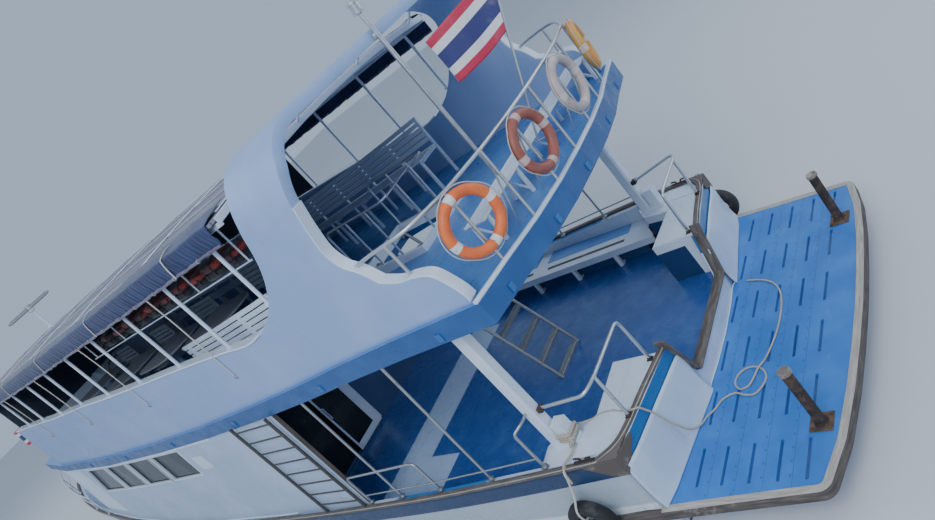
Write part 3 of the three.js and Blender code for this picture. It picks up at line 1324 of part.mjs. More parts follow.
// Bow rail round the foredeck and the bitt on it
const BOW_RAIL = { height: 640, posts: [17500, 18500, 19500, 20400, 21300, 22100, 22650] };
function bowRail() {
  const line = (x) => rimHalf(x) - 12;
  const foot = (x) => rimZ(x) + CAP.thickness - 12;
  const top = (x) => rimZ(x) + CAP.thickness + BOW_RAIL.height;
  const places = [...BOW_RAIL.posts, 22900];
  const port = places.map((x) => [x, Math.max(line(x), 120), top(x)]);
  const route = [...port, ...mirrored(port).reverse()];
  const mid = places.map((x) => [x, Math.max(line(x), 120), top(x) - 300]);
  const posts = BOW_RAIL.posts.flatMap((x) => [1, -1].map((side) => (
    tube([[x, side * line(x), foot(x)], [x, side * line(x), top(x)]], RAIL_RADIUS - 4)
  )));
  return join(
    tube(route, RAIL_RADIUS - 2),
    tube([...mid, ...mirrored(mid).reverse()], THIN_RADIUS - 2),
    ...posts,
  );
}
add("bow_rail", cut(bowRail(), capSeat), FINISH.steel);
add("bow_bitt", join(
  drum(20900, 0, FOREDECK + GAP, FOREDECK + 420, 70),
  tube([[20900, -190, FOREDECK + 300], [20900, 190, FOREDECK + 300]], 30, { sides: 10 }),
  box(20760, 21040, -140, 140, FOREDECK + GAP, FOREDECK + 16),
), FINISH.rusty);

export default boat;
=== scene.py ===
"""Looks of a two-deck passenger ferry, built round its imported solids.

Lengths are metres. Tables give places along the boat from the platform's aft corners, and
every mesh is moved aft by AMIDSHIPS when it is made, which puts it in the model's frame.
"""
import logging
import math
from dataclasses import dataclass, field
from enum import Enum
from typing import Callable, Optional, Sequence, Union

import bmesh
import bpy
import numpy as np
from mathutils import Matrix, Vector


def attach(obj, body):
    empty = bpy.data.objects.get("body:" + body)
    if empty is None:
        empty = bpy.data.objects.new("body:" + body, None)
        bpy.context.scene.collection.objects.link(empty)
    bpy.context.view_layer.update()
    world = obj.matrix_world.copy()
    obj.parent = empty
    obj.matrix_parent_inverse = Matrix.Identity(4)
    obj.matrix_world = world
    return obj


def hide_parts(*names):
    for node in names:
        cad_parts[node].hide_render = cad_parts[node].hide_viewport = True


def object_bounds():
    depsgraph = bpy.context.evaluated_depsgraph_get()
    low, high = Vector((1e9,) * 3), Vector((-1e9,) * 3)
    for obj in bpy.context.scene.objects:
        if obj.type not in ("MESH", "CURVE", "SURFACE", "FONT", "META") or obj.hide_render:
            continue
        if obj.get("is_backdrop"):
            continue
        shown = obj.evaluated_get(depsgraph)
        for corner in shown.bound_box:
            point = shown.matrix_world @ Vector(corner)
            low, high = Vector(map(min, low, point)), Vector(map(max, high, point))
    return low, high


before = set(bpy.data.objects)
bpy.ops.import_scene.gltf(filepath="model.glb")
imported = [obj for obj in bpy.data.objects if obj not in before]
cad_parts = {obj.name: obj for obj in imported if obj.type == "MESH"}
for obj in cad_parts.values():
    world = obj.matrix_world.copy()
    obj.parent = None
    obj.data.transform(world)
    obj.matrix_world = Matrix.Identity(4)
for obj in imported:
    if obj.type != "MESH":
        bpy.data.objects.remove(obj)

LOG = logging.getLogger("ferry")
AMIDSHIPS = 11.4
UP, ALONG, ACROSS = (0, 0, 1), (1, 0, 0), (0, 1, 0)
MIRROR = np.array([1.0, -1.0, 1.0])
WELD_REACH = 3e-5
BEVEL_ANGLE = 50
MADE: dict[str, bpy.types.Material] = {}
Array = np.ndarray
Colour = tuple[float, float, float]
Socket = bpy.types.NodeSocket


class Body(Enum):
    """Bodies that a piece rides on; wheel, rudder and propeller are CAD nodes that stay."""

    HULL = "hull"
    DOOR = "door"
    SCANNER = "scanner"


# Shapes


@dataclass
class Shape:
    """Corners of a piece, and its faces as blocks of like polygons with their UV places."""

    points: Array
    faces: list[tuple[Array, Array]] = field(default_factory=list)

    def __add__(self, other: "Shape") -> "Shape":
        """Both shapes as one."""
        shift = len(self.points)
        moved = [(index + shift, uv) for index, uv in other.faces]
        return Shape(np.vstack([self.points, other.points]), self.faces + moved)

    def mirrored(self) -> "Shape":
        """The same shape on the other side of the boat."""
        faces = [(index[:, ::-1], uv[:, ::-1]) for index, uv in self.faces]
        return Shape(self.points * MIRROR, faces)


def joined(shapes: Sequence[Shape]) -> Shape:
    """Several shapes as one.

    Args:
        shapes: The shapes, at least one.

    Returns:
        One shape that holds all of them.
    """
    total = shapes[0]
    for shape in shapes[1:]:
        total = total + shape
    return total


def both_sides(shape: Shape) -> Shape:
    """A shape with its mirror image on the other side of the boat."""
    return shape + shape.mirrored()


def grid(
    points: Array,
    us: Optional[Array] = None,
    vs: Optional[Array] = None,
    wrap: tuple[bool, bool] = (False, False),
    uv: Optional[Array] = None,
) -> Shape:
    """A surface through a grid of points: corner (i, j) joins its neighbours in i and j.

    Args:
        points: Places, rows by columns by 3.
        us: UV place of each row, one more than the rows where they wrap.
        vs: UV place of each column, one more than the columns where they wrap.
        wrap: Whether the rows and the columns close on themselves.
        uv: UV place of each corner of the grid, in place of us and vs.

    Returns:
        The surface as quads.
    """
    rows, columns = points.shape[:2]
    us = np.linspace(0, 1, rows + wrap[0]) if us is None else np.asarray(us, float)
    vs = np.linspace(0, 1, columns + wrap[1]) if vs is None else np.asarray(vs, float)
    i, j = np.meshgrid(
        np.arange(rows - 1 + wrap[0]), np.arange(columns - 1 + wrap[1]), indexing="ij"
    )
    i, j = i.ravel(), j.ravel()
    k, m = (i + 1) % rows, (j + 1) % columns
    index = np.stack(
        [i * columns + j, i * columns + m, k * columns + m, k * columns + j], axis=1
    )
    if uv is None:
        uv = np.stack(np.meshgrid(us, vs, indexing="ij"), axis=-1)
    places = np.stack([uv[i, j], uv[i, j + 1], uv[i + 1, j + 1], uv[i + 1, j]], axis=1)
    return Shape(points.reshape(-1, 3).astype(float), [(index, places)])


def flipped(shape: Shape) -> Shape:
    """The same surface with its faces turned the other way."""
    return Shape(shape.points, [(index[:, ::-1], uv[:, ::-1]) for index, uv in shape.faces])


def unit(vectors: Array) -> Array:
    """Vectors made one long."""
    return vectors / np.maximum(np.linalg.norm(vectors, axis=-1, keepdims=True), 1e-12)


def tangents(path: Array, closed: bool = False) -> Array:
    """Directions along a path: the mean of the directions to and from each point."""
    if closed:
        return unit(np.roll(path, -1, 0) - np.roll(path, 1, 0))
    step = unit(np.diff(path, axis=0))
    return unit(np.vstack([step[:1], step[:-1] + step[1:], step[-1:]]))


def sweep(
    path: Array,
    section: Array,
    up: Optional[Sequence[float]] = None,
    closed: bool = False,
    capped: bool = True,
) -> Shape:
    """A section carried along a path: point + side * section's x + rise * section's y.

    Side is the path's direction crossed with up, and rise is square to both. Without up,
    the direction that the path least runs along is taken.

    Args:
        path: Places along the path, n by 3.
        section: Outline of the section, m by 2.
        up: Direction that the section's y leans to.
        closed: Whether the path closes on itself.
        capped: Whether the ends are closed.

    Returns:
        The swept shape, u being metres along the path and v the share round the section.
    """
    path = np.asarray(path, float)
    ahead = tangents(path, closed)
    lead = np.linalg.svd(ahead)[2][2] if up is None else np.asarray(up, float)
    side = unit(np.cross(ahead, lead))
    rise = np.cross(side, ahead)
    rings = (
        path[:, None, :]
        + side[:, None, :] * section[None, :, :1]
        + rise[:, None, :] * section[None, :, 1:]
    )
    steps = np.linalg.norm(np.diff(path, axis=0), axis=1)
    if closed:
        steps = np.append(steps, np.linalg.norm(path[0] - path[-1]))
    us = np.concatenate([[0.0], np.cumsum(steps)])
    shape = grid(rings, us=us, wrap=(closed, True))
    if capped and not closed:
        m = len(section)
        ends = np.arange(m)
        shape.faces.append((
            np.stack([ends, (len(path) - 1) * m + ends[::-1]]),
            np.zeros((2, m, 2)),
        ))
    return shape


def circle(radius: float, sides: int = 12) -> Array:
    """Points on a circle round the origin."""
    turn = np.linspace(0, 2 * np.pi, sides, endpoint=False)
    return radius * np.stack([np.cos(turn), np.sin(turn)], axis=1)


def bar_section(x0: float, x1: float, y0: float, y1: float, bevel: float = 0.004) -> Array:
    """Outline of a rectangle with its corners taken off."""
    b = min(bevel, 0.4 * abs(x1 - x0), 0.4 * abs(y1 - y0))
    return np.array([
        [x0 + b, y0], [x1 - b, y0], [x1, y0 + b], [x1, y1 - b],
        [x1 - b, y1], [x0 + b, y1], [x0, y1 - b], [x0, y0 + b],
    ])


def bar(path: Array, x0: float, x1: float, y0: float, y1: float, bevel: float = 0.004,
        up: Sequence[float] = UP, closed: bool = False) -> Shape:
    """A bar of rectangular section carried along a path."""
    return sweep(path, bar_section(x0, x1, y0, y1, bevel), up=up, closed=closed)


def rounded(points: Sequence[Sequence[float]], reach: float, steps: int = 7) -> Array:
    """A polyline whose corners are parabolas that start at the given distance.

    Args:
        points: Corners of the polyline.
        reach: Distance from a corner at which its curve starts.
        steps: Points on each curve.

    Returns:
        Places along the rounded path.
    """
    p = np.asarray(points, float)
    if len(p) < 3:
        return p
    here = p[1:-1]

    def leg(other: Array) -> Array:
        """Start of the curve on the way to the next corner."""
        way = other - here
        size = np.linalg.norm(way, axis=1, keepdims=True)
        return here + way / size * np.minimum(reach, 0.45 * size)

    start, end = leg(p[:-2]), leg(p[2:])
    t = np.linspace(0, 1, steps)[None, :, None]
    curve = (
        (1 - t) ** 2 * start[:, None] + 2 * t * (1 - t) * here[:, None] + t**2 * end[:, None]
    )
    return np.vstack([p[:1], curve.reshape(-1, 3), p[-1:]])


def tube(
    points: Sequence[Sequence[float]], radius: float, reach: float = 0.0, sides: int = 12
) -> Shape:
    """Round tube along a polyline whose corners may be rounded.

    Args:
        points: Corners of the polyline.
        radius: Radius of the tube.
        reach: Distance from a corner at which its bend starts.
        sides: Sides of the tube.

    Returns:
        The closed tube.
    """
    path = rounded(points, reach) if reach else np.asarray(points, float)
    return sweep(path, circle(radius, sides))


def tubes(routes: Sequence[Sequence[Sequence[float]]], radius: float, sides: int = 10) -> Shape:
    """Straight or bent tubes of one radius."""
    return joined([tube(route, radius, sides=sides) for route in routes])


def ring_of(centre: Sequence[float], axis: Sequence[float], radius: float, section: float,
            sides: int = 18) -> Shape:
    """A torus: points at radius round the axis, each the middle of a round section."""
    axis = unit(np.asarray(axis, float))
    first = unit(np.cross(axis, [0.3, 0.2, 1.0]))
    second = np.cross(axis, first)
    turn = np.linspace(0, 2 * np.pi, 64, endpoint=False)[:, None]
    path = np.asarray(centre) + radius * (np.cos(turn) * first + np.sin(turn) * second)
    return sweep(path, circle(section, sides), up=axis, closed=True)


def boards(
    starts: Array, ends: Array, width: float, thickness: float,
    up: Sequence[float] = UP, bevel: float = 0.004,
) -> Shape:
    """Straight boards with softened edges, all of one section.

    Each board is four rings of a chamfered rectangle: a shrunken one at each end, and a full
    one a bevel's length in from it.

    Args:
        starts: Middle of each board's first end, n by 3.
        ends: Middle of each board's second end, n by 3.
        width: Size across the board, square to up.
        thickness: Size towards up.
        up: Direction that the boards' faces look to.
        bevel: Width of the softened edges.

    Returns:
        All boards as one shape.
    """
    starts, ends = np.atleast_2d(starts).astype(float), np.atleast_2d(ends).astype(float)
    ahead = unit(ends - starts)
    side = unit(np.cross(ahead, np.asarray(up, float)))
    rise = np.cross(side, ahead)
    section = bar_section(-width / 2, width / 2, -thickness / 2, thickness / 2, bevel)
    small = section * (1 - 2 * bevel / np.array([width, thickness]))
    middles = np.stack(
        [starts, starts + ahead * bevel, ends - ahead * bevel, ends], axis=1
    )
    rings = np.stack([small, section, section, small])
    points = (
        middles[:, :, None]
        + side[:, None, None] * rings[None, :, :, :1]
        + rise[:, None, None] * rings[None, :, :, 1:]
    )
    one = grid(points[0], wrap=(False, True))
    caps = np.stack([np.arange(8), 24 + np.arange(8)[::-1]])
    shift = np.arange(len(starts))[:, None, None] * 32
    index, uv = one.faces[0]
    long = np.linalg.norm(ends - starts, axis=1)[:, None, None, None]
    stretched = uv[None] * np.concatenate([long, np.ones_like(long)], axis=3)
    return Shape(points.reshape(-1, 3), [
        ((index[None] + shift).reshape(-1, 4), stretched.reshape(-1, 4, 2)),
        ((caps[None] + shift).reshape(-1, 8), np.zeros((2 * len(starts), 8, 2))),
    ])


def plate(
    outline: Sequence[Sequence[float]], low: float, high: float, bevel: float = 0.004,
    place: Callable[[Array], Array] = lambda p: p,
) -> Shape:
    """A slab on an outline, with softened edges: rings of the outline drawn in at each face.

    Args:
        outline: Corners in the slab's plane, anticlockwise.
        low: Place of the lower face.
        high: Place of the upper face.
        bevel: Width of the softened edges.
        place: Turns the slab's own x, y and z into the boat's.

    Returns:
        The closed slab.
    """
    flat = np.asarray(outline, float)
    before, after = unit(flat - np.roll(flat, 1, 0)), unit(np.roll(flat, -1, 0) - flat)
    normal = unit(before + after)
    inward = np.stack([-normal[:, 1], normal[:, 0]], axis=1)
    widen = 1 / np.maximum(np.sum(normal * after, axis=1, keepdims=True), 0.4)
    small = flat + inward * bevel * widen
    n = len(flat)
    rings = np.stack([
        np.column_stack([ring, np.full(n, z)])
        for ring, z in ((small, low), (flat, low + bevel), (flat, high - bevel), (small, high))
    ])
    shape = grid(place(rings.reshape(-1, 3)).reshape(rings.shape), wrap=(False, True))
    ends = np.arange(n)
    shape.faces.append((np.stack([ends, 3 * n + ends[::-1]]), np.zeros((2, n, 2))))
    return shape


def square_plate(x: float, y: float, half: float, low: float, high: float,
                 bevel: float) -> Shape:
    """A square slab with softened edges round a place."""
    outline = [[x - half, y - half], [x + half, y - half], [x + half, y + half],
               [x - half, y + half]]
    return plate(outline, low, high, bevel)


def turned(profile: Sequence[Sequence[float]], centre: Sequence[float], axis: int = 2,
           sides: int = 32) -> Shape:
    """A profile of radius and height turned round an axis, its ends closed.

    Args:
        profile: Radius and height of each ring.
        centre: Foot of the axis.
        axis: 0, 1 or 2 for an axis along x, y or z.
        sides: Sides of each ring.

    Returns:
        The closed turned shape.
    """
    p = np.asarray(profile, float)
    turn = np.linspace(0, 2 * np.pi, sides, endpoint=False)
    around = np.stack([np.cos(turn), np.sin(turn)], axis=1)
    rings = np.zeros((len(p), sides, 3))
    flat = [a for a in range(3) if a != axis]
    rings[:, :, flat] = p[:, :1, None] * around[None]
    rings[:, :, axis] = p[:, 1:]
    shape = grid(rings + np.asarray(centre, float), wrap=(False, True))
    ends = np.arange(sides)
    index = np.stack([ends, (len(p) - 1) * sides + ends[::-1]])
    shape.faces.append((index, np.zeros((2, sides, 2))))
    return shape


def lumps(
    centres: Array, halves: Array, power: float = 4.0, n: int = 4
) -> Shape:
    """Rounded boxes: a cube's lattice p moved to p / (|x|^q + |y|^q + |z|^q)^(1/q).

    Args:
        centres: Middle of each box, n by 3.
        halves: Half sizes, one row or one per box.
        power: The q above; the larger, the squarer.
        n: Cells along a cube's edge.

    Returns:
        All rounded boxes as one shape.
    """
    centres = np.atleast_2d(centres).astype(float)
    halves = np.broadcast_to(np.atleast_2d(halves), centres.shape)
    line = np.linspace(-1, 1, n + 1)
    a, b = (m.ravel() for m in np.meshgrid(line, line, indexing="ij"))
    cell = (np.arange(n)[:, None] * (n + 1) + np.arange(n)).ravel()
    quad = np.stack([cell, cell + n + 1, cell + n + 2, cell + 1], axis=1)
    corners, quads = [], []
    for k in range(3):
        for sign in (-1.0, 1.0):
            face = np.zeros((len(a), 3))
            face[:, k], face[:, (k + 1) % 3], face[:, (k + 2) % 3] = sign, a, b
            quads.append((quad if sign > 0 else quad[:, ::-1]) + len(a) * len(corners))
            corners.append(face)
    every = np.vstack(corners)
    lattice, back = np.unique(np.round(every, 6), axis=0, return_inverse=True)
    index = back.reshape(-1)[np.vstack(quads)]
    size = np.sum(np.abs(lattice) ** power, axis=1, keepdims=True) ** (1 / power)
    skin = lattice / size
    points = centres[:, None] + halves[:, None] * skin[None]
    shift = np.arange(len(centres))[:, None, None] * len(lattice)
    faces = (index[None] + shift).reshape(-1, 4)
    return Shape(points.reshape(-1, 3), [(faces, np.zeros((len(faces), 4, 2)))])


def smooth(places: Array, values: Array, x: Union[float, Array]) -> Array:
    """A cubic curve through a table's values: it leaves each with its neighbours' mean slope.

    Args:
        places: Rising places of the table's rows.
        values: The values there.
        x: Where the curve is wanted.

    Returns:
        The curve's values at x.
    """
    slope = np.gradient(values, places)
    x = np.asarray(x, float)
    i = np.clip(np.searchsorted(places, x) - 1, 0, len(places) - 2)
    span = places[i + 1] - places[i]
    t = (x - places[i]) / span
    return (
        (2 * t**3 - 3 * t**2 + 1) * values[i] + (t**3 - 2 * t**2 + t) * span * slope[i]
        + (3 * t**2 - 2 * t**3) * values[i + 1] + (t**3 - t**2) * span * slope[i + 1]
    )


def along_curve(points: Sequence[Sequence[float]], n: int) -> Array:
    """Places spread evenly along a smooth curve through the given ones."""
    p = np.asarray(points, float)
    chord = np.concatenate([[0], np.cumsum(np.linalg.norm(np.diff(p, axis=0), axis=1))])
    fine = np.linspace(0, chord[-1], 40 * len(p))
    curve = np.column_stack([smooth(chord, p[:, k], fine) for k in range(p.shape[1])])
    run = np.concatenate([[0], np.cumsum(np.linalg.norm(np.diff(curve, axis=0), axis=1))])
    even = np.linspace(0, run[-1], n)
    return np.column_stack([np.interp(even, run, curve[:, k]) for k in range(p.shape[1])])


def ripple(x: Array, seed: float, *waves: tuple[float, float]) -> Array:
    """A sum of sine waves, each of the given length and height, out of step by seed."""
    total = np.zeros_like(np.asarray(x, float))
    for k, (length, height) in enumerate(waves):
        total += height * np.sin(2 * np.pi * x / length + seed * (2.1 * k + 1.3))
    return total


# Finishes


class Nodes:
    """A new material with short calls for its nodes."""

    def __init__(self, name: str) -> None:
        """Starts a material with one principled shader."""
        self.material = bpy.data.materials.new(name)
        self.material.use_nodes = True
        self.tree = self.material.node_tree
        self.tree.nodes.clear()
        self.shader = self.add("ShaderNodeBsdfPrincipled")
        output = self.add("ShaderNodeOutputMaterial")
        self.tree.links.new(self.shader.outputs["BSDF"], output.inputs["Surface"])
        coordinates = self.add("ShaderNodeTexCoord")
        self.place: Socket = coordinates.outputs["Object"]
        self.uv: Socket = coordinates.outputs["UV"]

    def add(self, kind: str, **settings: object) -> bpy.types.Node:
        """A new node with the given settings."""
        node = self.tree.nodes.new(kind)
        for key, value in settings.items():
            setattr(node, key, value)
        return node

    def feed(self, value: object, socket: Socket) -> None:
        """Links a socket, or sets a number or colour on it."""
        if isinstance(value, bpy.types.NodeSocket):
            self.tree.links.new(value, socket)
        elif isinstance(value, (tuple, list)) and len(socket.default_value) == 4:
            socket.default_value = (*value, 1.0)[:4]
        else:
            socket.default_value = value

    def surface(self, **values: object) -> None:
        """Sets or links inputs of the shader, given with _ for each space in their names."""
        for key, value in values.items():
            self.feed(value, self.shader.inputs[key.replace("_", " ")])

    def calc(self, operation: str, a: object, b: object = 0.0, clamp: bool = False) -> Socket:
        """Arithmetic on one or two numbers."""
        node = self.add("ShaderNodeMath", operation=operation, use_clamp=clamp)
        self.feed(a, node.inputs[0])
        self.feed(b, node.inputs[1])
        return node.outputs[0]

    def times(self, a: object, b: object) -> Socket:
        """Product of two numbers."""
        return self.calc("MULTIPLY", a, b)

    def axes(self, vector: Optional[Socket] = None) -> tuple[Socket, Socket, Socket]:
        """X, Y and Z of the object's own coordinates or of another vector."""
        node = self.add("ShaderNodeSeparateXYZ")
        self.tree.links.new(vector or self.place, node.inputs[0])
        return node.outputs[0], node.outputs[1], node.outputs[2]

    def scaled(self, x: float, y: float, z: float, vector: Optional[Socket] = None) -> Socket:
        """The object's own coordinates, or another vector, stretched along each axis."""
        node = self.add("ShaderNodeMapping")
        self.tree.links.new(vector or self.place, node.inputs["Vector"])
        node.inputs["Scale"].default_value = (x, y, z)
        return node.outputs["Vector"]

    def noise(self, scale: float, detail: float = 4.0, rough: float = 0.55,
              vector: Optional[Socket] = None) -> Socket:
        """Cloudy noise from 0 to 1."""
        node = self.add("ShaderNodeTexNoise")
        self.tree.links.new(vector or self.place, node.inputs["Vector"])
        node.inputs["Scale"].default_value = scale
        node.inputs["Detail"].default_value = detail
        node.inputs["Roughness"].default_value = rough
        return node.outputs[0]

    def fade(self, value: Socket, low: float, high: float, out_low: float = 0.0,
             out_high: float = 1.0) -> Socket:
        """Runs smoothly from one number to another as a value crosses a range."""
        node = self.add("ShaderNodeMapRange", interpolation_type="SMOOTHSTEP")
        self.tree.links.new(value, node.inputs["Value"])
        for key, number in zip(("From Min", "From Max", "To Min", "To Max"),
                               (low, high, out_low, out_high)):
            node.inputs[key].default_value = number
        return node.outputs[0]

    def clouds(self, scale: float, detail: float, low: float, high: float,
               out_low: float = 0.0, out_high: float = 1.0, rough: float = 0.55) -> Socket:
        """Cloudy noise that runs from one number to another as it crosses a range."""
        return self.fade(self.noise(scale, detail, rough), low, high, out_low, out_high)

    def band(self, value: Socket, low: float, high: float, soft: float = 0.003) -> Socket:
        """One inside a range of a value, and nothing outside."""
        return self.times(self.fade(value, low - soft, low + soft),
                          self.fade(value, high - soft, high + soft, 1.0, 0.0))

    def blend(self, share: object, a: object, b: object) -> Socket:
        """Mix of two colours."""
        node = self.add("ShaderNodeMix", data_type="RGBA")
        self.feed(share, node.inputs[0])
        self.feed(a, node.inputs[6])
        self.feed(b, node.inputs[7])
        return node.outputs[2]

    def curve(self, value: Socket, points: Sequence[tuple[float, float]]) -> Socket:
        """A curve drawn through points of value and result."""
        xs, ys = zip(*points)
        low, high = min(ys), max(ys)
        share = self.fade_linear(value, xs[0], xs[-1])
        node = self.add("ShaderNodeFloatCurve")
        line = node.mapping.curves[0]
        flat = [((x - xs[0]) / (xs[-1] - xs[0]), (y - low) / (high - low)) for x, y in points]
        line.points[0].location, line.points[1].location = flat[0], flat[-1]
        for x, y in flat[1:-1]:
            line.points.new(x, y)
        node.mapping.update()
        self.tree.links.new(share, node.inputs["Value"])
        return self.calc("ADD", self.times(node.outputs[0], high - low), low)

    def fade_linear(self, value: Socket, low: float, high: float) -> Socket:
        """Share of the way of a value from low to high."""
        node = self.add("ShaderNodeMapRange")
        self.tree.links.new(value, node.inputs["Value"])
        node.inputs["From Min"].default_value = low
        node.inputs["From Max"].default_value = high
        return node.outputs[0]

    def bump(self, height: Socket, strength: float, distance: float = 0.002) -> None:
        """Raises the surface by a height, over any bump that is there already."""
        node = self.add("ShaderNodeBump")
        node.inputs["Strength"].default_value = strength
        node.inputs["Distance"].default_value = distance
        self.tree.links.new(height, node.inputs["Height"])
        old = self.shader.inputs["Normal"]
        if old.links:
            self.tree.links.new(old.links[0].from_socket, node.inputs["Normal"])
        self.tree.links.new(node.outputs["Normal"], old)


@dataclass(frozen=True)
class Finish:
    """A finish that is made into a material once."""

    name: str

    def material(self) -> bpy.types.Material:
        """The finish's material, made at its first use."""
        if self.name not in MADE:
            nodes = Nodes(self.name + "_look")
            self.shade(nodes)
            MADE[self.name] = nodes.material
        return MADE[self.name]

    def shade(self, nodes: Nodes) -> None:
        """Draws the finish on a new material."""
        raise NotImplementedError


@dataclass(frozen=True)
class Paint(Finish):
    """Brushed marine paint: cloudy colour, grime that runs down, worn spots."""

    colour: Colour = (0.8, 0.8, 0.8)
    second: Colour = (0.7, 0.72, 0.75)
    grime: Colour = (0.30, 0.27, 0.23)
    dirt: float = 0.25
    worn: float = 0.0
    under: Colour = (0.22, 0.13, 0.08)
    gloss: float = 0.35
    clouds: float = 1.3

    def tone(self, nodes: Nodes) -> Socket:
        """Colour with its clouds, runs and worn spots."""
        colour = nodes.blend(
            nodes.clouds(self.clouds, 5, 0.38, 0.68), self.colour, self.second
        )
        runs = nodes.noise(1.0, 5, 0.6, nodes.scaled(9, 9, 0.9))
        specks = nodes.noise(26, 3)
        share = nodes.times(nodes.fade(runs, 0.56, 0.78), self.dirt)
        share = nodes.calc("ADD", share, nodes.fade(specks, 0.62, 0.80, 0.0, 0.4 * self.dirt))
        colour = nodes.blend(share, colour, self.grime)
        if self.worn:
            chips = nodes.clouds(17, 8, 0.67, 0.71, 0.0, self.worn, rough=0.7)
            colour = nodes.blend(chips, colour, self.under)
        return colour

    def shade(self, nodes: Nodes) -> None:
        """Draws the paint."""
        nodes.surface(
            Base_Color=self.tone(nodes),
            Roughness=nodes.clouds(7, 4, 0.3, 0.75, self.gloss, self.gloss + 0.18),
            Coat_Weight=0.15, Coat_Roughness=0.25,
        )
        nodes.bump(nodes.noise(140, 2), 0.10, 0.0006)
        nodes.bump(nodes.noise(2.2, 3), 0.18, 0.006)


@dataclass(frozen=True)
class LockerPaint(Paint):
    """White locker with painted shade on its sides below the slab of its lid."""

    shadow: Colour = (0.015, 0.045, 0.13)
    slab_foot: float = 1.235
    after_face: tuple[float, float] = (-9.685, -9.68)

    def tone(self, nodes: Nodes) -> Socket:
        """Adds painted shade in the hollow below the slab to the paint's own colours."""
        colour = super().tone(nodes)
        x, _, z = nodes.axes()
        # Painted shade where the locker's sides stand open below the slab.
        hollow = nodes.times(nodes.band(z, 0.0, self.slab_foot), nodes.fade(x, *self.after_face))
        return nodes.blend(hollow, colour, self.shadow)


@dataclass(frozen=True)
class HullPaint(Paint):
    """Hull inside and out: band below the rim, dark decks, bottom paint below the water."""

    stern_band: Colour = (0.02, 0.15, 0.40)
    deck: Colour = (0.022, 0.085, 0.30)
    bottom: Colour = (0.05, 0.055, 0.075)
    scuffed: Colour = (0.045, 0.13, 0.36)
    patched: Colour = (0.40, 0.52, 0.72)
    foredeck: Colour = (0.045, 0.20, 0.50)
    rim: tuple[tuple[float, float], ...] = ()
    transom_face: tuple[float, float] = (-9.735, -9.725)
    stripe_x: tuple[float, float] = (-5.48, -4.77)
    stripe_y: tuple[float, float] = (-1.4, 2.3)
    patch_x: tuple[float, float] = (-6.13, -4.77)
    patch_y: tuple[float, float] = (1.47, 2.3)

    def shade(self, nodes: Nodes) -> None:
        """Draws the hull."""
        x, y, z = nodes.axes()
        below = nodes.calc("SUBTRACT", nodes.curve(x, self.rim), z)
        look = nodes.axes(nodes.add("ShaderNodeNewGeometry").outputs["True Normal"])
        level = nodes.fade(look[2], 0.7, 0.9)
        outside = nodes.calc("SUBTRACT", 1.0, level)
        colour = self.tone(nodes)
        outer = nodes.fade(x, *self.transom_face, 1.0, 0.0)
        band = nodes.times(nodes.band(below, -0.05, 0.25), outside)
        band = nodes.times(band, outer)
        colour = nodes.blend(band, colour, self.stern_band)
        deck = nodes.times(level, nodes.band(z, 0.70, 0.74))
        stripe = nodes.times(nodes.band(x, *self.stripe_x), nodes.band(y, *self.stripe_y))
        patch = nodes.times(nodes.band(x, *self.patch_x), nodes.band(y, *self.patch_y))
        scuffs = nodes.clouds(5, 6, 0.40, 0.75, rough=0.65)
        dark = nodes.blend(scuffs, self.deck, self.scuffed)
        dark = nodes.blend(nodes.calc("MAXIMUM", stripe, patch), dark, self.patched)
        colour = nodes.blend(deck, colour, dark)
        fore = nodes.times(level, nodes.band(z, 1.20, 1.28))
        colour = nodes.blend(fore, colour, self.foredeck)
        colour = nodes.blend(nodes.fade(z, 0.02, 0.07, 1.0, 0.0), colour, self.bottom)
        nodes.surface(
            Base_Color=colour,
            Roughness=nodes.clouds(6, 4, 0.3, 0.75, 0.22, 0.45),
            Coat_Weight=0.25, Coat_Roughness=0.18,
        )
        nodes.bump(nodes.noise(2.0, 3), 0.2, 0.008)


@dataclass(frozen=True)
class TopsidePaint(Paint):
    """Outside of the hull on its own UV, v being the depth below the rim."""

    # Navy of the band below the rim, darkened by painted shade.
    shaded_band_navy: Colour = (0.008, 0.035, 0.11)
    bottom: Colour = (0.05, 0.055, 0.075)
    seam_grey: Colour = (0.35, 0.36, 0.37)
    upper_grey: Colour = (0.25, 0.34, 0.43)
    weed: Colour = (0.16, 0.17, 0.12)
    plank: float = 0.145

    def shade(self, nodes: Nodes) -> None:
        """Draws the topsides: navy band with painted shade, white planks with faint seams, bottom
        paint.
        """
        _, _, z = nodes.axes()
        _, depth, _ = nodes.axes(nodes.uv)
        colour = self.tone(nodes)
        plank = nodes.calc("FRACT", nodes.calc("DIVIDE", depth, self.plank))
        seam = nodes.band(plank, 0.0, 0.03, 0.02)
        colour = nodes.blend(nodes.times(seam, 0.35), colour, self.seam_grey)
        grey = nodes.calc("ADD", z, nodes.times(nodes.noise(3, 5), 0.03))
        colour = nodes.blend(nodes.fade(grey, 0.625, 0.66, 0.0, 0.7), colour, self.upper_grey)
        band = nodes.fade(depth, 0.248, 0.254, 1.0, 0.0)
        # The band's navy paint with painted shade on it.
        colour = nodes.blend(band, colour, self.shaded_band_navy)
        scum = nodes.fade(z, 0.05, 0.22, 0.7, 0.0)
        colour = nodes.blend(scum, colour, self.weed)
        colour = nodes.blend(nodes.fade(z, 0.03, 0.06, 1.0, 0.0), colour, self.bottom)
        nodes.surface(
            Base_Color=colour,
            Roughness=nodes.clouds(6, 4, 0.3, 0.75, 0.22, 0.45),
            Coat_Weight=0.08, Coat_Roughness=0.3,
        )
        nodes.bump(nodes.calc("SUBTRACT", 1.0, seam), 0.3, 0.003)
        nodes.bump(nodes.noise(1.6, 3), 0.2, 0.010)


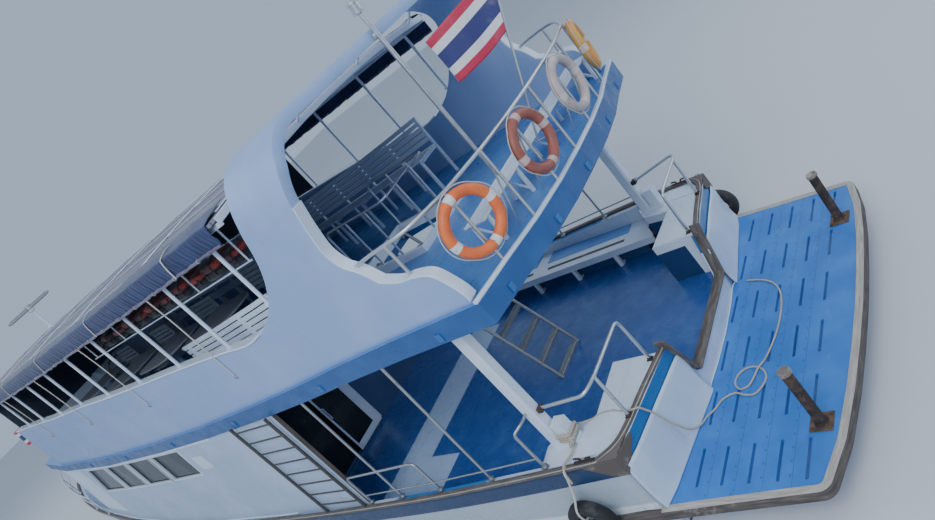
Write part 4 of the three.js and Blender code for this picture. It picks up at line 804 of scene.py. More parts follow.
@dataclass(frozen=True)
class Wood(Finish):
    """Bare timber with grain along the object's u, greyed and cracked."""

    colour: Colour = (0.20, 0.145, 0.105)
    second: Colour = (0.33, 0.27, 0.22)
    rough: float = 0.8
    along_uv: bool = True
    cracked: Colour = (0.06, 0.045, 0.035)
    bleached: Colour = (0.50, 0.47, 0.43)

    def shade(self, nodes: Nodes) -> None:
        """Draws the grain."""
        if self.along_uv:
            line = nodes.scaled(1.6, 9, 1, nodes.uv)
            fine = nodes.scaled(5, 120, 1, nodes.uv)
        else:
            line = nodes.scaled(14, 1.6, 14)
            fine = nodes.scaled(90, 4, 90)
        share = nodes.noise(2.2, 6, 0.6, line)
        colour = nodes.blend(nodes.fade(share, 0.35, 0.68), self.colour, self.second)
        crack = nodes.fade(nodes.noise(1.4, 5, 0.7, fine), 0.60, 0.72)
        colour = nodes.blend(nodes.times(crack, 0.7), colour, self.cracked)
        pale = nodes.clouds(3.0, 6, 0.60, 0.74, rough=0.7)
        colour = nodes.blend(nodes.times(pale, 0.45), colour, self.bleached)
        nodes.surface(Base_Color=colour, Roughness=self.rough)
        nodes.bump(nodes.calc("SUBTRACT", share, crack), 0.5, 0.003)


@dataclass(frozen=True)
class Steel(Finish):
    """Satin tube with faint stains."""

    colour: Colour = (0.60, 0.62, 0.64)
    rough: float = 0.28
    stain: float = 0.25
    stained: Colour = (0.22, 0.16, 0.11)

    def shade(self, nodes: Nodes) -> None:
        """Draws the metal."""
        stains = nodes.clouds(9, 6, 0.58, 0.72, 0.0, self.stain, rough=0.65)
        colour = nodes.blend(stains, self.colour, self.stained)
        nodes.surface(
            Base_Color=colour, Metallic=0.9,
            Roughness=nodes.clouds(16, 4, 0.3, 0.75, self.rough, self.rough + 0.22),
        )
        nodes.bump(nodes.noise(120, 3), 0.06, 0.0005)


@dataclass(frozen=True)
class Rust(Finish):
    """Rusted iron: brown scale with darker and orange patches."""

    colour: Colour = (0.085, 0.055, 0.042)
    second: Colour = (0.20, 0.11, 0.065)
    scale: Colour = (0.36, 0.33, 0.30)

    def shade(self, nodes: Nodes) -> None:
        """Draws the rust."""
        patches = nodes.noise(9, 8, 0.65)
        colour = nodes.blend(nodes.fade(patches, 0.42, 0.66), self.colour, self.second)
        spots = nodes.clouds(42, 6, 0.60, 0.70, rough=0.7)
        colour = nodes.blend(nodes.times(spots, 0.6), colour, self.scale)
        nodes.surface(Base_Color=colour, Metallic=0.15, Roughness=0.82)
        nodes.bump(patches, 0.6, 0.004)
        nodes.bump(nodes.noise(75, 5, 0.7), 0.5, 0.0015)


@dataclass(frozen=True)
class DarkGlass(Finish):
    """Tinted glass with a little dust."""

    colour: Colour = (0.012, 0.018, 0.024)
    dusty: Colour = (0.16, 0.18, 0.20)

    def shade(self, nodes: Nodes) -> None:
        """Draws the glass."""
        dust = nodes.clouds(3.0, 5, 0.5, 0.8, 0.0, 0.22, rough=0.6)
        nodes.surface(
            Base_Color=nodes.blend(dust, self.colour, self.dusty),
            Roughness=nodes.clouds(5, 4, 0.4, 0.8, 0.05, 0.22),
            Specular_IOR_Level=0.22, Coat_Weight=0.12, Coat_Roughness=0.05, Alpha=0.92,
        )


@dataclass(frozen=True)
class RoofBoards(Finish):
    """Grey boards along the boat with dark seams, from the object's own y."""

    pitch: float = 0.128
    lanes_off: int = 32
    colour: Colour = (0.15, 0.155, 0.21)
    second: Colour = (0.29, 0.29, 0.36)
    seam_colour: Colour = (0.07, 0.075, 0.10)
    stained: Colour = (0.20, 0.18, 0.15)

    def shade(self, nodes: Nodes) -> None:
        """Draws the boards."""
        _, y, _ = nodes.axes()
        lane = nodes.calc("DIVIDE", nodes.calc("ADD", y, self.lanes_off * self.pitch), self.pitch)
        seam = nodes.band(nodes.calc("FRACT", lane), 0.0, 0.09, 0.03)
        tone = nodes.add("ShaderNodeTexWhiteNoise", noise_dimensions="1D")
        nodes.tree.links.new(nodes.calc("FLOOR", lane), tone.inputs["W"])
        clouds = nodes.noise(1.4, 6, 0.6, nodes.scaled(0.5, 3, 1))
        share = nodes.calc("ADD", nodes.times(tone.outputs["Value"], 0.35),
                           nodes.fade(clouds, 0.35, 0.7, 0.0, 0.65))
        colour = nodes.blend(share, self.colour, self.second)
        colour = nodes.blend(nodes.times(seam, 0.75), colour, self.seam_colour)
        stain = nodes.clouds(2.6, 7, 0.6, 0.76, 0.0, 0.5, rough=0.65)
        colour = nodes.blend(stain, colour, self.stained)
        nodes.surface(Base_Color=colour, Roughness=0.6)
        nodes.bump(nodes.calc("SUBTRACT", 1.0, seam), 0.6, 0.006)


@dataclass(frozen=True)
class Cloth(Finish):
    """Woven cloth on the piece's own UV in metres."""

    colour: Colour = (0.03, 0.06, 0.19)
    second: Colour = (0.06, 0.10, 0.27)
    faded: Colour = (0.16, 0.22, 0.38)
    thread: float = 0.004
    sheen: float = 0.3
    rough: float = 0.7

    def tone(self, nodes: Nodes) -> Socket:
        """Cloudy cloth colour with faded patches."""
        colour = nodes.blend(nodes.clouds(2.4, 6, 0.35, 0.7), self.colour, self.second)
        worn = nodes.clouds(6, 7, 0.56, 0.76, 0.0, 0.5, rough=0.7)
        return nodes.blend(worn, colour, self.faded)

    def weave(self, nodes: Nodes) -> None:
        """Raises warp and weft."""
        u, v, _ = nodes.axes(nodes.uv)
        turn = 2 * math.pi / self.thread
        warp = nodes.calc("SINE", nodes.times(u, turn))
        weft = nodes.calc("SINE", nodes.times(v, turn))
        nodes.bump(nodes.times(warp, weft), 0.15, 0.0006)
        nodes.bump(nodes.noise(14, 6, 0.6), 0.35, 0.004)

    def shade(self, nodes: Nodes) -> None:
        """Draws the cloth."""
        nodes.surface(Base_Color=self.tone(nodes), Roughness=self.rough,
                      Sheen_Weight=self.sheen, Sheen_Roughness=0.4)
        self.weave(nodes)


@dataclass(frozen=True)
class FlagCloth(Cloth):
    """Five plain stripes across v: one sixth each, and two sixths in the middle."""

    red: Colour = (0.55, 0.035, 0.085)
    white: Colour = (0.74, 0.75, 0.78)
    blue: Colour = (0.045, 0.05, 0.18)
    soiled: Colour = (0.35, 0.33, 0.34)

    def tone(self, nodes: Nodes) -> Socket:
        """Stripes, a little soiled."""
        _, v, _ = nodes.axes(nodes.uv)
        share = nodes.calc("DIVIDE", v, FLAG_DROP)
        colour = nodes.blend(nodes.band(share, 1 / 6, 5 / 6, 0.004), self.red, self.white)
        colour = nodes.blend(nodes.band(share, 2 / 6, 4 / 6, 0.004), colour, self.blue)
        soil = nodes.clouds(5, 6, 0.5, 0.8, 0.0, 0.28, rough=0.65)
        return nodes.blend(soil, colour, self.soiled)


@dataclass(frozen=True)
class Rope(Finish):
    """Laid rope on its UV: u in metres along it, v once round it."""

    colour: Colour = (0.50, 0.45, 0.38)
    dark: Colour = (0.20, 0.17, 0.13)
    lay: float = 0.05
    strands: float = 3.0
    soiled: Colour = (0.34, 0.30, 0.24)

    def shade(self, nodes: Nodes) -> None:
        """Draws the strands: a saw of u over the lay plus v times the strands."""
        u, v, _ = nodes.axes(nodes.uv)
        turn = nodes.calc("ADD", nodes.calc("DIVIDE", u, self.lay),
                          nodes.times(v, self.strands))
        wave = nodes.calc("ABSOLUTE", nodes.calc("SINE", nodes.times(turn, math.pi)))
        colour = nodes.blend(nodes.fade(wave, 0.05, 0.6), self.dark, self.colour)
        soil = nodes.clouds(7, 6, 0.45, 0.75, 0.0, 0.5, rough=0.65)
        colour = nodes.blend(soil, colour, self.soiled)
        nodes.surface(Base_Color=colour, Roughness=0.92, Sheen_Weight=0.2)
        nodes.bump(wave, 0.8, 0.003)
        nodes.bump(nodes.noise(300, 3), 0.3, 0.0006)


@dataclass(frozen=True)
class BuoyFoam(Finish):
    """Buoy skin with pale bands; u is metres round the ring of 0.3 m radius."""

    colour: Colour = (0.80, 0.20, 0.05)
    second: Colour = (0.62, 0.13, 0.04)
    bands: float = 1.0
    pale: Colour = (0.68, 0.70, 0.70)
    scratched: Colour = (0.16, 0.09, 0.06)
    radius: float = 0.3

    def shade(self, nodes: Nodes) -> None:
        """Draws the skin and its four bands."""
        u, _, _ = nodes.axes(nodes.uv)
        laps = nodes.calc("DIVIDE", u, 2 * math.pi * self.radius)
        lap = nodes.calc("FRACT", nodes.calc("ADD", nodes.times(laps, 4.0), 0.42))
        colour = nodes.blend(nodes.clouds(6, 6, 0.35, 0.7, rough=0.6), self.colour, self.second)
        band = nodes.times(nodes.band(lap, 0.42, 0.58, 0.008), self.bands)
        colour = nodes.blend(band, colour, self.pale)
        marks = nodes.clouds(13, 7, 0.61, 0.70, 0.0, 0.75, rough=0.7)
        colour = nodes.blend(marks, colour, self.scratched)
        nodes.surface(Base_Color=colour, Roughness=0.55, Coat_Weight=0.1)
        nodes.bump(nodes.noise(28, 5), 0.25, 0.002)


@dataclass(frozen=True)
class Rubber(Finish):
    """Worn rubber, greyed on its high places."""

    colour: Colour = (0.018, 0.018, 0.02)
    second: Colour = (0.075, 0.075, 0.08)

    def shade(self, nodes: Nodes) -> None:
        """Draws the rubber."""
        pale = nodes.clouds(8, 7, 0.48, 0.75, rough=0.65)
        colour = nodes.blend(pale, self.colour, self.second)
        nodes.surface(Base_Color=colour, Roughness=0.68)
        nodes.bump(nodes.noise(45, 5), 0.4, 0.002)


@dataclass(frozen=True)
class Bronze(Finish):
    """Cast bronze with green and brown patches."""

    colour: Colour = (0.42, 0.29, 0.11)
    second: Colour = (0.16, 0.20, 0.13)

    def shade(self, nodes: Nodes) -> None:
        """Draws the bronze."""
        patch = nodes.clouds(8, 6, 0.45, 0.72, rough=0.6)
        colour = nodes.blend(patch, self.colour, self.second)
        nodes.surface(Base_Color=colour, Metallic=0.75, Roughness=0.42)
        nodes.bump(nodes.noise(60, 4), 0.25, 0.001)


@dataclass(frozen=True)
class PlatformPaint(Finish):
    """Bright blue panels, scuffed pale, with dark seams and screws between the slot rows."""

    colour: Colour = (0.03, 0.165, 0.52)
    second: Colour = (0.05, 0.215, 0.60)
    seams: tuple[float, ...] = (-11.095, -10.81, -10.52, -10.235)
    scuffed: Colour = (0.25, 0.40, 0.68)
    specked: Colour = (0.40, 0.46, 0.56)
    seam_colour: Colour = (0.015, 0.05, 0.14)
    screw_pitch: float = 0.16

    def shade(self, nodes: Nodes) -> None:
        """Draws the panels."""
        x, y, _ = nodes.axes()
        colour = nodes.blend(nodes.clouds(1.8, 6, 0.35, 0.7), self.colour, self.second)
        scuff = nodes.noise(2.4, 8, 0.7, nodes.scaled(2.5, 0.8, 1))
        colour = nodes.blend(nodes.fade(scuff, 0.58, 0.76, 0.0, 0.30), colour, self.scuffed)
        specks = nodes.clouds(55, 6, 0.66, 0.74, 0.0, 0.4, rough=0.7)
        colour = nodes.blend(specks, colour, self.specked)
        seam, dots = None, None
        lane = nodes.calc("FRACT", nodes.calc("DIVIDE", nodes.calc("ADD", y, 8.0),
                                                 self.screw_pitch))
        screw = nodes.band(lane, 0.42, 0.58, 0.03)
        for place in self.seams:
            line = nodes.band(x, place - 0.002, place + 0.002, 0.002)
            dot = nodes.times(nodes.band(x, place + 0.016, place + 0.032, 0.003), screw)
            seam = line if seam is None else nodes.calc("MAXIMUM", seam, line)
            dots = dot if dots is None else nodes.calc("MAXIMUM", dots, dot)
        mark = nodes.calc("MAXIMUM", nodes.times(seam, 0.7), nodes.times(dots, 0.5))
        colour = nodes.blend(mark, colour, self.seam_colour)
        nodes.surface(
            Base_Color=colour,
            Roughness=nodes.clouds(5, 5, 0.3, 0.75, 0.34, 0.6), Coat_Weight=0.1,
        )
        nodes.bump(nodes.calc("SUBTRACT", 1.0, mark), 0.4, 0.002)
        nodes.bump(nodes.noise(90, 3), 0.12, 0.0008)


@dataclass(frozen=True)
class DeckPaint(Finish):
    """Upper deck: blue top with a sheen, darker blue fascia, white ceiling."""

    top: Colour = (0.065, 0.215, 0.54)
    second: Colour = (0.095, 0.27, 0.60)
    fascia: Colour = (0.010, 0.085, 0.28)
    ceiling: Colour = (0.60, 0.65, 0.70)
    worn: Colour = (0.28, 0.38, 0.52)
    fascia_second: Colour = (0.018, 0.105, 0.32)
    streaked: Colour = (0.03, 0.07, 0.15)

    def shade(self, nodes: Nodes) -> None:
        """Draws the three by the way each face looks."""
        way = nodes.axes(nodes.add("ShaderNodeNewGeometry").outputs["True Normal"])[2]
        colour = nodes.blend(nodes.clouds(1.5, 7, 0.35, 0.7, rough=0.6), self.top, self.second)
        worn = nodes.clouds(4, 8, 0.57, 0.75, 0.0, 0.5, rough=0.7)
        colour = nodes.blend(worn, colour, self.worn)
        side = nodes.blend(nodes.clouds(3, 5, 0.4, 0.7), self.fascia, self.fascia_second)
        runs = nodes.fade(nodes.noise(1.0, 5, 0.6, nodes.scaled(8, 8, 1)), 0.55, 0.8, 0.0, 0.4)
        side = nodes.blend(runs, side, self.streaked)
        colour = nodes.blend(nodes.fade(way, 0.5, 0.7), side, colour)
        colour = nodes.blend(nodes.fade(way, -0.7, -0.5, 1.0, 0.0), colour, self.ceiling)
        nodes.surface(
            Base_Color=colour,
            Roughness=nodes.clouds(5, 5, 0.3, 0.75, 0.26, 0.5), Coat_Weight=0.2,
            Coat_Roughness=0.2,
        )
        nodes.bump(nodes.noise(70, 3), 0.10, 0.0008)


# Pieces


def make_piece(
    name: str, shape: Shape, finish: Finish, slot: str, *nodes: str,
    body: Body = Body.HULL, wall: float = 0.0, inward: float = 1.0, bevel: float = 0.0,
    closed: bool = True, weld: bool = False, sharp: float = 40.0,
) -> bpy.types.Object:
    """Puts a shape into the scene as a piece that rides on a body.

    Args:
        name: Name of the piece.
        shape: Its surface, in places along the boat.
        finish: Finish of the whole piece.
        slot: Material slot of the record that the finish stands for; not used.
        nodes: CAD nodes that the piece replaces.
        body: Body that it rides on.
        wall: Thickness given to an open surface.
        inward: 1 if the thickness grows against the normals, 0 if half to each side, and
            -1 if along them.
        bevel: Width of rounding on the edges of a thickened surface.
        closed: Whether the shape is closed, so that its normals can be turned outwards.
        weld: Whether corners at one place become one.
        sharp: Angle in degrees from which an edge stays sharp.

    Returns:
        The new object.
    """
    mesh = bpy.data.meshes.new(name)
    points = (shape.points - np.array([AMIDSHIPS, 0, 0])).astype(np.float32)
    loops = np.concatenate([index.ravel() for index, _ in shape.faces]).astype(np.int32)
    sizes = np.concatenate([np.full(len(i), i.shape[1]) for i, _ in shape.faces])
    starts = np.concatenate([[0], np.cumsum(sizes)[:-1]]).astype(np.int32)
    mesh.vertices.add(len(points))
    mesh.vertices.foreach_set("co", points.ravel())
    mesh.loops.add(len(loops))
    mesh.loops.foreach_set("vertex_index", loops)
    mesh.polygons.add(len(sizes))
    mesh.polygons.foreach_set("loop_start", starts)
    mesh.update(calc_edges=True)
    layer = mesh.uv_layers.new(name="place")
    uvs = np.concatenate([uv.reshape(-1, 2) for _, uv in shape.faces]).astype(np.float32)
    layer.data.foreach_set("uv", uvs.ravel())
    if closed or weld:
        work = bmesh.new()
        work.from_mesh(mesh)
        if weld:
            bmesh.ops.remove_doubles(work, verts=work.verts, dist=WELD_REACH)
        if closed:
            bmesh.ops.recalc_face_normals(work, faces=work.faces)
        work.to_mesh(mesh)
        work.free()
    mesh.validate()
    mesh.polygons.foreach_set("use_smooth", np.ones(len(mesh.polygons), dtype=bool))
    mesh.set_sharp_from_angle(angle=math.radians(sharp))
    mesh.materials.append(finish.material())
    piece = bpy.data.objects.new(name, mesh)
    bpy.context.scene.collection.objects.link(piece)
    if wall:
        thick = piece.modifiers.new("wall", "SOLIDIFY")
        thick.thickness, thick.offset = wall, -inward
    if bevel:
        soft = piece.modifiers.new("edges", "BEVEL")
        soft.width, soft.segments, soft.limit_method = bevel, 2, "ANGLE"
        soft.angle_limit = math.radians(BEVEL_ANGLE)
    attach(piece, body.value)
    if nodes:
        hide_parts(*nodes)
    LOG.info("%s: %d faces", name, len(mesh.polygons))
    return piece


def dress(finish: Finish, *nodes: str) -> None:
    """Gives CAD nodes that stay in view a finish.

    Args:
        finish: Finish of the nodes.
        nodes: Their names.
    """
    for name in nodes:
        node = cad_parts[name]
        if not node.material_slots:
            node.data.materials.append(finish.material())
        for place in node.material_slots:
            place.material = finish.material()
        LOG.info("%s: %s", name, finish.name)


def two(name: str) -> tuple[str, str]:
    """The port and the starboard node of one name."""
    return name + "_port", name + "_starboard"


# Lines of the boat

# Hull: place of the rim, then half-breadth and height at rim, strake, bilge and bottom, height of
# the keel, and how far the section leans aft down to its keel.
HULL = np.array([
    [1.66, 2.45, 1.36, 2.44, 0.47, 2.28, -0.02, 1.2, -0.12, -0.15, 0],
    [2.9, 2.54, 1.312, 2.56, 0.447, 2.4, -0.14, 1.25, -0.28, -1.05, 0],
    [4.3, 2.615, 1.245, 2.64, 0.41, 2.46, -0.24, 1.3, -0.45, -1.08, 0],
    [6.3, 2.67, 1.165, 2.71, 0.365, 2.51, -0.31, 1.32, -0.58, -1.1, 0],
    [8.6, 2.705, 1.105, 2.75, 0.335, 2.53, -0.34, 1.3, -0.64, -1.1, 0],
    [11.0, 2.715, 1.09, 2.755, 0.325, 2.51, -0.33, 1.22, -0.64, -1.08, 0],
    [13.4, 2.69, 1.15, 2.715, 0.36, 2.4, -0.28, 1.06, -0.62, -1.05, 0],
    [15.5, 2.61, 1.27, 2.59, 0.44, 2.17, -0.19, 0.86, -0.58, -1.0, 0.1],
    [17.3, 2.48, 1.43, 2.39, 0.56, 1.8, -0.08, 0.62, -0.52, -0.95, 0.35],
    [18.9, 2.29, 1.61, 2.08, 0.7, 1.34, 0.05, 0.39, -0.43, -0.88, 0.7],
    [20.3, 1.96, 1.81, 1.61, 0.82, 0.86, 0.2, 0.22, -0.3, -0.76, 1.1],
    [21.5, 1.44, 2.01, 1.05, 0.94, 0.47, 0.38, 0.14, -0.12, -0.56, 1.5],
    [22.4, 0.8, 2.19, 0.52, 1.06, 0.22, 0.6, 0.11, 0.15, -0.25, 1.85],
    [23.0, 0.13, 2.32, 0.11, 1.18, 0.1, 0.9, 0.095, 0.5, 0.2, 2.15],
])
# Place, half-breadth, height of the upper deck's top, depth of its fascia.
DECK = np.array([
    [1.2, 2.3, 3.55, 0.27], [1.72, 2.34, 3.55, 0.27], [3.0, 2.45, 3.545, 0.255],
    [4.0, 2.51, 3.51, 0.25], [5.0, 2.56, 3.45, 0.245], [6.3, 2.6, 3.39, 0.235],
    [8.0, 2.64, 3.34, 0.22], [10.2, 2.65, 3.3, 0.2], [13.2, 2.6, 3.29, 0.2],
    [16.6, 2.43, 3.33, 0.2], [18.6, 2.2, 3.38, 0.2],
])
DECK_EDGE = [[1.36, 0], [1.375, 0.59], [1.44, 1.16], [1.58, 1.76], [1.69, 2.34]]
TRANSOM = np.array([
    [1.37, 0], [1.385, 0.5], [1.43, 0.97], [1.52, 1.6], [1.6, 2.2], [1.66, 2.44],
])
RAIL_POSTS = np.array([[1.41, 0], [1.43, 0.59], [1.5, 1.16], [1.65, 1.76]])
MAIN_DECK, PLATFORM, LOCKER_TOP = 0.72, 0.51, 1.3603
ARCH_TOP, ARCH_RADIUS, ARCH_WALL = 5.93, 0.7, 0.13
SILL = np.array([
    [4.08, 4.56], [4.5, 4.33], [5.0, 4.205], [5.57, 4.245], [6.87, 4.32], [8.19, 4.37],
    [9.63, 4.42], [11.0, 4.48], [12.6, 4.5], [14.4, 4.545], [16.0, 4.56],
])
POSTS = np.array([4.2, *(5.57 + 1.4 * i for i in range(8))])
EAVE, CAMBER, ROOF_THICKNESS = 5.56, 0.16, 0.04
ROPE_RADIUS = 0.0125
FLAG_DROP = 0.63
RAIL_IN = 0.065


def rim(x: Array) -> Array:
    """Half-breadth of the rim."""
    return np.interp(x, HULL[:, 0], HULL[:, 1])


def rim_z(x: Array) -> Array:
    """Height of the rim."""
    return np.interp(x, HULL[:, 0], HULL[:, 2])


def deck_half(x: Array) -> Array:
    """Half-breadth of the upper deck."""
    return np.interp(x, DECK[:, 0], DECK[:, 1])


def deck_top(x: Array) -> Array:
    """Height of the upper deck."""
    return np.interp(x, DECK[:, 0], DECK[:, 2])


def fascia_low(x: Array) -> Array:
    """Height of the fascia's lower edge."""
    return deck_top(x) - np.interp(x, DECK[:, 0], DECK[:, 3])


def upper_half(x: Array) -> Array:
    """Half-breadth of the upper side walls."""
    return deck_half(x) - 0.05


def roof_under(x: Array, y: Array) -> Array:
    """Height of the roof's underside: the eave plus a parabola across the boat."""
    share = np.abs(y) / (upper_half(x) + 0.02)
    return EAVE + CAMBER * np.interp(share, [0, 0.25, 0.5, 0.75, 1], [1, 0.9375, 0.75, 0.4375, 0])


def wall_half(x: Array, z: Array) -> Array:
    """Half-breadth of the cabin's side wall at a height."""
    foot, head = rim(x) - 0.06, deck_half(x) - 0.015
    return foot + (head - foot) * (z - rim_z(x)) / (fascia_low(x) - rim_z(x))


def place_list(xs: Array, ys: Array, zs: Array) -> Array:
    """Points from their three coordinates, single numbers spread over all of them."""
    xs, ys, zs = np.broadcast_arrays(np.asarray(xs, float), ys, zs)
    return np.stack([xs, ys, zs], axis=-1)


def starboard(port: Array) -> Array:
    """A port path mirrored and run backwards, so that it joins the port one."""
    return (port * MIRROR)[::-1]


# Finishes in use

WHITE = Paint("white_paint", (0.66, 0.74, 0.84), (0.58, 0.67, 0.79), dirt=0.22, worn=0.12)
RIB_WHITE = Paint("cabin_white", (0.43, 0.54, 0.70), (0.37, 0.48, 0.65), dirt=0.30)
PALE_BLUE = Paint("pale_blue_paint", (0.27, 0.39, 0.65), (0.31, 0.43, 0.68), dirt=0.18)
NAVY = Paint("navy_paint", (0.02, 0.06, 0.17), (0.035, 0.085, 0.21), (0.10, 0.11, 0.13))
FASCIA_BLUE = Paint("fascia_blue", (0.018, 0.125, 0.38), (0.03, 0.155, 0.42),
                    (0.03, 0.06, 0.15))
TABLE_GREY = Paint("table_grey", (0.33, 0.36, 0.40), (0.42, 0.45, 0.49), dirt=0.2)
TRANSOM_WHITE = Paint("transom_white", (0.60, 0.71, 0.84), (0.51, 0.62, 0.77), dirt=0.4,
                      worn=0.2)
BROWN_WOOD = Wood("weathered_wood", (0.08, 0.068, 0.062), (0.185, 0.16, 0.145))
DECK_WOOD = Wood("varnished_wood", (0.26, 0.13, 0.06), (0.36, 0.20, 0.10), 0.45, False)
PALE_WOOD = Wood("bleached_wood", (0.34, 0.31, 0.27), (0.50, 0.47, 0.42))
DARK_WOOD = Wood("dark_wood", (0.065, 0.055, 0.052), (0.15, 0.125, 0.11))
BENCH_BLUE = Paint("bench_blue", (0.11, 0.26, 0.62), (0.15, 0.31, 0.66), (0.10, 0.14, 0.25))
IRON = Rust("bollard_iron", (0.035, 0.027, 0.025), (0.10, 0.065, 0.05))
PALE_IRON = Rust("worn_iron", (0.20, 0.17, 0.15), (0.42, 0.38, 0.34))
TUBE_STEEL = Steel("stainless_steel")
RAIL_STEEL = Steel("rail_steel", (0.42, 0.44, 0.46), 0.33, 0.4)
OLD_STEEL = Steel("old_steel", (0.13, 0.12, 0.115), 0.5, 0.6)
DULL_STEEL = Steel("dull_steel", (0.36, 0.37, 0.38), 0.42, 0.5)
RUST = Rust("rusty_steel")
GLASS = DarkGlass("dark_glass")
ROOF_BOARDS = RoofBoards("roof_boards")
NAVY_CLOTH = Cloth("navy_tarpaulin", (0.010, 0.022, 0.085), (0.022, 0.04, 0.13),
                   (0.06, 0.09, 0.20))
GREY_CLOTH = Cloth("grey_tarpaulin", (0.10, 0.09, 0.15), (0.17, 0.16, 0.23), (0.27, 0.27, 0.34))
VEST = Cloth("vest_cloth", (0.015, 0.015, 0.02), (0.42, 0.045, 0.03), (0.06, 0.06, 0.07),
             sheen=0.2)
CURTAIN = Cloth("dark_curtain", (0.022, 0.032, 0.055), (0.04, 0.052, 0.08),
                (0.09, 0.11, 0.15))
VEST_BLACK = Cloth("vest_black", (0.012, 0.012, 0.014), (0.03, 0.03, 0.034), (0.07, 0.07, 0.08))
FLAG = FlagCloth("flag_cloth")
PALE_ROPE = Rope("pale_rope", (0.62, 0.60, 0.55), (0.30, 0.28, 0.24), 0.03)
GREY_ROPE = Rope("rope_fibre")
RUBBER = Rubber("black_rubber")
BRONZE = Bronze("bronze")


# Sub-assemblies


@dataclass
class MooringLine:
    """Loose line from the port bitt over the transom and across the platform."""

    radius: float = 0.011
    route: tuple[tuple[float, float, float], ...] = (
        (2.3, 2.007, 1.49), (2.24, 1.96, 1.43), (2.15, 1.88, 1.375), (2.07, 1.82, 1.3714),
        (1.9, 1.8, 1.3714), (1.77, 1.835, 1.375), (1.69, 1.865, 1.4114), (1.64, 1.88, 1.4114),
        (1.58, 1.875, 1.412), (1.548, 1.86, 1.409), (1.512, 1.8, 1.29), (1.47, 1.68, 0.9),
        (1.42, 1.54, 0.62), (1.39, 1.42, 0.54), (1.36, 1.32, 0.5214), (1.27, 1.21, 0.5214),
        (1.2, 1.09, 0.5214), (1.06, 1.03, 0.5214), (0.93, 1.08, 0.5214), (0.83, 1.09, 0.5214),
        (0.745, 0.99, 0.5214), (0.72, 0.88, 0.5214), (0.76, 0.77, 0.5214), (0.86, 0.69, 0.5214),
        (0.96, 0.68, 0.5214), (1.05, 0.74, 0.5214), (1.085, 0.83, 0.5214), (1.07, 0.92, 0.5214),
        (1.0, 0.985, 0.5214), (0.92, 0.96, 0.5214), (0.87, 0.88, 0.53), (0.818, 0.745, 0.548),
        (0.77, 0.61, 0.526), (0.72, 0.42, 0.5214), (0.68, 0.2, 0.5214), (0.665, -0.05, 0.5214),
        (0.68, -0.32, 0.5214), (0.74, -0.55, 0.5214), (0.85, -0.71, 0.5214), (1.0, -0.81, 0.5214),
        (1.2, -0.88, 0.5214),
    )

    def build(self) -> None:
        path = along_curve(self.route, 320)
        shape = sweep(path, circle(self.radius, 12), up=(0.02, 0.01, 1.0))
        piece = make_piece("mooring_line", shape, GREY_ROPE, "rope_fibre", "mooring_rope")


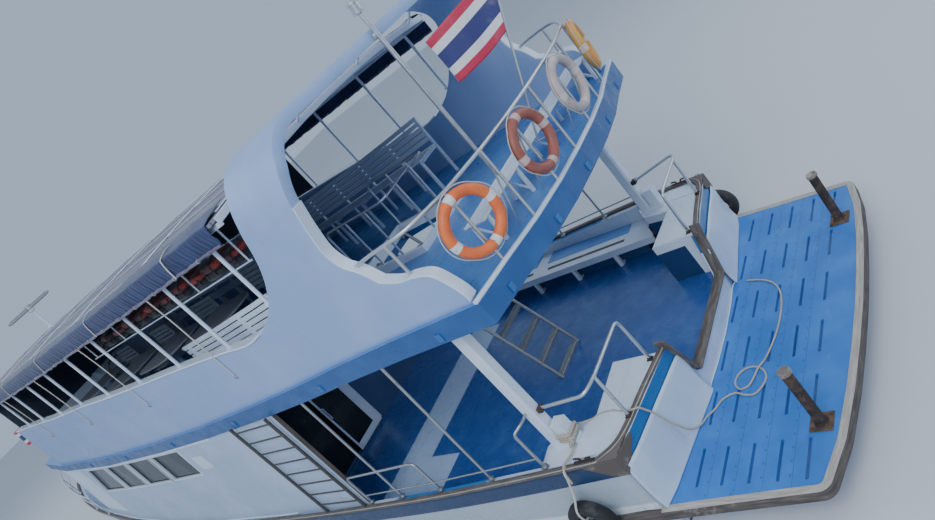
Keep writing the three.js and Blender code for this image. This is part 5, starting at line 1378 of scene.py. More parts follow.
@dataclass
class HullForm:
    """Hull skin, strake, cap and transom."""

    skin: float = 0.007
    strake: tuple[float, float, float, float] = (-0.06, 0.03, -0.075, 0.065)
    cap: tuple[float, float, float, float] = (-0.033, 0.040, -0.014, 0.04)
    panel_head: float = 1.20
    panel_foot: float = 0.052
    panel_low: float = 0.514
    panel_inner: float = 0.90
    panel_corner: float = 0.1

    def column(self, k: int, x: Array) -> Array:
        """A column of the hull's table on its smooth curve."""
        return smooth(HULL[:, 0], HULL[:, k], x)

    def lean(self, x: Array, z: Array) -> Array:
        """Place along the boat of a point at a height on the section that starts at x."""
        high, low = self.column(2, x), self.column(9, x)
        return x - self.column(10, x) * (high - z) / (high - low)

    def side(self) -> Shape:
        """Port skin: straight between rim, strake, bilge and bottom, smooth along the boat."""
        x = np.concatenate([np.linspace(1.66, 16, 90), np.linspace(16.1, 23, 90)])[:, None]
        t = np.concatenate([np.linspace(0, 1, 13), np.linspace(1, 2, 13)[1:],
                            np.linspace(2, 3, 9)[1:]])[None, :]
        halves = np.concatenate([self.column(k, x) for k in (1, 3, 5, 7)], axis=1)
        heights = np.concatenate([self.column(k, x) for k in (2, 4, 6, 8)], axis=1)
        i = np.minimum(t.astype(int), 2)
        share = t - i
        rows = np.arange(len(x))[:, None]
        half = halves[rows, i] * (1 - share) + halves[rows, i + 1] * share + self.skin
        z = heights[rows, i] * (1 - share) + heights[rows, i + 1] * share
        points = np.stack([self.lean(x, z), half, z], axis=-1)
        uv = np.stack([np.broadcast_to(x, z.shape), heights[:, :1] - z], axis=-1)
        return flipped(grid(points, uv=uv))

    def edge_path(self) -> Array:
        """Edge of the platform from its middle to the hull on the port side, corner rounded."""
        level = PLATFORM - self.strake[3]
        edge = [(-0.2, 0), (-0.19, 0.6), (-0.165, 1.2), (-0.11, 1.8), (0, 2.3), (1.0, 2.38),
                (1.66, 2.44)]
        return rounded([(x, y, level) for x, y in edge], 0.07)

    def belt_path(self) -> Array:
        """Middle of the strake from the stem round the stern to the other side of the stem."""
        x = np.concatenate([np.linspace(1.9, 17, 90), np.linspace(17.3, 23, 60)])
        z = self.column(4, x)
        hull = np.column_stack([self.lean(x, z), self.column(3, x), z])
        port = np.vstack([self.edge_path(), hull])
        return np.vstack([starboard(port[1:]), port])

    def cap_path(self) -> Array:
        """Middle of the cap's seat from the step opening to the stem, on the port side."""
        aft = rounded([[1.465, 0.99, 1.36], [1.57, 1.6, 1.36], [1.625, 2.06, 1.36],
                       [1.70, 2.30, 1.36], [1.90, 2.462, 1.352]], 0.12)
        x = np.concatenate([np.linspace(2.5, 17, 40), np.linspace(17.4, 23, 30)])
        return np.vstack([aft, np.column_stack([x, self.column(1, x), self.column(2, x)])])

    def transom_panel(self) -> Shape:
        """Port half of the raised panel behind the transom.

        Its foot is a cove that stands out by foot * (1 - t)^4 at height share t, and the top
        inner corner is a quarter circle: the head drops by r - sqrt(r^2 - (r - s)^2) there.
        """
        s = np.linspace(0, 1, 44)[:, None]
        t = np.linspace(0, 1, 18)[None, :] ** 1.5
        y = self.panel_inner + s * 1.545
        r = self.panel_corner
        near = np.clip(r - (y - self.panel_inner), 0, r)
        head = self.panel_head - (r - np.sqrt(r * r - near * near))
        z = self.panel_low + t * (head - self.panel_low)
        x = self.transom_x(y) - 0.014 - self.panel_foot * (1 - t) ** 4
        return grid(np.stack([np.broadcast_to(x, z.shape), np.broadcast_to(y, z.shape), z], -1))

    @staticmethod
    def transom_x(y: Array) -> Array:
        """Place of the transom's after face at a distance from the centreline."""
        return np.interp(y, TRANSOM[:, 1], TRANSOM[:, 0])

    def foot_strip(self) -> Shape:
        """Narrow bright strip where the panels and the step meet the platform."""
        y = np.linspace(-2.44, 2.44, 60)
        out = self.panel_foot * np.clip((np.abs(y) - 0.86) / 0.05, 0, 1) + 0.016
        path = place_list(self.transom_x(np.abs(y)) - out, y, 0.5115)
        return bar(path, -0.004, 0.012, 0, 0.014, 0.003)

    def cheek(self) -> Shape:
        """Dark corner block below the port cap: one leaf on the side and one on the transom."""
        side = plate([[1.652, 1.12], [1.83, 1.14], [2.12, 1.335], [2.12, 1.353],
                      [1.652, 1.383]], 0, 0.014, 0.004,
                     place=lambda p: np.column_stack(
                         [p[:, 0], rim(p[:, 0]) + self.skin + p[:, 2], p[:, 1]]))
        back = plate([[2.13, 1.372], [2.15, 1.31], [2.45, 1.12], [2.466, 1.12], [2.466, 1.383]],
                     0, 0.022, 0.004, place=lambda p: np.column_stack(
                         [self.transom_x(p[:, 0]) - 0.001 - p[:, 2], p[:, 0], p[:, 1]]))
        return side + back

    def build(self) -> None:
        """Makes the hull's pieces and paints its solid."""
        rim_line = tuple((x - AMIDSHIPS, z) for x, z in HULL[:, (0, 2)])
        dress(HullPaint("hull_paint", (0.60, 0.69, 0.82), (0.52, 0.62, 0.76), dirt=0.3,
                        rim=rim_line), "hull")
        side = self.side()
        make_piece("topsides", both_sides(side), TopsidePaint(
            "topside_paint", (0.72, 0.76, 0.80), (0.64, 0.69, 0.75), dirt=0.3,
        ), "hull_paint", closed=False, wall=0.006, sharp=30)
        strake = bar(self.belt_path(), *self.strake, bevel=0.014)
        make_piece("rubbing_belt", strake, DARK_WOOD, "weathered_wood", "rubbing_strake",
                   sharp=50)
        half = self.edge_path() + np.array([0, 0, self.strake[3]])
        edge = np.vstack([starboard(half[1:]), half])
        edging = bar(edge, -0.057, 0.026, -0.003, 0.006, 0.003)
        make_piece("platform_edging", edging, PALE_WOOD, "weathered_wood")
        x = np.linspace(1.72, 17.0, 90)
        line = np.column_stack([x, self.column(3, x) - 0.02, self.column(4, x) + 0.066])
        belt_cap = bar(line, -0.034, 0.012, -0.003, 0.007, 0.003)
        make_piece("belt_cap", both_sides(belt_cap), TRANSOM_WHITE, "weathered_wood")
        cap = both_sides(bar(self.cap_path(), *self.cap, bevel=0.010))
        worn = both_sides(sweep(self.cap_path() + np.array([0, 0, 0.038]),
                                circle(0.0055, 6) + np.array([-0.029, 0]), up=UP))
        make_piece("cap_edge", worn, PALE_WOOD, "weathered_wood")
        make_piece("corner_cheeks", both_sides(self.cheek()), DARK_WOOD, "weathered_wood")
        make_piece("transom_foot", self.foot_strip(), WHITE, "hull_paint")
        block = plate([[1.61, 2.12], [1.63, 2.13], [1.85, 2.43], [1.88, 2.48], [1.64, 2.46]],
                      1.361, 1.396, 0.006)
        lining = bar(rounded([[1.43, 1.04, 1.498], [1.43, 0.83, 0.785], [1.43, -0.83, 0.785],
                              [1.43, -1.04, 1.498]], 0.06),
                     -0.072, 0.072, -0.014, 0.014, 0.006, up=(0, 0.4, 1))
        make_piece("gunwale", cap + both_sides(block) + lining, BROWN_WOOD, "weathered_wood",
                   "gunwale_cap", sharp=50)
        bow, rim_height, lean, tall = 23.0, 2.32, 2.15, 2.12
        stem_z = np.linspace(2.34, -0.2, 24)
        x = bow - lean * (rim_height - stem_z) / tall + 0.012
        stem = bar(np.column_stack([x, 0 * x, stem_z]), -0.11, 0.11, -0.06, 0.03, 0.03, up=ALONG)
        make_piece("stem_post", stem, BROWN_WOOD, "weathered_wood")
        make_piece("transom_panels", both_sides(self.transom_panel()), TRANSOM_WHITE,
                   "hull_paint", closed=False, wall=0.012, inward=-1.0)


@dataclass
class SternDeck:
    """Platform, bollards, lockers, posts, rails, bench, stair and ladder of the stern."""

    rail: float = 0.021
    bollard_y: float = 1.58

    def bollard(self) -> tuple[Shape, Shape, Shape]:
        """Port bollard: its pipe, its bolted foot plate and its worn cap."""
        x, y, low = 0.07, self.bollard_y, PLATFORM + 0.0005
        pipe = turned([[0.052, 0], [0.074, 0.016], [0.06, 0.028], [0.055, 0.05], [0.055, 0.728]],
                      (x, y, low))
        cap = turned([[0.054, 0.715], [0.066, 0.722], [0.0668, 0.745], [0.062, 0.7595],
                      [0.048, 0.7598], [0.044, 0.752]], (x, y, low))
        foot = square_plate(x, y, 0.115, low, low + 0.014, 0.004)
        bolts = [turned([[0.016, 0], [0.016, 0.008], [0.010, 0.014]],
                        (x + dx, y + dy, low + 0.0135), sides=6)
                 for dx in (-0.09, 0.09) for dy in (-0.09, 0.09)]
        return pipe, joined([foot, *bolts]), cap

    def lids(self) -> Shape:
        """Port locker's lids, with the narrow seams of the photo between them."""
        z = (1.3605, 1.3695)
        aft = plate([[1.64, 1.055], [1.875, 1.055], [1.873, 1.90], [1.90, 2.06], [1.72, 2.055],
                     [1.655, 1.90], [1.655, 1.2]], *z, 0.003)
        middle = plate([[1.883, 1.055], [2.13, 1.045], [2.10, 1.83], [2.22, 1.875],
                        [2.22, 2.095], [1.91, 2.06], [1.881, 1.90]], *z, 0.003)
        outer = plate([[1.72, 2.07], [1.91, 2.073], [2.22, 2.105], [2.22, 2.40], [1.95, 2.36],
                       [1.84, 2.30]], *z, 0.003)
        return joined([aft, middle, outer])

    def quarter_rail(self) -> Shape:
        """Port bent rail over the locker with its upright."""
        low, top = LOCKER_TOP, LOCKER_TOP + 0.67
        bent = tube([[2.426, 2.09, top - 0.14], [1.69, 2.16, top - 0.02], [1.62, 1.96, top],
                     [1.60, 1.15, top], [1.60, 1.12, low + 0.005]], self.rail, 0.09)
        upright = tube([[1.619, 1.94, low + 0.04], [1.619, 1.94, top]], self.rail)
        return bent + upright

    def brackets(self) -> Shape:
        """Dark plates and sockets at the feet of the port quarter rail, and its clamp."""
        low = LOCKER_TOP
        parts = []
        for x, y, z in ((1.619, 1.94, low + 0.04), (1.60, 1.12, low)):
            parts.append(square_plate(x, y, 0.036, z + 0.0002, z + 0.008, 0.002))
            parts.append(turned([[0.029, 0], [0.029, 0.022], [0.0215, 0.03]],
                                (x, y, z + 0.007), sides=16))
            parts.append(lumps([[x + dx, y + dy, z + 0.009] for dx in (-0.026, 0.026)
                                for dy in (-0.026, 0.026)], [[0.006, 0.006, 0.004]], 3.0, 2))
        parts.append(boards([2.40, 2.045, 1.888], [2.40, 2.14, 1.888], 0.06, 0.07, up=ALONG))
        return joined(parts)

    def fairlead(self) -> Shape:
        """Port fairlead on the cap: a foot with two horns turned over towards each other."""
        x, z = 2.035, 1.3925
        foot = plate([[1.90, 2.425], [2.17, 2.452], [2.168, 2.492], [1.898, 2.466]], z, z + 0.01,
                     0.003)
        horns = [tube([[x + s * 0.035, 2.455, z + 0.005], [x + s * 0.04, 2.455, z + 0.045],
                       [x + s * 0.11, 2.458, z + 0.05]], 0.012, 0.02) for s in (-1, 1)]
        return joined([foot, *horns])

    def side_rail(self) -> Shape:
        """Port rail on the gunwale with its stanchions, low line and hoop."""
        def inside(x: float) -> float:
            """Distance of the rail from the centreline."""
            return float(rim(x) - 0.075)

        def foot(x: float) -> float:
            """Height of a stanchion's foot."""
            return float(rim_z(x) - 0.008)

        r = 0.018
        places = (2.62, 3.48, 4.43, 5.25, 6.0)
        aft, _, start, _, end = places
        head = foot(aft) + 0.6
        link = [[aft, inside(aft), foot(aft)], [aft, inside(aft), head],
                [2.534, 2.31, head + 0.03], [2.534, 2.2003, head + 0.03]]
        tall = [tube([[x, inside(x), foot(x)],
                      [x, deck_half(x) - 0.03, fascia_low(x) - 0.005]], r)
                for x in places[1::2]]
        low = [[x, inside(x), foot(x) + 0.19] for x in places]
        hoop = [[start, inside(start), foot(start)], [start, inside(start), foot(start) + 0.59],
                [end, inside(end), foot(end) + 0.59], [end, inside(end), foot(end)]]
        feet = [turned([[0.045, 0], [0.045, 0.005], [0.026, 0.008], [0.02, 0.025]],
                       (x, inside(x), foot(x) + 0.048), sides=18)
                for x in places]
        return joined([tube(link, r, 0.05), tube(low, 0.011), tube(hoop, r, 0.09),
                       *tall, *feet])

    def bench(self) -> Shape:
        """Starboard bench: a flat top with an apron, on legs with bearers."""
        aft, front, edge = 2.56, 8.0, -1.85
        x = np.linspace(2.72, front, 12)
        outer = np.column_stack([x, -(rim(x) - 0.112)])
        top = plate([*outer, [front, edge], [aft, edge], [2.57, -1.91], [2.72, -2.15]],
                    1.012, 1.0598, 0.005)
        apron = boards([aft, edge - 0.015, 1.0], [front, edge - 0.015, 1.0], 0.028, 0.118,
                       bevel=0.006)
        at = 3.35 + 0.86 * np.arange(6)
        inner = place_list(at, -1.885, 0.7205)
        legs = boards(inner, inner + [0, 0, 0.30], 0.07, 0.07, up=ALONG, bevel=0.008)
        bearers = boards(inner + [0, -0.04, 0.262], inner + [0, -0.62, 0.262], 0.05, 0.06)
        feet = boards(inner + [0, -0.01, 0.012], inner + [0, -0.5, 0.012], 0.05, 0.024)
        return joined([top, apron, legs, bearers, feet])

    def bench_panels(self) -> tuple[Shape, Shape, Shape]:
        """Blue panels on the bench, and painted shade: dark strips in its gap and a navy board behind
        its legs.
        """
        blues, gap_shades = [], []
        for aft, front in ((3.10, 4.82), (5.06, 6.78)):
            x = np.linspace(aft, front, 6)
            outer = np.column_stack([x, -(rim(x) - 0.125)])
            blues.append(plate([*outer, [front, -2.19], [aft, -2.19]], 1.0601, 1.067, 0.003))
            # Dark strip of painted shade in the gap along the bench's top.
            gap_shades.append(boards([aft + 0.03, -2.02, 1.062], [front - 0.08, -2.02, 1.062], 0.055,
                                 0.008, bevel=0.002))
        # Navy board of painted shade in the recess behind the legs.
        board = boards([2.82, -2.0, 0.866], [7.98, -2.0, 0.866], 0.02, 0.288)
        return joined(blues), joined(gap_shades), board

    def stair(self) -> Shape:
        """Stair: two raked stringers, folded treads and the grip strips on them."""
        foot, head, low = 3.69, 4.94, MAIN_DECK + 0.0003
        top = float(deck_top(head)) + 0.04
        sides = [tube([[foot - 0.01, y, low], [head - 0.06, y, top],
                       [head + 0.02, y, top + 0.03], [head + 0.02, y, top - 0.06]],
                      0.024, 0.03, 14) for y in (0.38, -0.33)]
        steps = 9
        z = low + np.arange(steps) * (top - low) / steps + 0.03
        x = foot + (head - 0.06 - foot) / (top - low) * (z - low) + 0.03
        treads = boards(place_list(x, -0.325, z), place_list(x, 0.375, z), 0.11, 0.022)
        lips = boards(place_list(x - 0.05, -0.32, z - 0.02), place_list(x - 0.05, 0.37, z - 0.02),
                      0.012, 0.05)
        grip = np.concatenate([place_list(x + d, -0.31, z + 0.0125) for d in (-0.03, 0, 0.03)])
        grips = boards(grip, grip + [0, 0.67, 0], 0.008, 0.004, bevel=0.001)
        return joined([*sides, treads, lips, grips])

    def ladder(self) -> Shape:
        """Boarding ladder stowed upright: two rails and eight rungs."""
        aft, front = 6.11, 7.15
        out = [float(rim(x) - 0.014) for x in (aft, front)]
        low = [float(rim_z(x) + 0.034) for x in (aft, front)]
        high = float(deck_top(aft)) - 0.215
        rails = [tube([[x, y, z], [x, y, high]], 0.024, sides=16)
                 for x, y, z in zip((aft, front), out, low)]
        foot, rungs_high = max(low), 8
        z = foot + (np.arange(rungs_high) + 0.6) * (high - foot) / rungs_high
        rungs = tubes([[[aft, out[0], v], [front, out[1], v]] for v in z], 0.013, 12)
        return joined([*rails, rungs])

    def bundle(self) -> Shape:
        """Rope turns round the port bitt, each a little askew, with a knot on its corner.

        A turn is a rounded square at s from the bitt's middle whose height sways by
        a * sin(turn + k).
        """
        parts = []
        square = rounded([[-1, -0.2, 0], [-1, -1, 0], [1, -1, 0], [1, 1, 0], [-1, 1, 0],
                          [-1, -0.19, 0]], 0.38)
        turn = np.linspace(0, 2 * np.pi, len(square))
        turns, first, pitch = 7, (2.318, 2.12, 1.446), 0.0165
        for k in range(turns):
            size = 0.088 + 0.011 * (k % 2) + 0.003 * (k % 3)
            sway = (0.007 + 0.004 * (k % 3)) * np.sin(turn + 1.7 * k)
            path = square * [size, size, 0] + first
            path[:, 2] += pitch * k + sway
            parts.append(sweep(path, circle(ROPE_RADIUS), up=UP))
        for middle, axis, radius in (((2.25, 2.24, 1.455), (0.4, 1, 0.6), 0.030),
                                     ((2.24, 2.25, 1.44), (1, -0.4, 0.7), 0.033),
                                     ((2.262, 2.236, 1.43), (0.2, 0.3, 1), 0.030)):
            parts.append(ring_of(middle, axis, radius, ROPE_RADIUS, 12))
        tail = along_curve([[2.24, 2.26, 1.43], [2.235, 2.33, 1.412], [2.262, 2.43, 1.412],
                            [2.285, 2.505, 1.407], [2.29, 2.553, 1.36], [2.285, 2.575, 1.29],
                            [2.28, 2.585, 1.22]], 40)
        parts.append(sweep(tail, circle(ROPE_RADIUS)))
        return joined(parts)

    def build(self) -> None:
        """Makes and paints the stern's pieces."""
        dress(PlatformPaint("platform_paint"), "swim_platform")
        pipe, foot, cap = self.bollard()
        make_piece("bollards", both_sides(pipe), IRON, "rusty_steel", *two("bollard"))
        make_piece("bollard_feet", both_sides(foot), RUST, "rusty_steel")
        make_piece("bollard_caps", both_sides(cap), PALE_IRON, "rusty_steel")
        dress(WHITE, *two("stern_post"))
        dress(LockerPaint("locker_paint", (0.66, 0.74, 0.84), (0.58, 0.67, 0.79)),
              *two("locker"))
        make_piece("locker_lids", both_sides(self.lids()), WHITE, "white_paint")
        make_piece("quarter_rails", both_sides(self.quarter_rail()), TUBE_STEEL,
                   "stainless_steel", *two("quarter_rail"))
        make_piece("rail_brackets", both_sides(self.brackets()), IRON, "rusty_steel")
        make_piece("fairleads", both_sides(self.fairlead()), IRON, "rusty_steel")
        make_piece("side_rails", both_sides(self.side_rail()), RAIL_STEEL, "stainless_steel",
                   *two("side_rail"))
        make_piece("long_bench", self.bench(), WHITE, "white_paint", "side_bench")
        blue, gap_shade, board = self.bench_panels()
        make_piece("bench_panels", blue, BENCH_BLUE, "white_paint")
        # Painted shade of the bench's gap and of the recess behind its legs.
        make_piece("bench_gap_shades", gap_shade, DARK_WOOD, "weathered_wood")
        make_piece("bench_recess_shade", board, NAVY, "white_paint")
        make_piece("stair_steps", self.stair(), DULL_STEEL, "stainless_steel", "stair")
        make_piece("stowed_ladder", self.ladder(), OLD_STEEL, "stainless_steel",
                   "boarding_ladder")
        make_piece("bitt_turns", self.bundle(), GREY_ROPE, "rope_fibre", "bitt_lashing")


@dataclass
class Fenders:
    """Tyres hung on the quarters by ropes."""

    ring: float = 0.21
    section: float = 0.082
    height: float = 0.68
    squareness: float = 3.2

    def tyre(self, x: float, side: int, off: float) -> Shape:
        """Tyre: a ring whose section is a rounded square, with grooves round its tread."""
        y = side * (float(rim(x)) + self.section + off)
        turn = np.linspace(0, 2 * np.pi, 96, endpoint=False)[:, None]
        v = np.linspace(0, 2 * np.pi, 28, endpoint=False)[None, :]
        c, s = np.cos(v), np.sin(v)
        power = self.squareness
        size = (np.abs(c) ** power + np.abs(s) ** power) ** (-1 / power)
        tread = np.where(c > 0.5, 0.004 * np.sin(turn * 48), 0.0)
        half = self.section - 0.006
        r = self.ring + half * (c * size) + tread
        depth = half * s * size
        hollow = np.where(c < -0.3, 0.025 * (1 - np.abs(s)), 0.0)
        r = r + hollow
        points = np.stack([x + r * np.cos(turn), y + depth + 0 * turn,
                           self.height + r * np.sin(turn)], axis=-1)
        return grid(points, wrap=(True, True))

    def hanger(self, x: float, side: int, off: float) -> Shape:
        """Rope from the rail down over the tyre's outer face and through its hole."""
        edge, top = float(rim(x)), float(rim_z(x))
        face = edge + 2 * self.section + off
        path = along_curve([
            [x - 0.07, side * (edge - 0.02), top + 0.052],
            [x - 0.07, side * (edge + 0.045), top + 0.045],
            [x - 0.06, side * (edge + 0.085), top - 0.06], [x - 0.03, side * (edge + 0.16), 1.08],
            [x - 0.01, side * (face + 0.012), 0.95], [x, side * (face + 0.012), 0.86],
            [x, side * (face - 0.01), 0.79], [x, side * (face - 0.085), 0.765],
        ], 60)
        return sweep(path, circle(ROPE_RADIUS))

    def lashing(self, x: float, side: int, off: float) -> Shape:
        """Frayed pale turns round the top of a tyre."""
        y = side * (float(rim(x)) + self.section + off)
        parts = []
        turns, spread = 6, 0.085
        for k in range(turns):
            a = math.pi / 2 + (k - (turns - 1) / 2) * spread
            middle = [x + self.ring * math.cos(a), y, self.height + self.ring * math.sin(a)]
            along = [-math.sin(a) + 0.05 * (k % 3), 0.06 * (k % 2), math.cos(a)]
            parts.append(ring_of(middle, along, self.section + 0.006, 0.007, 8))
        return joined(parts)

    def build(self) -> None:
        """Makes both tyres and their ropes."""
        places = (("port", 2.36, 1, 0.081), ("starboard", 1.82, -1, 0.069))
        for name, *place in places:
            make_piece(f"tyre_{name}", self.tyre(*place), RUBBER, "black_rubber",
                       f"fender_{name}", sharp=70)
        make_piece("tyre_ropes", joined([self.hanger(*place) for _, *place in places]),
                   PALE_ROPE, "rope_fibre")
        make_piece("tyre_lashing", self.lashing(*places[1][1:]), PALE_ROPE, "rope_fibre")


@dataclass
class Cabin:
    """Lower cabin: walls, window frames, ribbed panels, door and seats."""

    panes: tuple[tuple[float, float, float, float], ...] = (
        (9.62, 10.98, 9.56, 10.92), (11.06, 12.38, 11.0, 12.32), (12.46, 13.76, 12.4, 13.7),
        (13.84, 15.5, 13.78, 15.18),
    )
    pane_high: float = 3.03

    def on_wall(self, x: Array, z: Array, out: float) -> Array:
        """Points on the port wall, moved out from it."""
        return place_list(x, wall_half(x, z) + out, z)

    def frames(self) -> Shape:
        """Narrow frames round the port windows, swept round each outline."""
        rings = []
        for a, b, c, d in self.panes:
            low = 2.39 - (np.array([a, b]) - 9.6) * 0.014
            zs = np.array([*low, self.pane_high, self.pane_high])
            path = self.on_wall(np.array([a, b, d, c]), zs, 0.001)
            loop = np.vstack([path, path[:1]])
            t = np.linspace(0, 4, 33)[:-1]
            i = np.minimum(t.astype(int), 3)
            path = loop[i] * (1 - (t - i))[:, None] + loop[i + 1] * (t - i)[:, None]
            rings.append(bar(path, -0.011, 0.011, -0.055, 0.008, 0.003, up=ACROSS, closed=True))
        return joined(rings)

    def ribs(self) -> Shape:
        """Upright ribs on the port wall ahead of the windows."""
        x = np.arange(15.66, 17.1, 0.075)
        low, high = rim_z(x) + 0.30, fascia_low(x) - 0.02
        return boards(self.on_wall(x, low, 0.004), self.on_wall(x, high, 0.004), 0.03, 0.012,
                      up=ACROSS)

    def mullions(self) -> Shape:
        """Dark glass over the wall between the port panes, as on sliding windows."""
        parts = []
        for (_, a, _, d), (b, _, c, _) in zip(self.panes[:-1], self.panes[1:]):
            parts.append(plate(
                [[a + 0.008, 2.37], [b - 0.008, 2.37], [c - 0.008, 3.02], [d + 0.008, 3.02]],
                0.0012, 0.006, 0.001,
                place=lambda p: self.on_wall(p[:, 0], p[:, 1], p[:, 2])))
        return joined(parts)

    def wall_end(self) -> Shape:
        """Dark board on the aft end of the port wall, behind the ladder's rail."""
        end = 6.06
        low, high = rim_z(end) + 0.05, fascia_low(end) - 0.01
        x = end - 0.008
        y = wall_half(x, np.array([low, high])) - 0.03
        return boards([x, y[0], low], [x, y[1], high], 0.062, 0.012, up=ALONG)

    def mouldings(self) -> Shape:
        """Rubbing lines along the port wall: under the windows and along the fascia."""
        x = np.linspace(8.12, 17.2, 30)
        lines = [bar(self.on_wall(x, rim_z(x) + 0.048, 0.004), -0.012, 0.012, -0.012, 0.012),
                 bar(self.on_wall(x, fascia_low(x) - 0.03, 0.004), -0.010, 0.010, -0.02, 0.02)]
        return joined(lines)

    def doorway(self) -> Shape:
        """White frame round the doorway: two posts and a head."""
        y0, y1, low, high = 0.43, 1.75, 0.79, 2.70
        x = 8.094
        posts = [boards([x, y, low], [x, y, high + 0.05], 0.07, 0.05, up=ALONG)
                 for y in (y0 - 0.035, y1 + 0.035)]
        head = boards([x, y0 - 0.07, high + 0.105], [x, y1 + 0.07, high + 0.105], 0.05, 0.06)
        return joined([*posts, head])

    def door_trim(self) -> Shape:
        """Frame of the sliding door with its handle."""
        x, y0, y1, low, high = 8.0545, 0.40, 1.12, 0.76, 2.73
        stiles = [boards([x, y, low + 0.01], [x, y, high - 0.01], width, 0.006, up=ALONG,
                         bevel=0.002)
                  for y, width in ((y0 + 0.082, 0.16), (y1 - 0.022, 0.04))]
        rails = [boards([x, y0 + 0.163, z], [x, y1 - 0.043, z], tall, 0.006, up=ALONG,
                        bevel=0.002)
                 for z, tall in ((low + 0.075, 0.13), (high - 0.05, 0.08))]
        grip = y1 - 0.045
        handle = tube([[x, grip, 1.60], [x - 0.045, grip, 1.60], [x - 0.045, grip, 1.85],
                       [x, grip, 1.85]], 0.010, 0.02)
        return joined([*stiles, *rails, handle])

    def build(self) -> None:
        """Makes and paints the cabin's pieces."""
        dress(RIB_WHITE, *two("cabin_side"), "cabin_bulkhead_front")
        dress(NAVY, "cabin_bulkhead_aft")
        dress(GLASS, *two("cabin_windows"), "cabin_windows_front", "cabin_side_light",
              "cabin_door")
        dress(DECK_WOOD, "cabin_seats")
        make_piece("window_frames", both_sides(self.frames()), WHITE, "white_paint", sharp=50)
        make_piece("wall_ribs", both_sides(self.ribs() + self.mouldings()), WHITE,
                   "white_paint")
        make_piece("doorway_frame", self.doorway(), WHITE, "white_paint")
        make_piece("mullion_glass", both_sides(self.mullions()), GLASS, "dark_glass")
        make_piece("wall_ends", both_sides(self.wall_end()), DARK_WOOD, "weathered_wood")
        make_piece("door_trim", self.door_trim(), WHITE, "white_paint", body=Body.DOOR)
        wide, tall, x, z = 0.21, 0.15, 9.15, 2.66
        notice = plate([[-wide, -tall], [wide, -tall], [wide, tall], [-wide, tall]], 0, 0.006,
                       0.002)
        place = self.on_wall(x + notice.points[:, 0], z + notice.points[:, 1], 0.001)
        place[:, 1] += notice.points[:, 2]
        make_piece("blank_notice", Shape(place, notice.faces), WHITE, "white_paint")


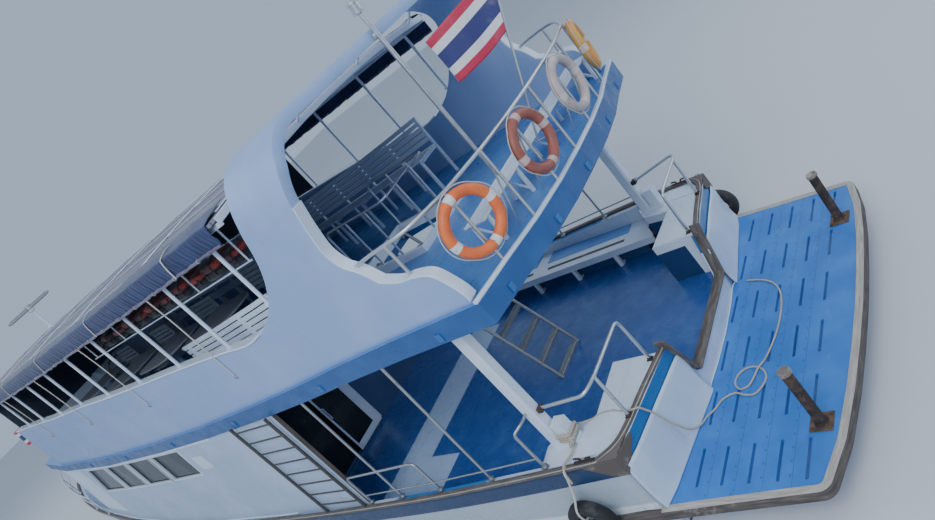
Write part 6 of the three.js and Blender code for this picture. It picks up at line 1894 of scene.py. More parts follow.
@dataclass
class UpperDeck:
    """Upper deck's edge, side walls, arch and helm."""

    wall: float = ARCH_WALL

    def notch(self) -> Array:
        """Side view of the wall's aft edge, from the deck up to the foot of the pillar."""
        line = along_curve([[1.80, 3.58], [1.81, 3.66], [1.86, 3.81], [1.97, 3.99],
                            [2.13, 4.045], [2.32, 4.07], [2.53, 4.16]], 36)
        line[:, 0] = np.maximum.accumulate(line[:, 0]) + 1e-4 * np.arange(36)
        return line

    def pillar(self) -> tuple[Array, Array]:
        """Side view of the pillar's aft and front edges, up to where the arch bends over."""
        aft = along_curve([[2.53, 4.16], [2.65, 4.365], [2.76, 4.48], [2.81, 4.64], [2.76, 4.93],
                           [2.661, 5.23]], 30)
        front = along_curve([[4.27, 4.43], [4.08, 4.56], [3.78, 4.85], [3.6, 5.15],
                             [3.565, 5.23]], 30)
        return aft, front

    def side(self) -> Shape:
        """Port wall in upright strips from the deck to the notch, the pillar and the sill."""
        aft, front = self.pillar()
        foot = aft[0] + (front[0] - aft[0]) * np.linspace(0, 1, 25)[:, None]
        bend = along_curve([[4.27, 4.43], [4.5, 4.33], [4.75, 4.245], [5.0, 4.205]], 16)
        x = np.linspace(5.0, 16.69, 60)[1:]
        sill = np.column_stack([x, np.interp(x, SILL[:, 0], SILL[:, 1])])
        upper = np.vstack([self.notch()[:-1], foot, bend[1:], sill])
        low = deck_top(upper[:, 0]) + 0.001
        z = low[:, None] + np.linspace(0, 1, 13) * (upper[:, 1] - low)[:, None]
        x = np.broadcast_to(upper[:, :1], z.shape)
        return grid(place_list(x, upper_half(x), z))

    def arch(self) -> Shape:
        """Both pillars and the arch in one: rows between the pillar's edges, then over.

        Above the pillars the section turns inwards on a quarter circle and runs level to the
        centreline, and its edges keep to the pillar's side view at each height.
        """
        low, high = self.pillar()
        share = np.linspace(0, 1, 25)[None, :, None]
        flat = low[:, None] * (1 - share) + high[:, None] * share
        rows = place_list(flat[..., 0], upper_half(flat[..., 0]), flat[..., 1])
        bend, level = 19, 18
        quarter = np.linspace(0, np.pi / 2, bend + 1)[1:]
        turn = np.concatenate([quarter, np.full(level, np.pi / 2)])
        inset = np.concatenate([np.zeros(bend), np.linspace(0, 1, level + 1)[1:]])
        z = ARCH_TOP - ARCH_RADIUS + ARCH_RADIUS * np.sin(turn)
        aft = np.interp(z, [5.23, 5.6, 5.93], [2.661, 2.55, 2.563])
        front = np.interp(z, [5.23, 5.4, 5.6, 5.93], [3.565, 3.5, 3.47, 3.523])
        t = share[0, :, 0]
        x = aft[:, None] * (1 - t) + front[:, None] * t
        side = upper_half(x) - ARCH_RADIUS
        y = (side + ARCH_RADIUS * np.cos(turn)[:, None]) * (1 - inset[:, None])
        top = np.stack([x, y, np.broadcast_to(z[:, None], x.shape)], axis=-1)
        port = np.vstack([rows, top])
        return flipped(grid(np.vstack([port, starboard(port)[1:]])))

    def edge_trim(self) -> Shape:
        """White edging on the port wall's aft edge, up the notch and the pillar."""
        edge = np.vstack([self.notch()[:-1], self.pillar()[0]])
        path = place_list(edge[:, 0], upper_half(edge[:, 0]) - self.wall / 2, edge[:, 1])
        return bar(path, -0.006, 0.012, -0.069, 0.069, 0.004, up=ACROSS)

    def sill_trim(self) -> Shape:
        """Port rail on top of the side wall."""
        x = np.linspace(4.72, 16.68, 60)
        z = smooth(SILL[:, 0], SILL[:, 1], x)
        path = place_list(x, upper_half(x) - RAIL_IN, z + 0.004)
        return bar(path, -0.085, 0.085, -0.004, 0.022, 0.008)

    def kerb(self) -> Shape:
        """White kerb along the deck's stern edge."""
        port = np.array([[x + 0.03, y, 3.5505] for x, y in DECK_EDGE])
        path = np.vstack([starboard(port[1:]), port])
        return bar(path, -0.028, 0.028, 0, 0.035, 0.006)

    def blocks(self) -> Shape:
        """Small bolted blocks on the fascia, on both sides and across the stern."""
        x = np.array([2.4, 4.6, 7.0, 9.4, 11.8, 14.2])
        start = place_list(x, deck_half(x) + 0.004, fascia_low(x) + 0.03)
        side = boards(start, start + [0, 0, 0.10], 0.08, 0.02, up=ACROSS)
        y = np.array([-1.9, -0.9, 0.1, 1.0, 1.95])
        xs = np.interp(np.abs(y), [p[1] for p in DECK_EDGE], [p[0] for p in DECK_EDGE])
        start = place_list(xs - 0.006, y, 3.31)
        back = boards(start, start + [0, 0, 0.10], 0.07, 0.02, up=ALONG)
        return both_sides(side) + back

    def eyelets(self) -> tuple[Shape, Shape]:
        """Four ropes from the eaves down the port wall, and the eyelets that hold them."""
        x = np.array([5.9, 8.7, 11.5, 14.3])
        sill = np.interp(x, SILL[:, 0], SILL[:, 1])
        half = upper_half(x)
        ropes = []
        for a, h, s in zip(x, half, sill):
            path = along_curve([
                [a - 0.05, h + 0.058, 5.36], [a - 0.03, h + 0.035, 5.0],
                [a, h + 0.02, s + 0.15], [a, h + 0.016, s - 0.35],
            ], 24)
            ropes.append(sweep(path, circle(0.009, 8)))
        eyes = [ring_of([a, h + 0.012, s - 0.37], ALONG, 0.024, 0.007, 10)
                for a, h, s in zip(x, half, sill)]
        return joined(ropes), joined(eyes)

    def build(self) -> None:
        """Makes and paints the upper deck's pieces."""
        dress(DeckPaint("deck_paint"), "upper_deck")
        make_piece("upper_shell", both_sides(self.side()) + self.arch(), PALE_BLUE,
                   "pale_blue_paint", *two("side_wall"), "stern_arch", closed=False,
                   weld=True, wall=self.wall, bevel=0.018, sharp=45)
        make_piece("shell_edging", both_sides(self.edge_trim()), WHITE, "white_paint")
        make_piece("sill_rails", both_sides(self.sill_trim()), WHITE, "white_paint")
        make_piece("deck_kerb", self.kerb(), WHITE, "white_paint")
        make_piece("fascia_blocks", self.blocks(), FASCIA_BLUE, "deck_paint")
        ropes, eyes = self.eyelets()
        make_piece("wall_ropes", ropes, PALE_ROPE, "rope_fibre")
        make_piece("wall_eyelets", eyes, DULL_STEEL, "stainless_steel")
        dress(WHITE, "upper_front_wall", "helm_console")
        dress(DECK_WOOD, "steering_wheel")


@dataclass
class UpperSeats:
    """Slatted benches and tables of the upper deck."""

    height: float = 0.58
    bay: float = 0.9
    back_pitch: float = 0.088

    def long_bench(self, side: int, aft: float, front: float, inner: float,
                   outer: float) -> Shape:
        """Bench of long slats on frames: five seat slats and five back slats.

        Args:
            side: 1 for port, -1 for starboard.
            aft: Place of the after end.
            front: Place of the forward end.
            inner: Distance of the seat's front edge from the centreline.
            outer: Distance of the back from the centreline.

        Returns:
            The bench.
        """
        x = np.linspace(aft, front, 16)
        parts = []
        for k in range(5):
            y = side * (inner + 0.03 + k * (outer - inner - 0.03) / 4.6)
            parts.append(bar(place_list(x, y, deck_top(x) + self.height - 0.012),
                             -0.042, 0.042, -0.012, 0.012))
        for k in range(5):
            z = deck_top(x) + self.height + 0.11 + k * self.back_pitch
            y = side * (outer - 0.005 + 0.006 * k)
            parts.append(bar(place_list(x, y, z), -0.011, 0.011, -0.034, 0.034))
        at = np.arange(aft + 0.04, front, 0.84)
        foot = deck_top(at) + 0.0005
        legs = place_list(at, side * (inner + 0.025), foot)
        backs = place_list(at, side * (outer + 0.03), foot)
        parts.append(boards(legs, legs + [0, 0, 0.55], 0.05, 0.04, up=ALONG))
        parts.append(boards(backs, backs + [0, 0, 1.05], 0.045, 0.04, up=ALONG))
        parts.append(boards(legs + [0, 0, 0.53], backs + [0, 0, 0.53], 0.04, 0.045))
        return joined(parts)

    def booth(self, x: float) -> tuple[Shape, Shape]:
        """Short bench with its back to the centreline, and the round-ended table beside it."""
        floor = float(max(deck_top(x), deck_top(x + self.bay))) + 0.0005
        parts = []
        seat = place_list(x, 0.24 + 0.115 * np.arange(5), floor + 0.438)
        parts.append(boards(seat, seat + [self.bay, 0, 0], 0.1, 0.022))
        rest = place_list(x, 0.192, floor + 0.68 + self.back_pitch * np.arange(5))
        parts.append(boards(rest, rest + [self.bay, 0, 0], 0.022, 0.07))
        for u in (x + 0.02, x + 0.88):
            for y, tall in ((0.2, 1.06), (0.68, 0.43)):
                parts.append(boards([u, y, floor], [u, y, floor + tall], 0.04, 0.04, up=ALONG))
            parts.append(boards([u, 0.2, floor + 0.40], [u, 0.68, floor + 0.40], 0.035, 0.05))
        top = float(max(deck_top(x), deck_top(x + 2.05))) + 0.78
        outline = rounded([[x + u, v, 0] for u, v in (
            (2.05, 0.32), (2.05, 1.44), (1.0, 1.44), (0.62, 1.3), (0.5, 0.93), (0.56, 0.5),
            (0.87, 0.3), (2.03, 0.3))], 0.30)[:, :2]
        table = plate(outline, top - 0.033, top, 0.008)
        pillar = turned([[0.2, 0.0], [0.2, 0.02], [0.06, 0.05], [0.055, 0.6], [0.15, 0.72]],
                        (x + 1.4, 0.875, float(deck_top(x + 1.4)) + 0.0205), sides=24)
        return joined(parts), table + pillar

    def stern_bench(self) -> Shape:
        """Bench of five long slats behind the stern rail."""
        aft, seat, star, port, pitch = 1.79, 3.9, -2.05, 1.45, 0.064
        x = aft + 0.025 + pitch * np.arange(5)
        start = place_list(x, star, seat - 0.011)
        slats = boards(start, start + [0, port - star, 0], 0.05, 0.022)
        y = np.array([-1.95, -1.13, -0.3, 0.53, 1.35])
        front = aft + 4 * pitch + 0.05
        floor = float(deck_top(aft)) + 0.0005
        bars = [boards(place_list(aft, y, seat - 0.042), place_list(front, y, seat - 0.042),
                       0.04, 0.036)]
        for u in (aft + 0.02, front - 0.02):
            bars.append(boards(place_list(u, y, floor), place_list(u, y, seat - 0.05), 0.04, 0.04,
                               up=ALONG))
        bars.append(boards(place_list(aft + 0.03, y, floor + 0.05),
                           place_list(front - 0.03, y, seat - 0.08), 0.03, 0.016, up=ACROSS))
        return joined([slats, *bars])

    def build(self) -> None:
        """Makes the seats and tables."""
        star = self.long_bench(-1, 4.55, 15.6, 1.25, 1.75)
        make_piece("starboard_seats", star, WHITE, "white_paint", "upper_seating_starboard")
        first, pitch, aft = 7.3, 2.2, 4.55
        parts = [self.booth(first + pitch * i) for i in range(4)]
        wall_bench = self.long_bench(1, aft, first, 1.64, 2.13)
        make_piece("wall_seat", wall_bench, WHITE, "white_paint")
        make_piece("booth_seats", joined([p[0] for p in parts]), TABLE_GREY, "white_paint",
                   "upper_seating_port")
        make_piece("tables", joined([p[1] for p in parts]), TABLE_GREY, "white_paint")
        make_piece("stern_seat", self.stern_bench(), WHITE, "white_paint", "stern_bench")


@dataclass
class Rails:
    """Stern rail with its staff, stairwell rail, bow rail and mast."""

    top: float = 4.45

    def stern(self) -> Shape:
        """Rail round the upper stern with posts, braces, staff and its clamps."""
        port = np.vstack([
            np.column_stack([RAIL_POSTS[1:], np.full(3, self.top)]),
            [[1.95, 2.19, self.top]],
            [[x, float(upper_half(x)) - RAIL_IN, self.top - d]
             for x, d in ((2.2, 0), (2.5, 0.02), (2.78, 0.06))],
        ])
        route = np.vstack([starboard(port), [[1.41, 0, self.top]], port])
        parts = [tube(route, 0.021, 0.12)]
        posts = np.vstack([RAIL_POSTS, RAIL_POSTS[1:] * np.array([1, -1])])
        for x, y in posts:
            foot = float(deck_top(x))
            parts.append(tube([[x, y, foot], [x, y, self.top]], 0.018))
            parts.append(turned([[0.048, 0.0003], [0.048, 0.006], [0.028, 0.010], [0.021, 0.03]],
                                (x, y, foot), sides=20))
        for x, y in ((1.43, 0.59), (1.43, -0.59), (1.5, 1.16), (1.5, -1.16)):
            parts.append(tube([[x, y, self.top - 0.15], [x + 0.23, y, deck_top(x) + 0.006]],
                              0.011))
        for side in (1, -1):
            y = side * (float(upper_half(2.2)) - RAIL_IN)
            parts.append(tube([[2.2, y, 4.0], [2.2, y, self.top]], 0.018))
        foot, truck, middle = (1.744, 0, 3.85), (0.9, 0, 5.65), 1.41
        parts.append(tube([foot, truck], 0.014))
        parts.append(turned([[0.006, -0.02], [0.02, -0.012], [0.024, 0], [0.02, 0.012],
                             [0.004, 0.02]], truck, sides=16))
        parts.append(tube([[middle, 0, foot[2]], foot], 0.011))
        parts.append(tube([[middle, 0, self.top], [middle + 0.06, 0, self.top]], 0.011))
        return joined(parts)

    def stairwell(self) -> tuple[Shape, Shape]:
        """Bent guard rail and the coaming that it stands on."""
        aft, front, star, port, top = 3.66, 5.0, -0.42, 0.64, 4.37
        base = float(deck_top(front)) - 0.02
        e = 0.03
        route = [[front - 0.06, port + e, base + 0.06], [front - 0.06, port + e, top],
                 [aft - e, port + e, top], [aft - e, star - e, top],
                 [front - 0.06, star - e, top], [front - 0.06, star - e, base + 0.06]]
        parts = [tube(route, 0.018, 0.11)]
        for x, y in ((aft + 0.36, port + e), (aft + 0.8, port + e), (aft + 0.36, star - e),
                     (aft + 0.8, star - e), (aft - e, 0.3), (aft - e, -0.08)):
            parts.append(tube([[x, y, base + 0.04], [x, y, top]], 0.016))
        low, high = base + 0.0205, float(deck_top(aft)) + 0.09
        mid = (low + high) / 2
        tall = (high - low) / 2
        mitre = 1.41421
        mitred = bar_section(-e, e, -tall, tall, 0.008) * np.array([mitre, 1.0])
        coaming = sweep(np.array([[aft - e, star - e, mid], [front + e, star - e, mid],
                                  [front + e, port + e, mid], [aft - e, port + e, mid]]),
                        mitred, up=UP, closed=True)
        return joined(parts), coaming

    def bow(self) -> Shape:
        """Rail round the foredeck."""
        fine = np.linspace(17.5, 22.9, 40)
        top = smooth(HULL[:, 0], HULL[:, 2], fine) + 0.68
        half = np.maximum(smooth(HULL[:, 0], HULL[:, 1], fine) - 0.012, 0.12)
        port = np.column_stack([fine, half, top])
        loop = np.vstack([port, [[23.02, 0.06, top[-1]], [23.03, 0, top[-1]],
                                 [23.02, -0.06, top[-1]]], starboard(port)])
        parts = [tube(loop, 0.019), tube(loop - np.array([0, 0, 0.3]), 0.012)]
        for a in (17.5, 18.5, 19.5, 20.4, 21.3, 22.1, 22.65):
            for side in (1, -1):
                y = side * float(np.maximum(rim(a) - 0.012, 0.12))
                parts.append(tube([[a, y, rim_z(a) + 0.03], [a, y, rim_z(a) + 0.68]], 0.017))
                parts.append(turned([[0.042, 0], [0.042, 0.005], [0.02, 0.02]],
                                    (a, y, float(rim_z(a)) + 0.0405), sides=16))
        return joined(parts)

    def mast(self) -> Shape:
        """Mast abaft the arch with its foot, bracket and lamp."""
        x, top = 2.52, 6.13
        foot = float(deck_top(x))
        return joined([
            turned([[0.08, 0.0003], [0.08, 0.007], [0.045, 0.012], [0.031, 0.05], [0.03, 0.06],
                    [0.03, top - foot]], (x, 0, foot), sides=24),
            boards([2.535, 0, 5.84], [2.5635, 0, 5.84], 0.12, 0.06),
            turned([[0.05, -0.005], [0.074, 0.0], [0.075, 0.03], [0.066, 0.035], [0.066, 0.11],
                    [0.075, 0.115], [0.074, 0.14], [0.04, 0.15]], (x, 0, top), sides=24),
        ])

    def build(self) -> None:
        """Makes the rails."""
        make_piece("stern_guard_rail", self.stern(), TUBE_STEEL, "stainless_steel",
                   "stern_rail")
        rail, coaming = self.stairwell()
        make_piece("stairwell_guard", rail, TUBE_STEEL, "stainless_steel", "stairwell_rail")
        make_piece("stairwell_coaming", coaming, WHITE, "white_paint")
        make_piece("bow_guard_rail", self.bow(), TUBE_STEEL, "stainless_steel", "bow_rail")
        make_piece("lamp_mast", self.mast(), TUBE_STEEL, "stainless_steel", "mast")
        dress(RUST, "bow_bitt")


@dataclass
class Lifebuoys:
    """Four ring buoys on the stern rail."""

    ring: float = 0.3
    section: float = 0.058
    height: float = 4.08
    outer_turn: float = 0.42
    inner_turn: float = 0.06

    def build(self) -> None:
        """Makes the buoys and their grab lines."""
        finishes = {
            "port_outer": BuoyFoam("buoy_bright", (0.82, 0.18, 0.04), (0.70, 0.13, 0.035)),
            "port_inner": BuoyFoam("buoy_faded", (0.34, 0.10, 0.07), (0.24, 0.075, 0.055), 0.5),
            "starboard_inner": BuoyFoam("buoy_pale", (0.50, 0.42, 0.42), (0.40, 0.34, 0.35),
                                        0.35),
            "starboard_outer": BuoyFoam("buoy_worn", (0.68, 0.27, 0.05), (0.60, 0.36, 0.08),
                                        0.6),
        }
        places = (("port_outer", 3, 1), ("port_inner", 1, 1), ("starboard_inner", 1, -1),
                  ("starboard_outer", 3, -1))
        lines = []
        for name, post, side in places:
            x, y = RAIL_POSTS[post]
            turn = self.outer_turn if post == 3 else self.inner_turn
            out = 0.018 + self.section - 0.002
            axis = np.array([math.cos(turn), -side * math.sin(turn), 0])
            centre = np.array([x - out * math.cos(turn), side * (y + out * math.sin(turn)),
                               self.height])
            ring = ring_of(centre, axis, self.ring, self.section - 0.001, 20)
            make_piece(f"buoy_{name}", ring, finishes[name], "orange_foam",
                       f"lifebuoy_{name}", sharp=80)
            lines.append(self.grab_line(centre, axis))
        make_piece("buoy_lines", joined(lines), PALE_ROPE, "rope_fibre")

    def grab_line(self, centre: Array, axis: Array) -> Shape:
        """Line held at four places, slack between them: radius r + d * |sin 2a|."""
        first = unit(np.cross(axis, [0.3, 0.2, 1.0]))
        second = np.cross(axis, first)
        a = np.linspace(0, 2 * np.pi, 96, endpoint=False)[:, None]
        start = 2 * np.pi * 0.08
        r = self.ring + self.section + 0.004 + 0.022 * np.abs(np.sin(2 * (a + start)))
        path = centre + r * (np.cos(a) * first + np.sin(a) * second)
        return sweep(path, circle(0.006, 8), up=axis, closed=True)


@dataclass
class Canopy:
    """Roof, its frame, tarpaulins, curtain, life jackets and scanner."""

    post: float = 0.025
    half_over: float = 0.02
    hem_z: tuple[float, float] = (5.35, 5.30)
    radar: tuple[float, float, float] = (16.85, 0, 6.44)

    def panel(self) -> Shape:
        """Roof boards: a parabola across, carried along the boat, 40 mm thick."""
        x = np.linspace(3.75, 17.0, 40)[:, None]
        t = np.linspace(1, -1, 41)[None, :]
        half = upper_half(x) + self.half_over
        y = t * half
        z = EAVE + CAMBER * (1 - t * t) + 0 * x
        top = np.stack([x + 0 * t, y, z + ROOF_THICKNESS], -1)
        low = np.stack([x + 0 * t, y, z + 0.002], -1)[:, ::-1]
        rings = np.concatenate([top, low], axis=1)
        shape = grid(rings, wrap=(False, True))
        rows, n = rings.shape[:2]
        ends = np.arange(n)
        last = (rows - 1) * n
        shape.faces.append((np.stack([ends, last + ends[::-1]]), np.zeros((2, n, 2))))
        return shape

    def lining(self) -> Shape:
        """Dark lining under the roof boards."""
        x = np.linspace(3.76, 16.98, 30)[:, None]
        t = np.linspace(1, -1, 31)[None, :]
        y = t * (upper_half(x) + 0.01)
        z = EAVE + CAMBER * (1 - t * t) - 0.003 + 0 * x
        return grid(np.stack([x + 0 * t, y, z], -1))

    def battens(self) -> Shape:
        """Pale battens along the roof."""
        x = np.linspace(3.80, 16.9, 30)
        parts = []
        for t in (-0.84, -0.6, -0.36, -0.12, 0.12, 0.36, 0.6, 0.84):
            y = t * (upper_half(x) + self.half_over)
            z = EAVE + CAMBER * (1 - t * t) + ROOF_THICKNESS
            parts.append(bar(place_list(x, y, z + 0.004), -0.02, 0.02, -0.006, 0.008, 0.003))
        return joined(parts)

    def bands(self) -> Shape:
        """Flat bands across the roof over the battens."""
        parts = []
        t = np.linspace(-0.92, 0.92, 31)
        for x in (3.80, 6.3, 9.1, 11.9, 14.7):
            half = float(upper_half(x)) + self.half_over
            z = EAVE + CAMBER * (1 - t * t) + ROOF_THICKNESS
            parts.append(bar(place_list(x, t * half, z + 0.014), -0.03, 0.03, -0.006, 0.006, 0.002))
        return joined(parts)

    def lacing(self) -> Shape:
        """White cord laced over the roof's after edge: a loop every 180 mm."""
        y = np.linspace(-2.2, 2.2, 401)
        half_loop, reach, edge = 0.09, 0.03, 3.745
        turn = y / half_loop * np.pi
        z = EAVE + CAMBER * (1 - (y / 2.5) ** 2) + 0.02
        path = np.column_stack([edge + reach * np.cos(turn), y, z + reach * np.sin(turn)])
        return sweep(path, circle(0.005, 6), up=(0, 1, 0.01))

    def frame(self) -> Shape:
        """Eave beams, posts, rafters, struts and the rack's bars."""
        beam, head, front, rack = 5.5225, 5.515, 16.85, 4.985
        parts = []
        x = np.linspace(3.71, 16.97, 30)
        for side in (1, -1):
            y = side * (upper_half(x) - RAIL_IN)
            parts.append(bar(place_list(x, y, beam), -0.025, 0.025, -0.0275, 0.0275, 0.005))
            for a in POSTS:
                y = side * float(upper_half(a) - RAIL_IN)
                sill = float(np.interp(a, SILL[:, 0], SILL[:, 1]))
                parts.append(tube([[a, y, sill - 0.03], [a, y, head]], self.post, sides=16))
                parts.append(turned([[0.05, 0], [0.05, 0.012], [0.03, 0.02], [0.0255, 0.04]],
                                    (a, y, sill + 0.018), sides=16))
            half = float(upper_half(front))
            y = side * (half - 0.15)
            parts.append(tube([[front, y, deck_top(16.875)], [front, y, head]], self.post))
            parts.append(boards([front, side * (half - 0.175), beam],
                                [front, side * (half - RAIL_IN), beam], 0.05, 0.055))
        for a in [*POSTS, front]:
            y = np.linspace(-1, 1, 33) * float(upper_half(a) - RAIL_IN)
            z = roof_under(a, y) - 0.030
            parts.append(bar(place_list(a, y, z), -0.02, 0.02, -0.04, 0.028, 0.005))
        y = np.linspace(-1, 1, 33) * float(upper_half(3.725) - RAIL_IN)
        parts.append(bar(place_list(3.725, y, roof_under(3.725, y)),
                         -0.02, 0.02, -0.05, 0.038, 0.006))
        for y, z in ((-2.05, 5.79), (-0.7, 5.865), (0.7, 5.865), (2.05, 5.79)):
            parts.append(tube([[3.50, y, z], [3.722, y, roof_under(3.75, y)]], 0.018))
        for y in (1.75, 2.18):
            parts.append(tube([[4.15, y, rack], [9.9, y, rack]], 0.012))
            for a in POSTS[[0, 1, 3, 4]]:
                parts.append(tube([[a, y, rack], [a, y, 5.605]], 0.012))
        return joined(parts)

    def tarp(self, side: int) -> tuple[Shape, Shape, tuple[float, float]]:
        """Tarpaulin over one eave, gathered below it, and the rolled hem on its lower edge.

        The section runs from the roof over the eave and down. Its points move outwards by
        waves along the boat whose height grows from nothing at the eave to its full size at
        the hem. Near the arch the port sheet reaches further in over the roof.

        Args:
            side: 1 for port, -1 for starboard.

        Returns:
            The sheet, its hem, and the sheet's flat size.
        """
        low = self.hem_z[side < 0]
        x = np.linspace(3.8, 16.95, 620)[:, None]
        edge = upper_half(x) + self.half_over
        top = EAVE + ROOF_THICKNESS
        length = 13.15
        v = np.linspace(0, 1, 26)[None, :]
        key = np.array([0, 0.24, 0.44, 0.52, 0.60, 0.72, 0.86, 1.0])
        out = np.array([-0.18, -0.07, 0.0, 0.016, 0.022, 0.026, 0.022, 0.016])
        lift = np.array([0.066, 0.046, 0.022, 0.012, -0.02, -0.10, -0.18, 0.0])
        lift[-1] = low + 0.02 - top
        lift[-2] = lift[-1] * 0.66
        lift[-3] = lift[-1] * 0.36
        y = edge + np.interp(v, key, out)
        z = top + np.interp(v, key, lift) + 0 * x
        grow = np.clip((v - 0.50) / 0.5, 0, 1) ** 0.8
        near = np.clip((6.9 - x) / 1.4, 0, 1)
        near = near * near * (3 - 2 * near) * (side > 0)
        reach = np.clip(-np.interp(v, key, out), 0, 1)
        wider, rise = 0.95, 0.12
        y = y - wider * near * reach
        z = z + rise * near * reach
        crinkle = ripple(x + 0.25 * v, side * 1.7, (0.083, 0.5), (0.131, 0.32), (0.045, 0.18))
        y = y + grow * (0.010 + 0.011 * crinkle * (1 + 0.5 * near))
        z = z + grow * 0.008 * ripple(x, 2.0 + side, (0.61, 0.6), (1.7, 0.8))
        z = z + (1 - grow) * 0.004 * ripple(x + v, side * 0.4, (0.37, 0.6), (0.9, 0.5))
        points = np.stack([x + 0.004 * grow * crinkle, side * y, z], -1)
        run = np.linalg.norm(np.diff(points, axis=1), axis=2).mean(axis=0)
        vs = np.concatenate([[0], np.cumsum(run)])
        shape = grid(points, us=x[:, 0], vs=vs)
        if side > 0:
            shape = flipped(shape)
        xs = np.linspace(3.82, 16.93, 420)
        path = place_list(xs, side * (upper_half(xs) + 0.050),
                          low + 0.018 + 0.006 * ripple(xs, 1.1, (0.7, 0.6), (0.29, 0.4)))
        size = 1 + 0.22 * ripple(xs, 0.4, (0.15, 0.5), (0.34, 0.6))
        hem = sweep(path, circle(0.019, 12), up=UP)
        ring = hem.points.reshape(len(xs), 12, 3)
        centre = path[:, None]
        hem.points = (centre + (ring - centre) * size[:, None, None]).reshape(-1, 3)
        return shape, hem, (length, float(vs[-1]))

    def curtain(self) -> tuple[Shape, tuple[float, float]]:
        """Curtain let down to starboard ahead of the open bays and across the front.

        It hangs inside the posts, a vertical sheet on a rounded route. It is moved across
        its route by waves that grow from the eave to its foot, and across the front, where
        the wall is low, its foot hangs lower by the drop.

        Returns:
            The sheet and its flat size.
        """
        head, inset, drop, aft, front, port = 5.49, 0.112, 0.72, 8.45, 16.76, 2.25
        xs = np.linspace(aft, front, 12)
        side = place_list(xs, -(upper_half(xs) - inset), 0)
        route = rounded([*side, [front, port, 0]], 0.10)
        route = along_curve(route, 620)
        run = np.concatenate([[0], np.cumsum(np.linalg.norm(np.diff(route, axis=0), axis=1))])
        ahead = tangents(route)
        out = np.cross(ahead, [0, 0, 1])
        v = np.linspace(0, 1, 16)[None, :, None]
        foot = np.interp(route[:, 0], SILL[:, 0], SILL[:, 1]) + 0.035
        foot = (foot - drop * np.clip((route[:, 1] + 2.27) / 0.08, 0, 1))[:, None, None]
        wave = ripple(run[:, None, None] + 0.1 * v, 0.9, (0.41, 0.5), (0.23, 0.3), (0.9, 0.5))
        points = route[:, None] + out[:, None] * (0.008 * wave * (0.3 + 0.7 * v))
        points[:, :, 2:] = head * (1 - v) + foot * v
        tall = float(np.mean(head - foot))
        shape = grid(points, us=run, vs=v[0, :, 0] * tall)
        return shape, (round(float(run[-1]), 3), round(tall, 3))

    def ties(self, side: int) -> Shape:
        """Short ties round the tarpaulin's hem."""
        low = self.hem_z[side < 0]
        parts = []
        for a in np.arange(4.35, 16.8, 0.62):
            y = side * (float(upper_half(a)) + 0.05)
            parts.append(ring_of([a, y, low + 0.018], ALONG, 0.023, 0.0035, 6))
        return joined(parts)

    def straps(self, side: int) -> Shape:
        """White webbing straps from the roof over the tarpaulin to its lower edge."""
        low = self.hem_z[side < 0]
        parts = []
        for a in (4.9, 7.7, 10.5, 13.3, 16.1):
            e = float(upper_half(a)) + self.half_over
            start = 0.075 if a < 6 else 0.055
            section = [[-0.21, start], [-0.1, 0.066], [0.0, 0.034], [0.024, 0.022],
                       [0.038, -0.02], [0.052, -0.12], [0.056, low + 0.01 - EAVE - 0.04]]
            path = along_curve([[a, side * (e + u), EAVE + ROOF_THICKNESS + w]
                                for u, w in section], 30)
            parts.append(bar(path, -0.015, 0.015, -0.0015, 0.0015, 0.0006, up=(0, side, 0.4)))
        return joined(parts)

    def jackets(self) -> tuple[Shape, Shape, Shape]:
        """Row of folded life jackets, their dark liners and their straps."""
        count, pitch, first = 11, 0.49, 4.29
        i = np.arange(count)
        x = first + pitch * i + 0.255
        tall = np.where(i % 2, 0.24, 0.205)
        wide = np.where(i % 2, 0.222, 0.20)
        low, middle = 4.998, 1.965
        upper = lumps(place_list(x, middle + 0.006 * (i % 3), low + tall * 0.72),
                      np.column_stack([np.full(count, 0.235), wide, tall * 0.27]), 3.2, 9)
        under = lumps(place_list(x + 0.01, middle, low + tall * 0.26),
                      np.column_stack([np.full(count, 0.245), wide, tall * 0.25]), 3.4, 9)
        for shape in (upper, under):
            p = shape.points
            fold = ripple(p[:, 0], 1.0, (0.11, 0.5), (0.07, 0.3)) + ripple(
                p[:, 1], 2.0, (0.13, 0.4), (0.06, 0.3))
            p[:, 2] += 0.008 * fold
        straps = []
        for a, t, w in zip(x, tall, wide):
            for d in (-0.1, 0.1):
                over = ((-w - 0.002, 0.2), (-w - 0.004, 0.75), (-w * 0.7, 1.0), (0, 1.02),
                        (w * 0.7, 1.0), (w + 0.004, 0.75), (w + 0.002, 0.2))
                path = along_curve([[a + d, middle + u, low + t * v] for u, v in over], 24)
                straps.append(bar(path, -0.018, 0.018, -0.0015, 0.0015, 0.0006, up=(0.01, 0.02, 1)))
        return upper, under, joined(straps)

    def scanner(self) -> tuple[Shape, Shape]:
        """Radar bar with rounded ends on its turning hub, and the pedestal under it."""
        turn, reach = math.radians(76), 0.6
        along = np.array([math.cos(turn), math.sin(turn), 0])
        s = np.linspace(-1, 1, 41)
        path = np.array(self.radar) + reach * s[:, None] * along
        size = np.clip(1 - np.abs(s) ** 14, 0.02, 1) ** 0.5
        section = bar_section(-0.055, 0.055, -0.045, 0.045, 0.018)
        bar = sweep(path, section, up=UP)
        ring = bar.points.reshape(len(s), 8, 3)
        bar.points = (path[:, None] + (ring - path[:, None]) * size[:, None, None]).reshape(-1, 3)
        hub = turned([[0.075, -0.0495], [0.08, -0.045], [0.08, 0.05], [0.07, 0.07], [0.03, 0.075]],
                     self.radar, sides=28)
        base = EAVE + CAMBER
        post = turned([[0.11, 0.0], [0.11, 0.05], [0.05, 0.07], [0.04, 0.09], [0.04, 0.60],
                       [0.085, 0.615], [0.09, 0.63], [0.09, 0.668]], (self.radar[0], 0, base), sides=28)
        return bar + hub, post

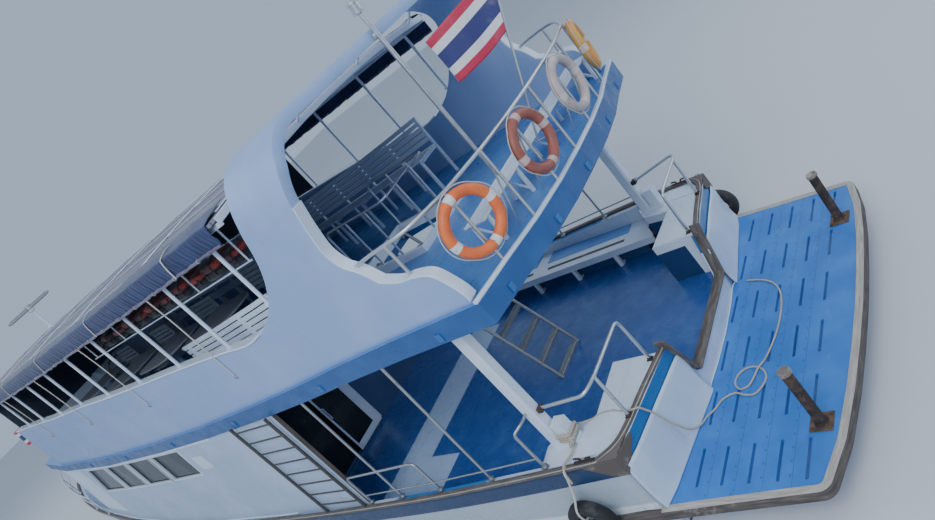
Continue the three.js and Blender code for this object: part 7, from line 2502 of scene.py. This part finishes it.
    def build(self) -> None:
        """Makes the canopy's pieces."""
        bar, post = self.scanner()
        make_piece("roof_panel", self.panel(), ROOF_BOARDS, "roof_sheet", "roof")
        make_piece("roof_lining", self.lining(), NAVY, "roof_sheet", closed=False, wall=0.004)
        make_piece("scanner_post", post, WHITE, "white_paint")
        make_piece("roof_battens", self.battens(), TABLE_GREY, "roof_sheet")
        make_piece("roof_bands", self.bands(), WHITE, "roof_sheet")
        make_piece("roof_lacing", self.lacing(), PALE_ROPE, "rope_fibre")
        make_piece("canopy_frame", self.frame(), WHITE, "white_paint", "roof_frame")
        make_piece("scanner_bar", bar, DULL_STEEL, "white_paint", "radar_scanner",
                   body=Body.SCANNER)
        for name, side in (("port", 1), ("starboard", -1)):
            sheet, hem, flat = self.tarp(side)
            cloth = make_piece(f"tarpaulin_{name}", sheet, NAVY_CLOTH, "tarpaulin",
                               f"tarp_{name}", closed=False, wall=0.004, inward=0.0, sharp=60)
            roll = make_piece(f"tarpaulin_hem_{name}", hem, GREY_CLOTH, "tarpaulin", sharp=60)
            tie = make_piece(f"tarpaulin_ties_{name}", self.ties(side), PALE_ROPE, "rope_fibre")
            strap = make_piece(f"tarpaulin_straps_{name}", self.straps(side), PALE_ROPE,
                               "tarpaulin")
        sheet, flat = self.curtain()
        cloth = make_piece("side_curtain", sheet, CURTAIN, "tarpaulin", closed=False,
                           wall=0.003, inward=0.0, sharp=60)
        upper, under, straps = self.jackets()
        top = make_piece("vests", upper, VEST, "orange_foam", "life_jackets", sharp=80)
        bottom = make_piece("vest_liners", under, VEST_BLACK, "orange_foam", sharp=80)
        make_piece("vest_straps", straps, VEST_BLACK, "orange_foam")


@dataclass
class Flag:
    """Cloth between a hoist and a fly edge, waving as it runs out."""

    name: str
    node: str
    hoist: tuple[tuple[float, float, float], tuple[float, float, float]]
    fly: tuple[tuple[float, float, float], tuple[float, float, float]]
    wave: float

    def build(self) -> None:
        """Makes the flag as a sheet.

        At share s from the hoist the cloth sways by wave * sin(2.6 pi s) * sqrt(s), and a
        second small wave runs down its height.
        """
        s = np.linspace(0, 1, 60)[:, None, None]
        t = np.linspace(0, 1, 24)[None, :, None]
        hoist, fly = np.array(self.hoist), np.array(self.fly)
        low = hoist[0] + s * (fly[0] - hoist[0])
        high = hoist[1] + s * (fly[1] - hoist[1])
        points = low + t * (high - low)
        sway = self.wave * np.sin(2.6 * np.pi * s + 0.5 * t) * np.sqrt(s)
        points[..., 1] += (sway + 0.012 * np.sin(5 * np.pi * s + 3 * t) * np.sqrt(s))[..., 0]
        points[..., 2] -= (0.03 * np.sin(np.pi * s) * (1 - t))[..., 0]
        width = float(np.linalg.norm((fly[0] + fly[1] - hoist[0] - hoist[1]) / 2))
        shape = grid(points, us=np.linspace(0, width, 60), vs=np.linspace(0, FLAG_DROP, 24))
        piece = make_piece(self.name, shape, FLAG, "flag_cloth", self.node, closed=False,
                           wall=0.0025, inward=0.0, sharp=80)


@dataclass
class Running:
    """Rudder and propeller below the water."""

    def build(self) -> None:
        """Paints the rudder and the propeller."""
        dress(RUST, "rudder")
        dress(BRONZE, "propeller")


@dataclass
class Studio:
    """Camera, floor and lights."""

    position: tuple[float, float, float] = (-14.2608, 6.3115, 5.9827)
    yaw: float = -0.7496865
    pitch: float = -0.3271735
    roll: float = -0.7412351
    focal: float = 710.809
    width: int = 935
    sensor: float = 36.0

    def camera(self) -> None:
        """Camera at the fitted place, turned by yaw, pitch and roll."""
        ahead = np.array([math.cos(self.pitch) * math.cos(self.yaw),
                          math.cos(self.pitch) * math.sin(self.yaw), math.sin(self.pitch)])
        level = unit(np.cross(ahead, [0, 0, 1]))
        rise = np.cross(level, ahead)
        c, s = math.cos(self.roll), math.sin(self.roll)
        right, up = c * level + s * rise, -s * level + c * rise
        turn = np.eye(4)
        turn[:3, 0], turn[:3, 1], turn[:3, 2], turn[:3, 3] = right, up, -ahead, self.position
        data = bpy.data.cameras.new("camera")
        data.sensor_width, data.sensor_fit = self.sensor, "HORIZONTAL"
        data.lens = self.focal / self.width * self.sensor
        data.clip_end = 500.0
        camera = bpy.data.objects.new("camera", data)
        bpy.context.scene.collection.objects.link(camera)
        camera.matrix_world = Matrix(turn.tolist())
        bpy.context.scene.camera = camera

    def light(self, name: str, energy: float, size: float, place: Sequence[float],
              aim: Sequence[float], colour: Colour) -> None:
        """Square soft light that looks at a point."""
        data = bpy.data.lights.new(name, "AREA")
        data.energy, data.size, data.color = energy, size, colour
        lamp = bpy.data.objects.new(name, data)
        ahead = unit(np.subtract(aim, place))
        right = unit(np.cross(ahead, [0.01, 0, 1]))
        turn = np.eye(4)
        turn[:3, 0], turn[:3, 1], turn[:3, 2], turn[:3, 3] = (
            right, np.cross(right, ahead), -ahead, place)
        bpy.context.scene.collection.objects.link(lamp)
        lamp.matrix_world = Matrix(turn.tolist())

    def floor(self) -> None:
        """Pale floor at the waterline: a plain sheet, 120 m square."""
        half = 60
        line = np.linspace(-half, half, 25)
        x, y = np.meshgrid(line + AMIDSHIPS, line, indexing="ij")
        floor = make_piece("floor", flipped(grid(np.stack([x, y, 0 * x], -1))),
                           Paint("floor_paint", (0.62, 0.64, 0.66), (0.60, 0.62, 0.645),
                                 (0.58, 0.60, 0.62), dirt=0.05, gloss=0.6, clouds=0.1),
                           "white_paint", closed=False)
        floor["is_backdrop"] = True

    def build(self) -> None:
        """Sets up lights and the floor."""
        self.floor()
        self.light("key", 3500, 14, (-16, 16, 18), (-4, 0, 2), (0.94, 0.97, 1.0))
        self.light("fill", 1500, 18, (-18, -14, 14), (-2, 0, 2), (0.86, 0.93, 1.0))
        self.light("bow", 1200, 16, (18, 6, 16), (4, 0, 2), (0.90, 0.95, 1.0))
        world = bpy.data.worlds.new("sky")
        world.use_nodes = True
        back = world.node_tree.nodes["Background"]
        back.inputs["Color"].default_value = (0.58, 0.73, 0.95, 1.0)
        back.inputs["Strength"].default_value = 0.68
        bpy.context.scene.world = world


def corners() -> list[list[float]]:
    """The shown object's lowest and highest corner as plain lists."""
    return [[round(float(v), 5) for v in corner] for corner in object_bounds()]


def main() -> None:
    """Builds the sub-assemblies in order."""
    logging.basicConfig(level=logging.INFO, format="%(message)s")
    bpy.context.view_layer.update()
    studio = Studio()
    studio.camera()
    for part in (
        MooringLine(), HullForm(), SternDeck(), Fenders(), Cabin(), UpperDeck(), UpperSeats(),
        Rails(), Lifebuoys(), Canopy(),
        Flag("stern_ensign", "stern_flag", ((1.196, 0, 5.04), (0.928, 0, 5.61)),
             ((1.96, 0.09, 4.91), (1.985, 0.09, 5.46)), 0.055),
        Flag("bow_ensign", "bow_flag", ((16.874, 2.21, 4.15), (16.874, 2.21, 4.6)),
             ((17.57, 2.25, 4.1), (17.57, 2.25, 4.55)), 0.035),
        Running(), studio,
    ):
        part.build()
        LOG.info("%s done", type(part).__name__)


if __name__ == "__main__":
    main()
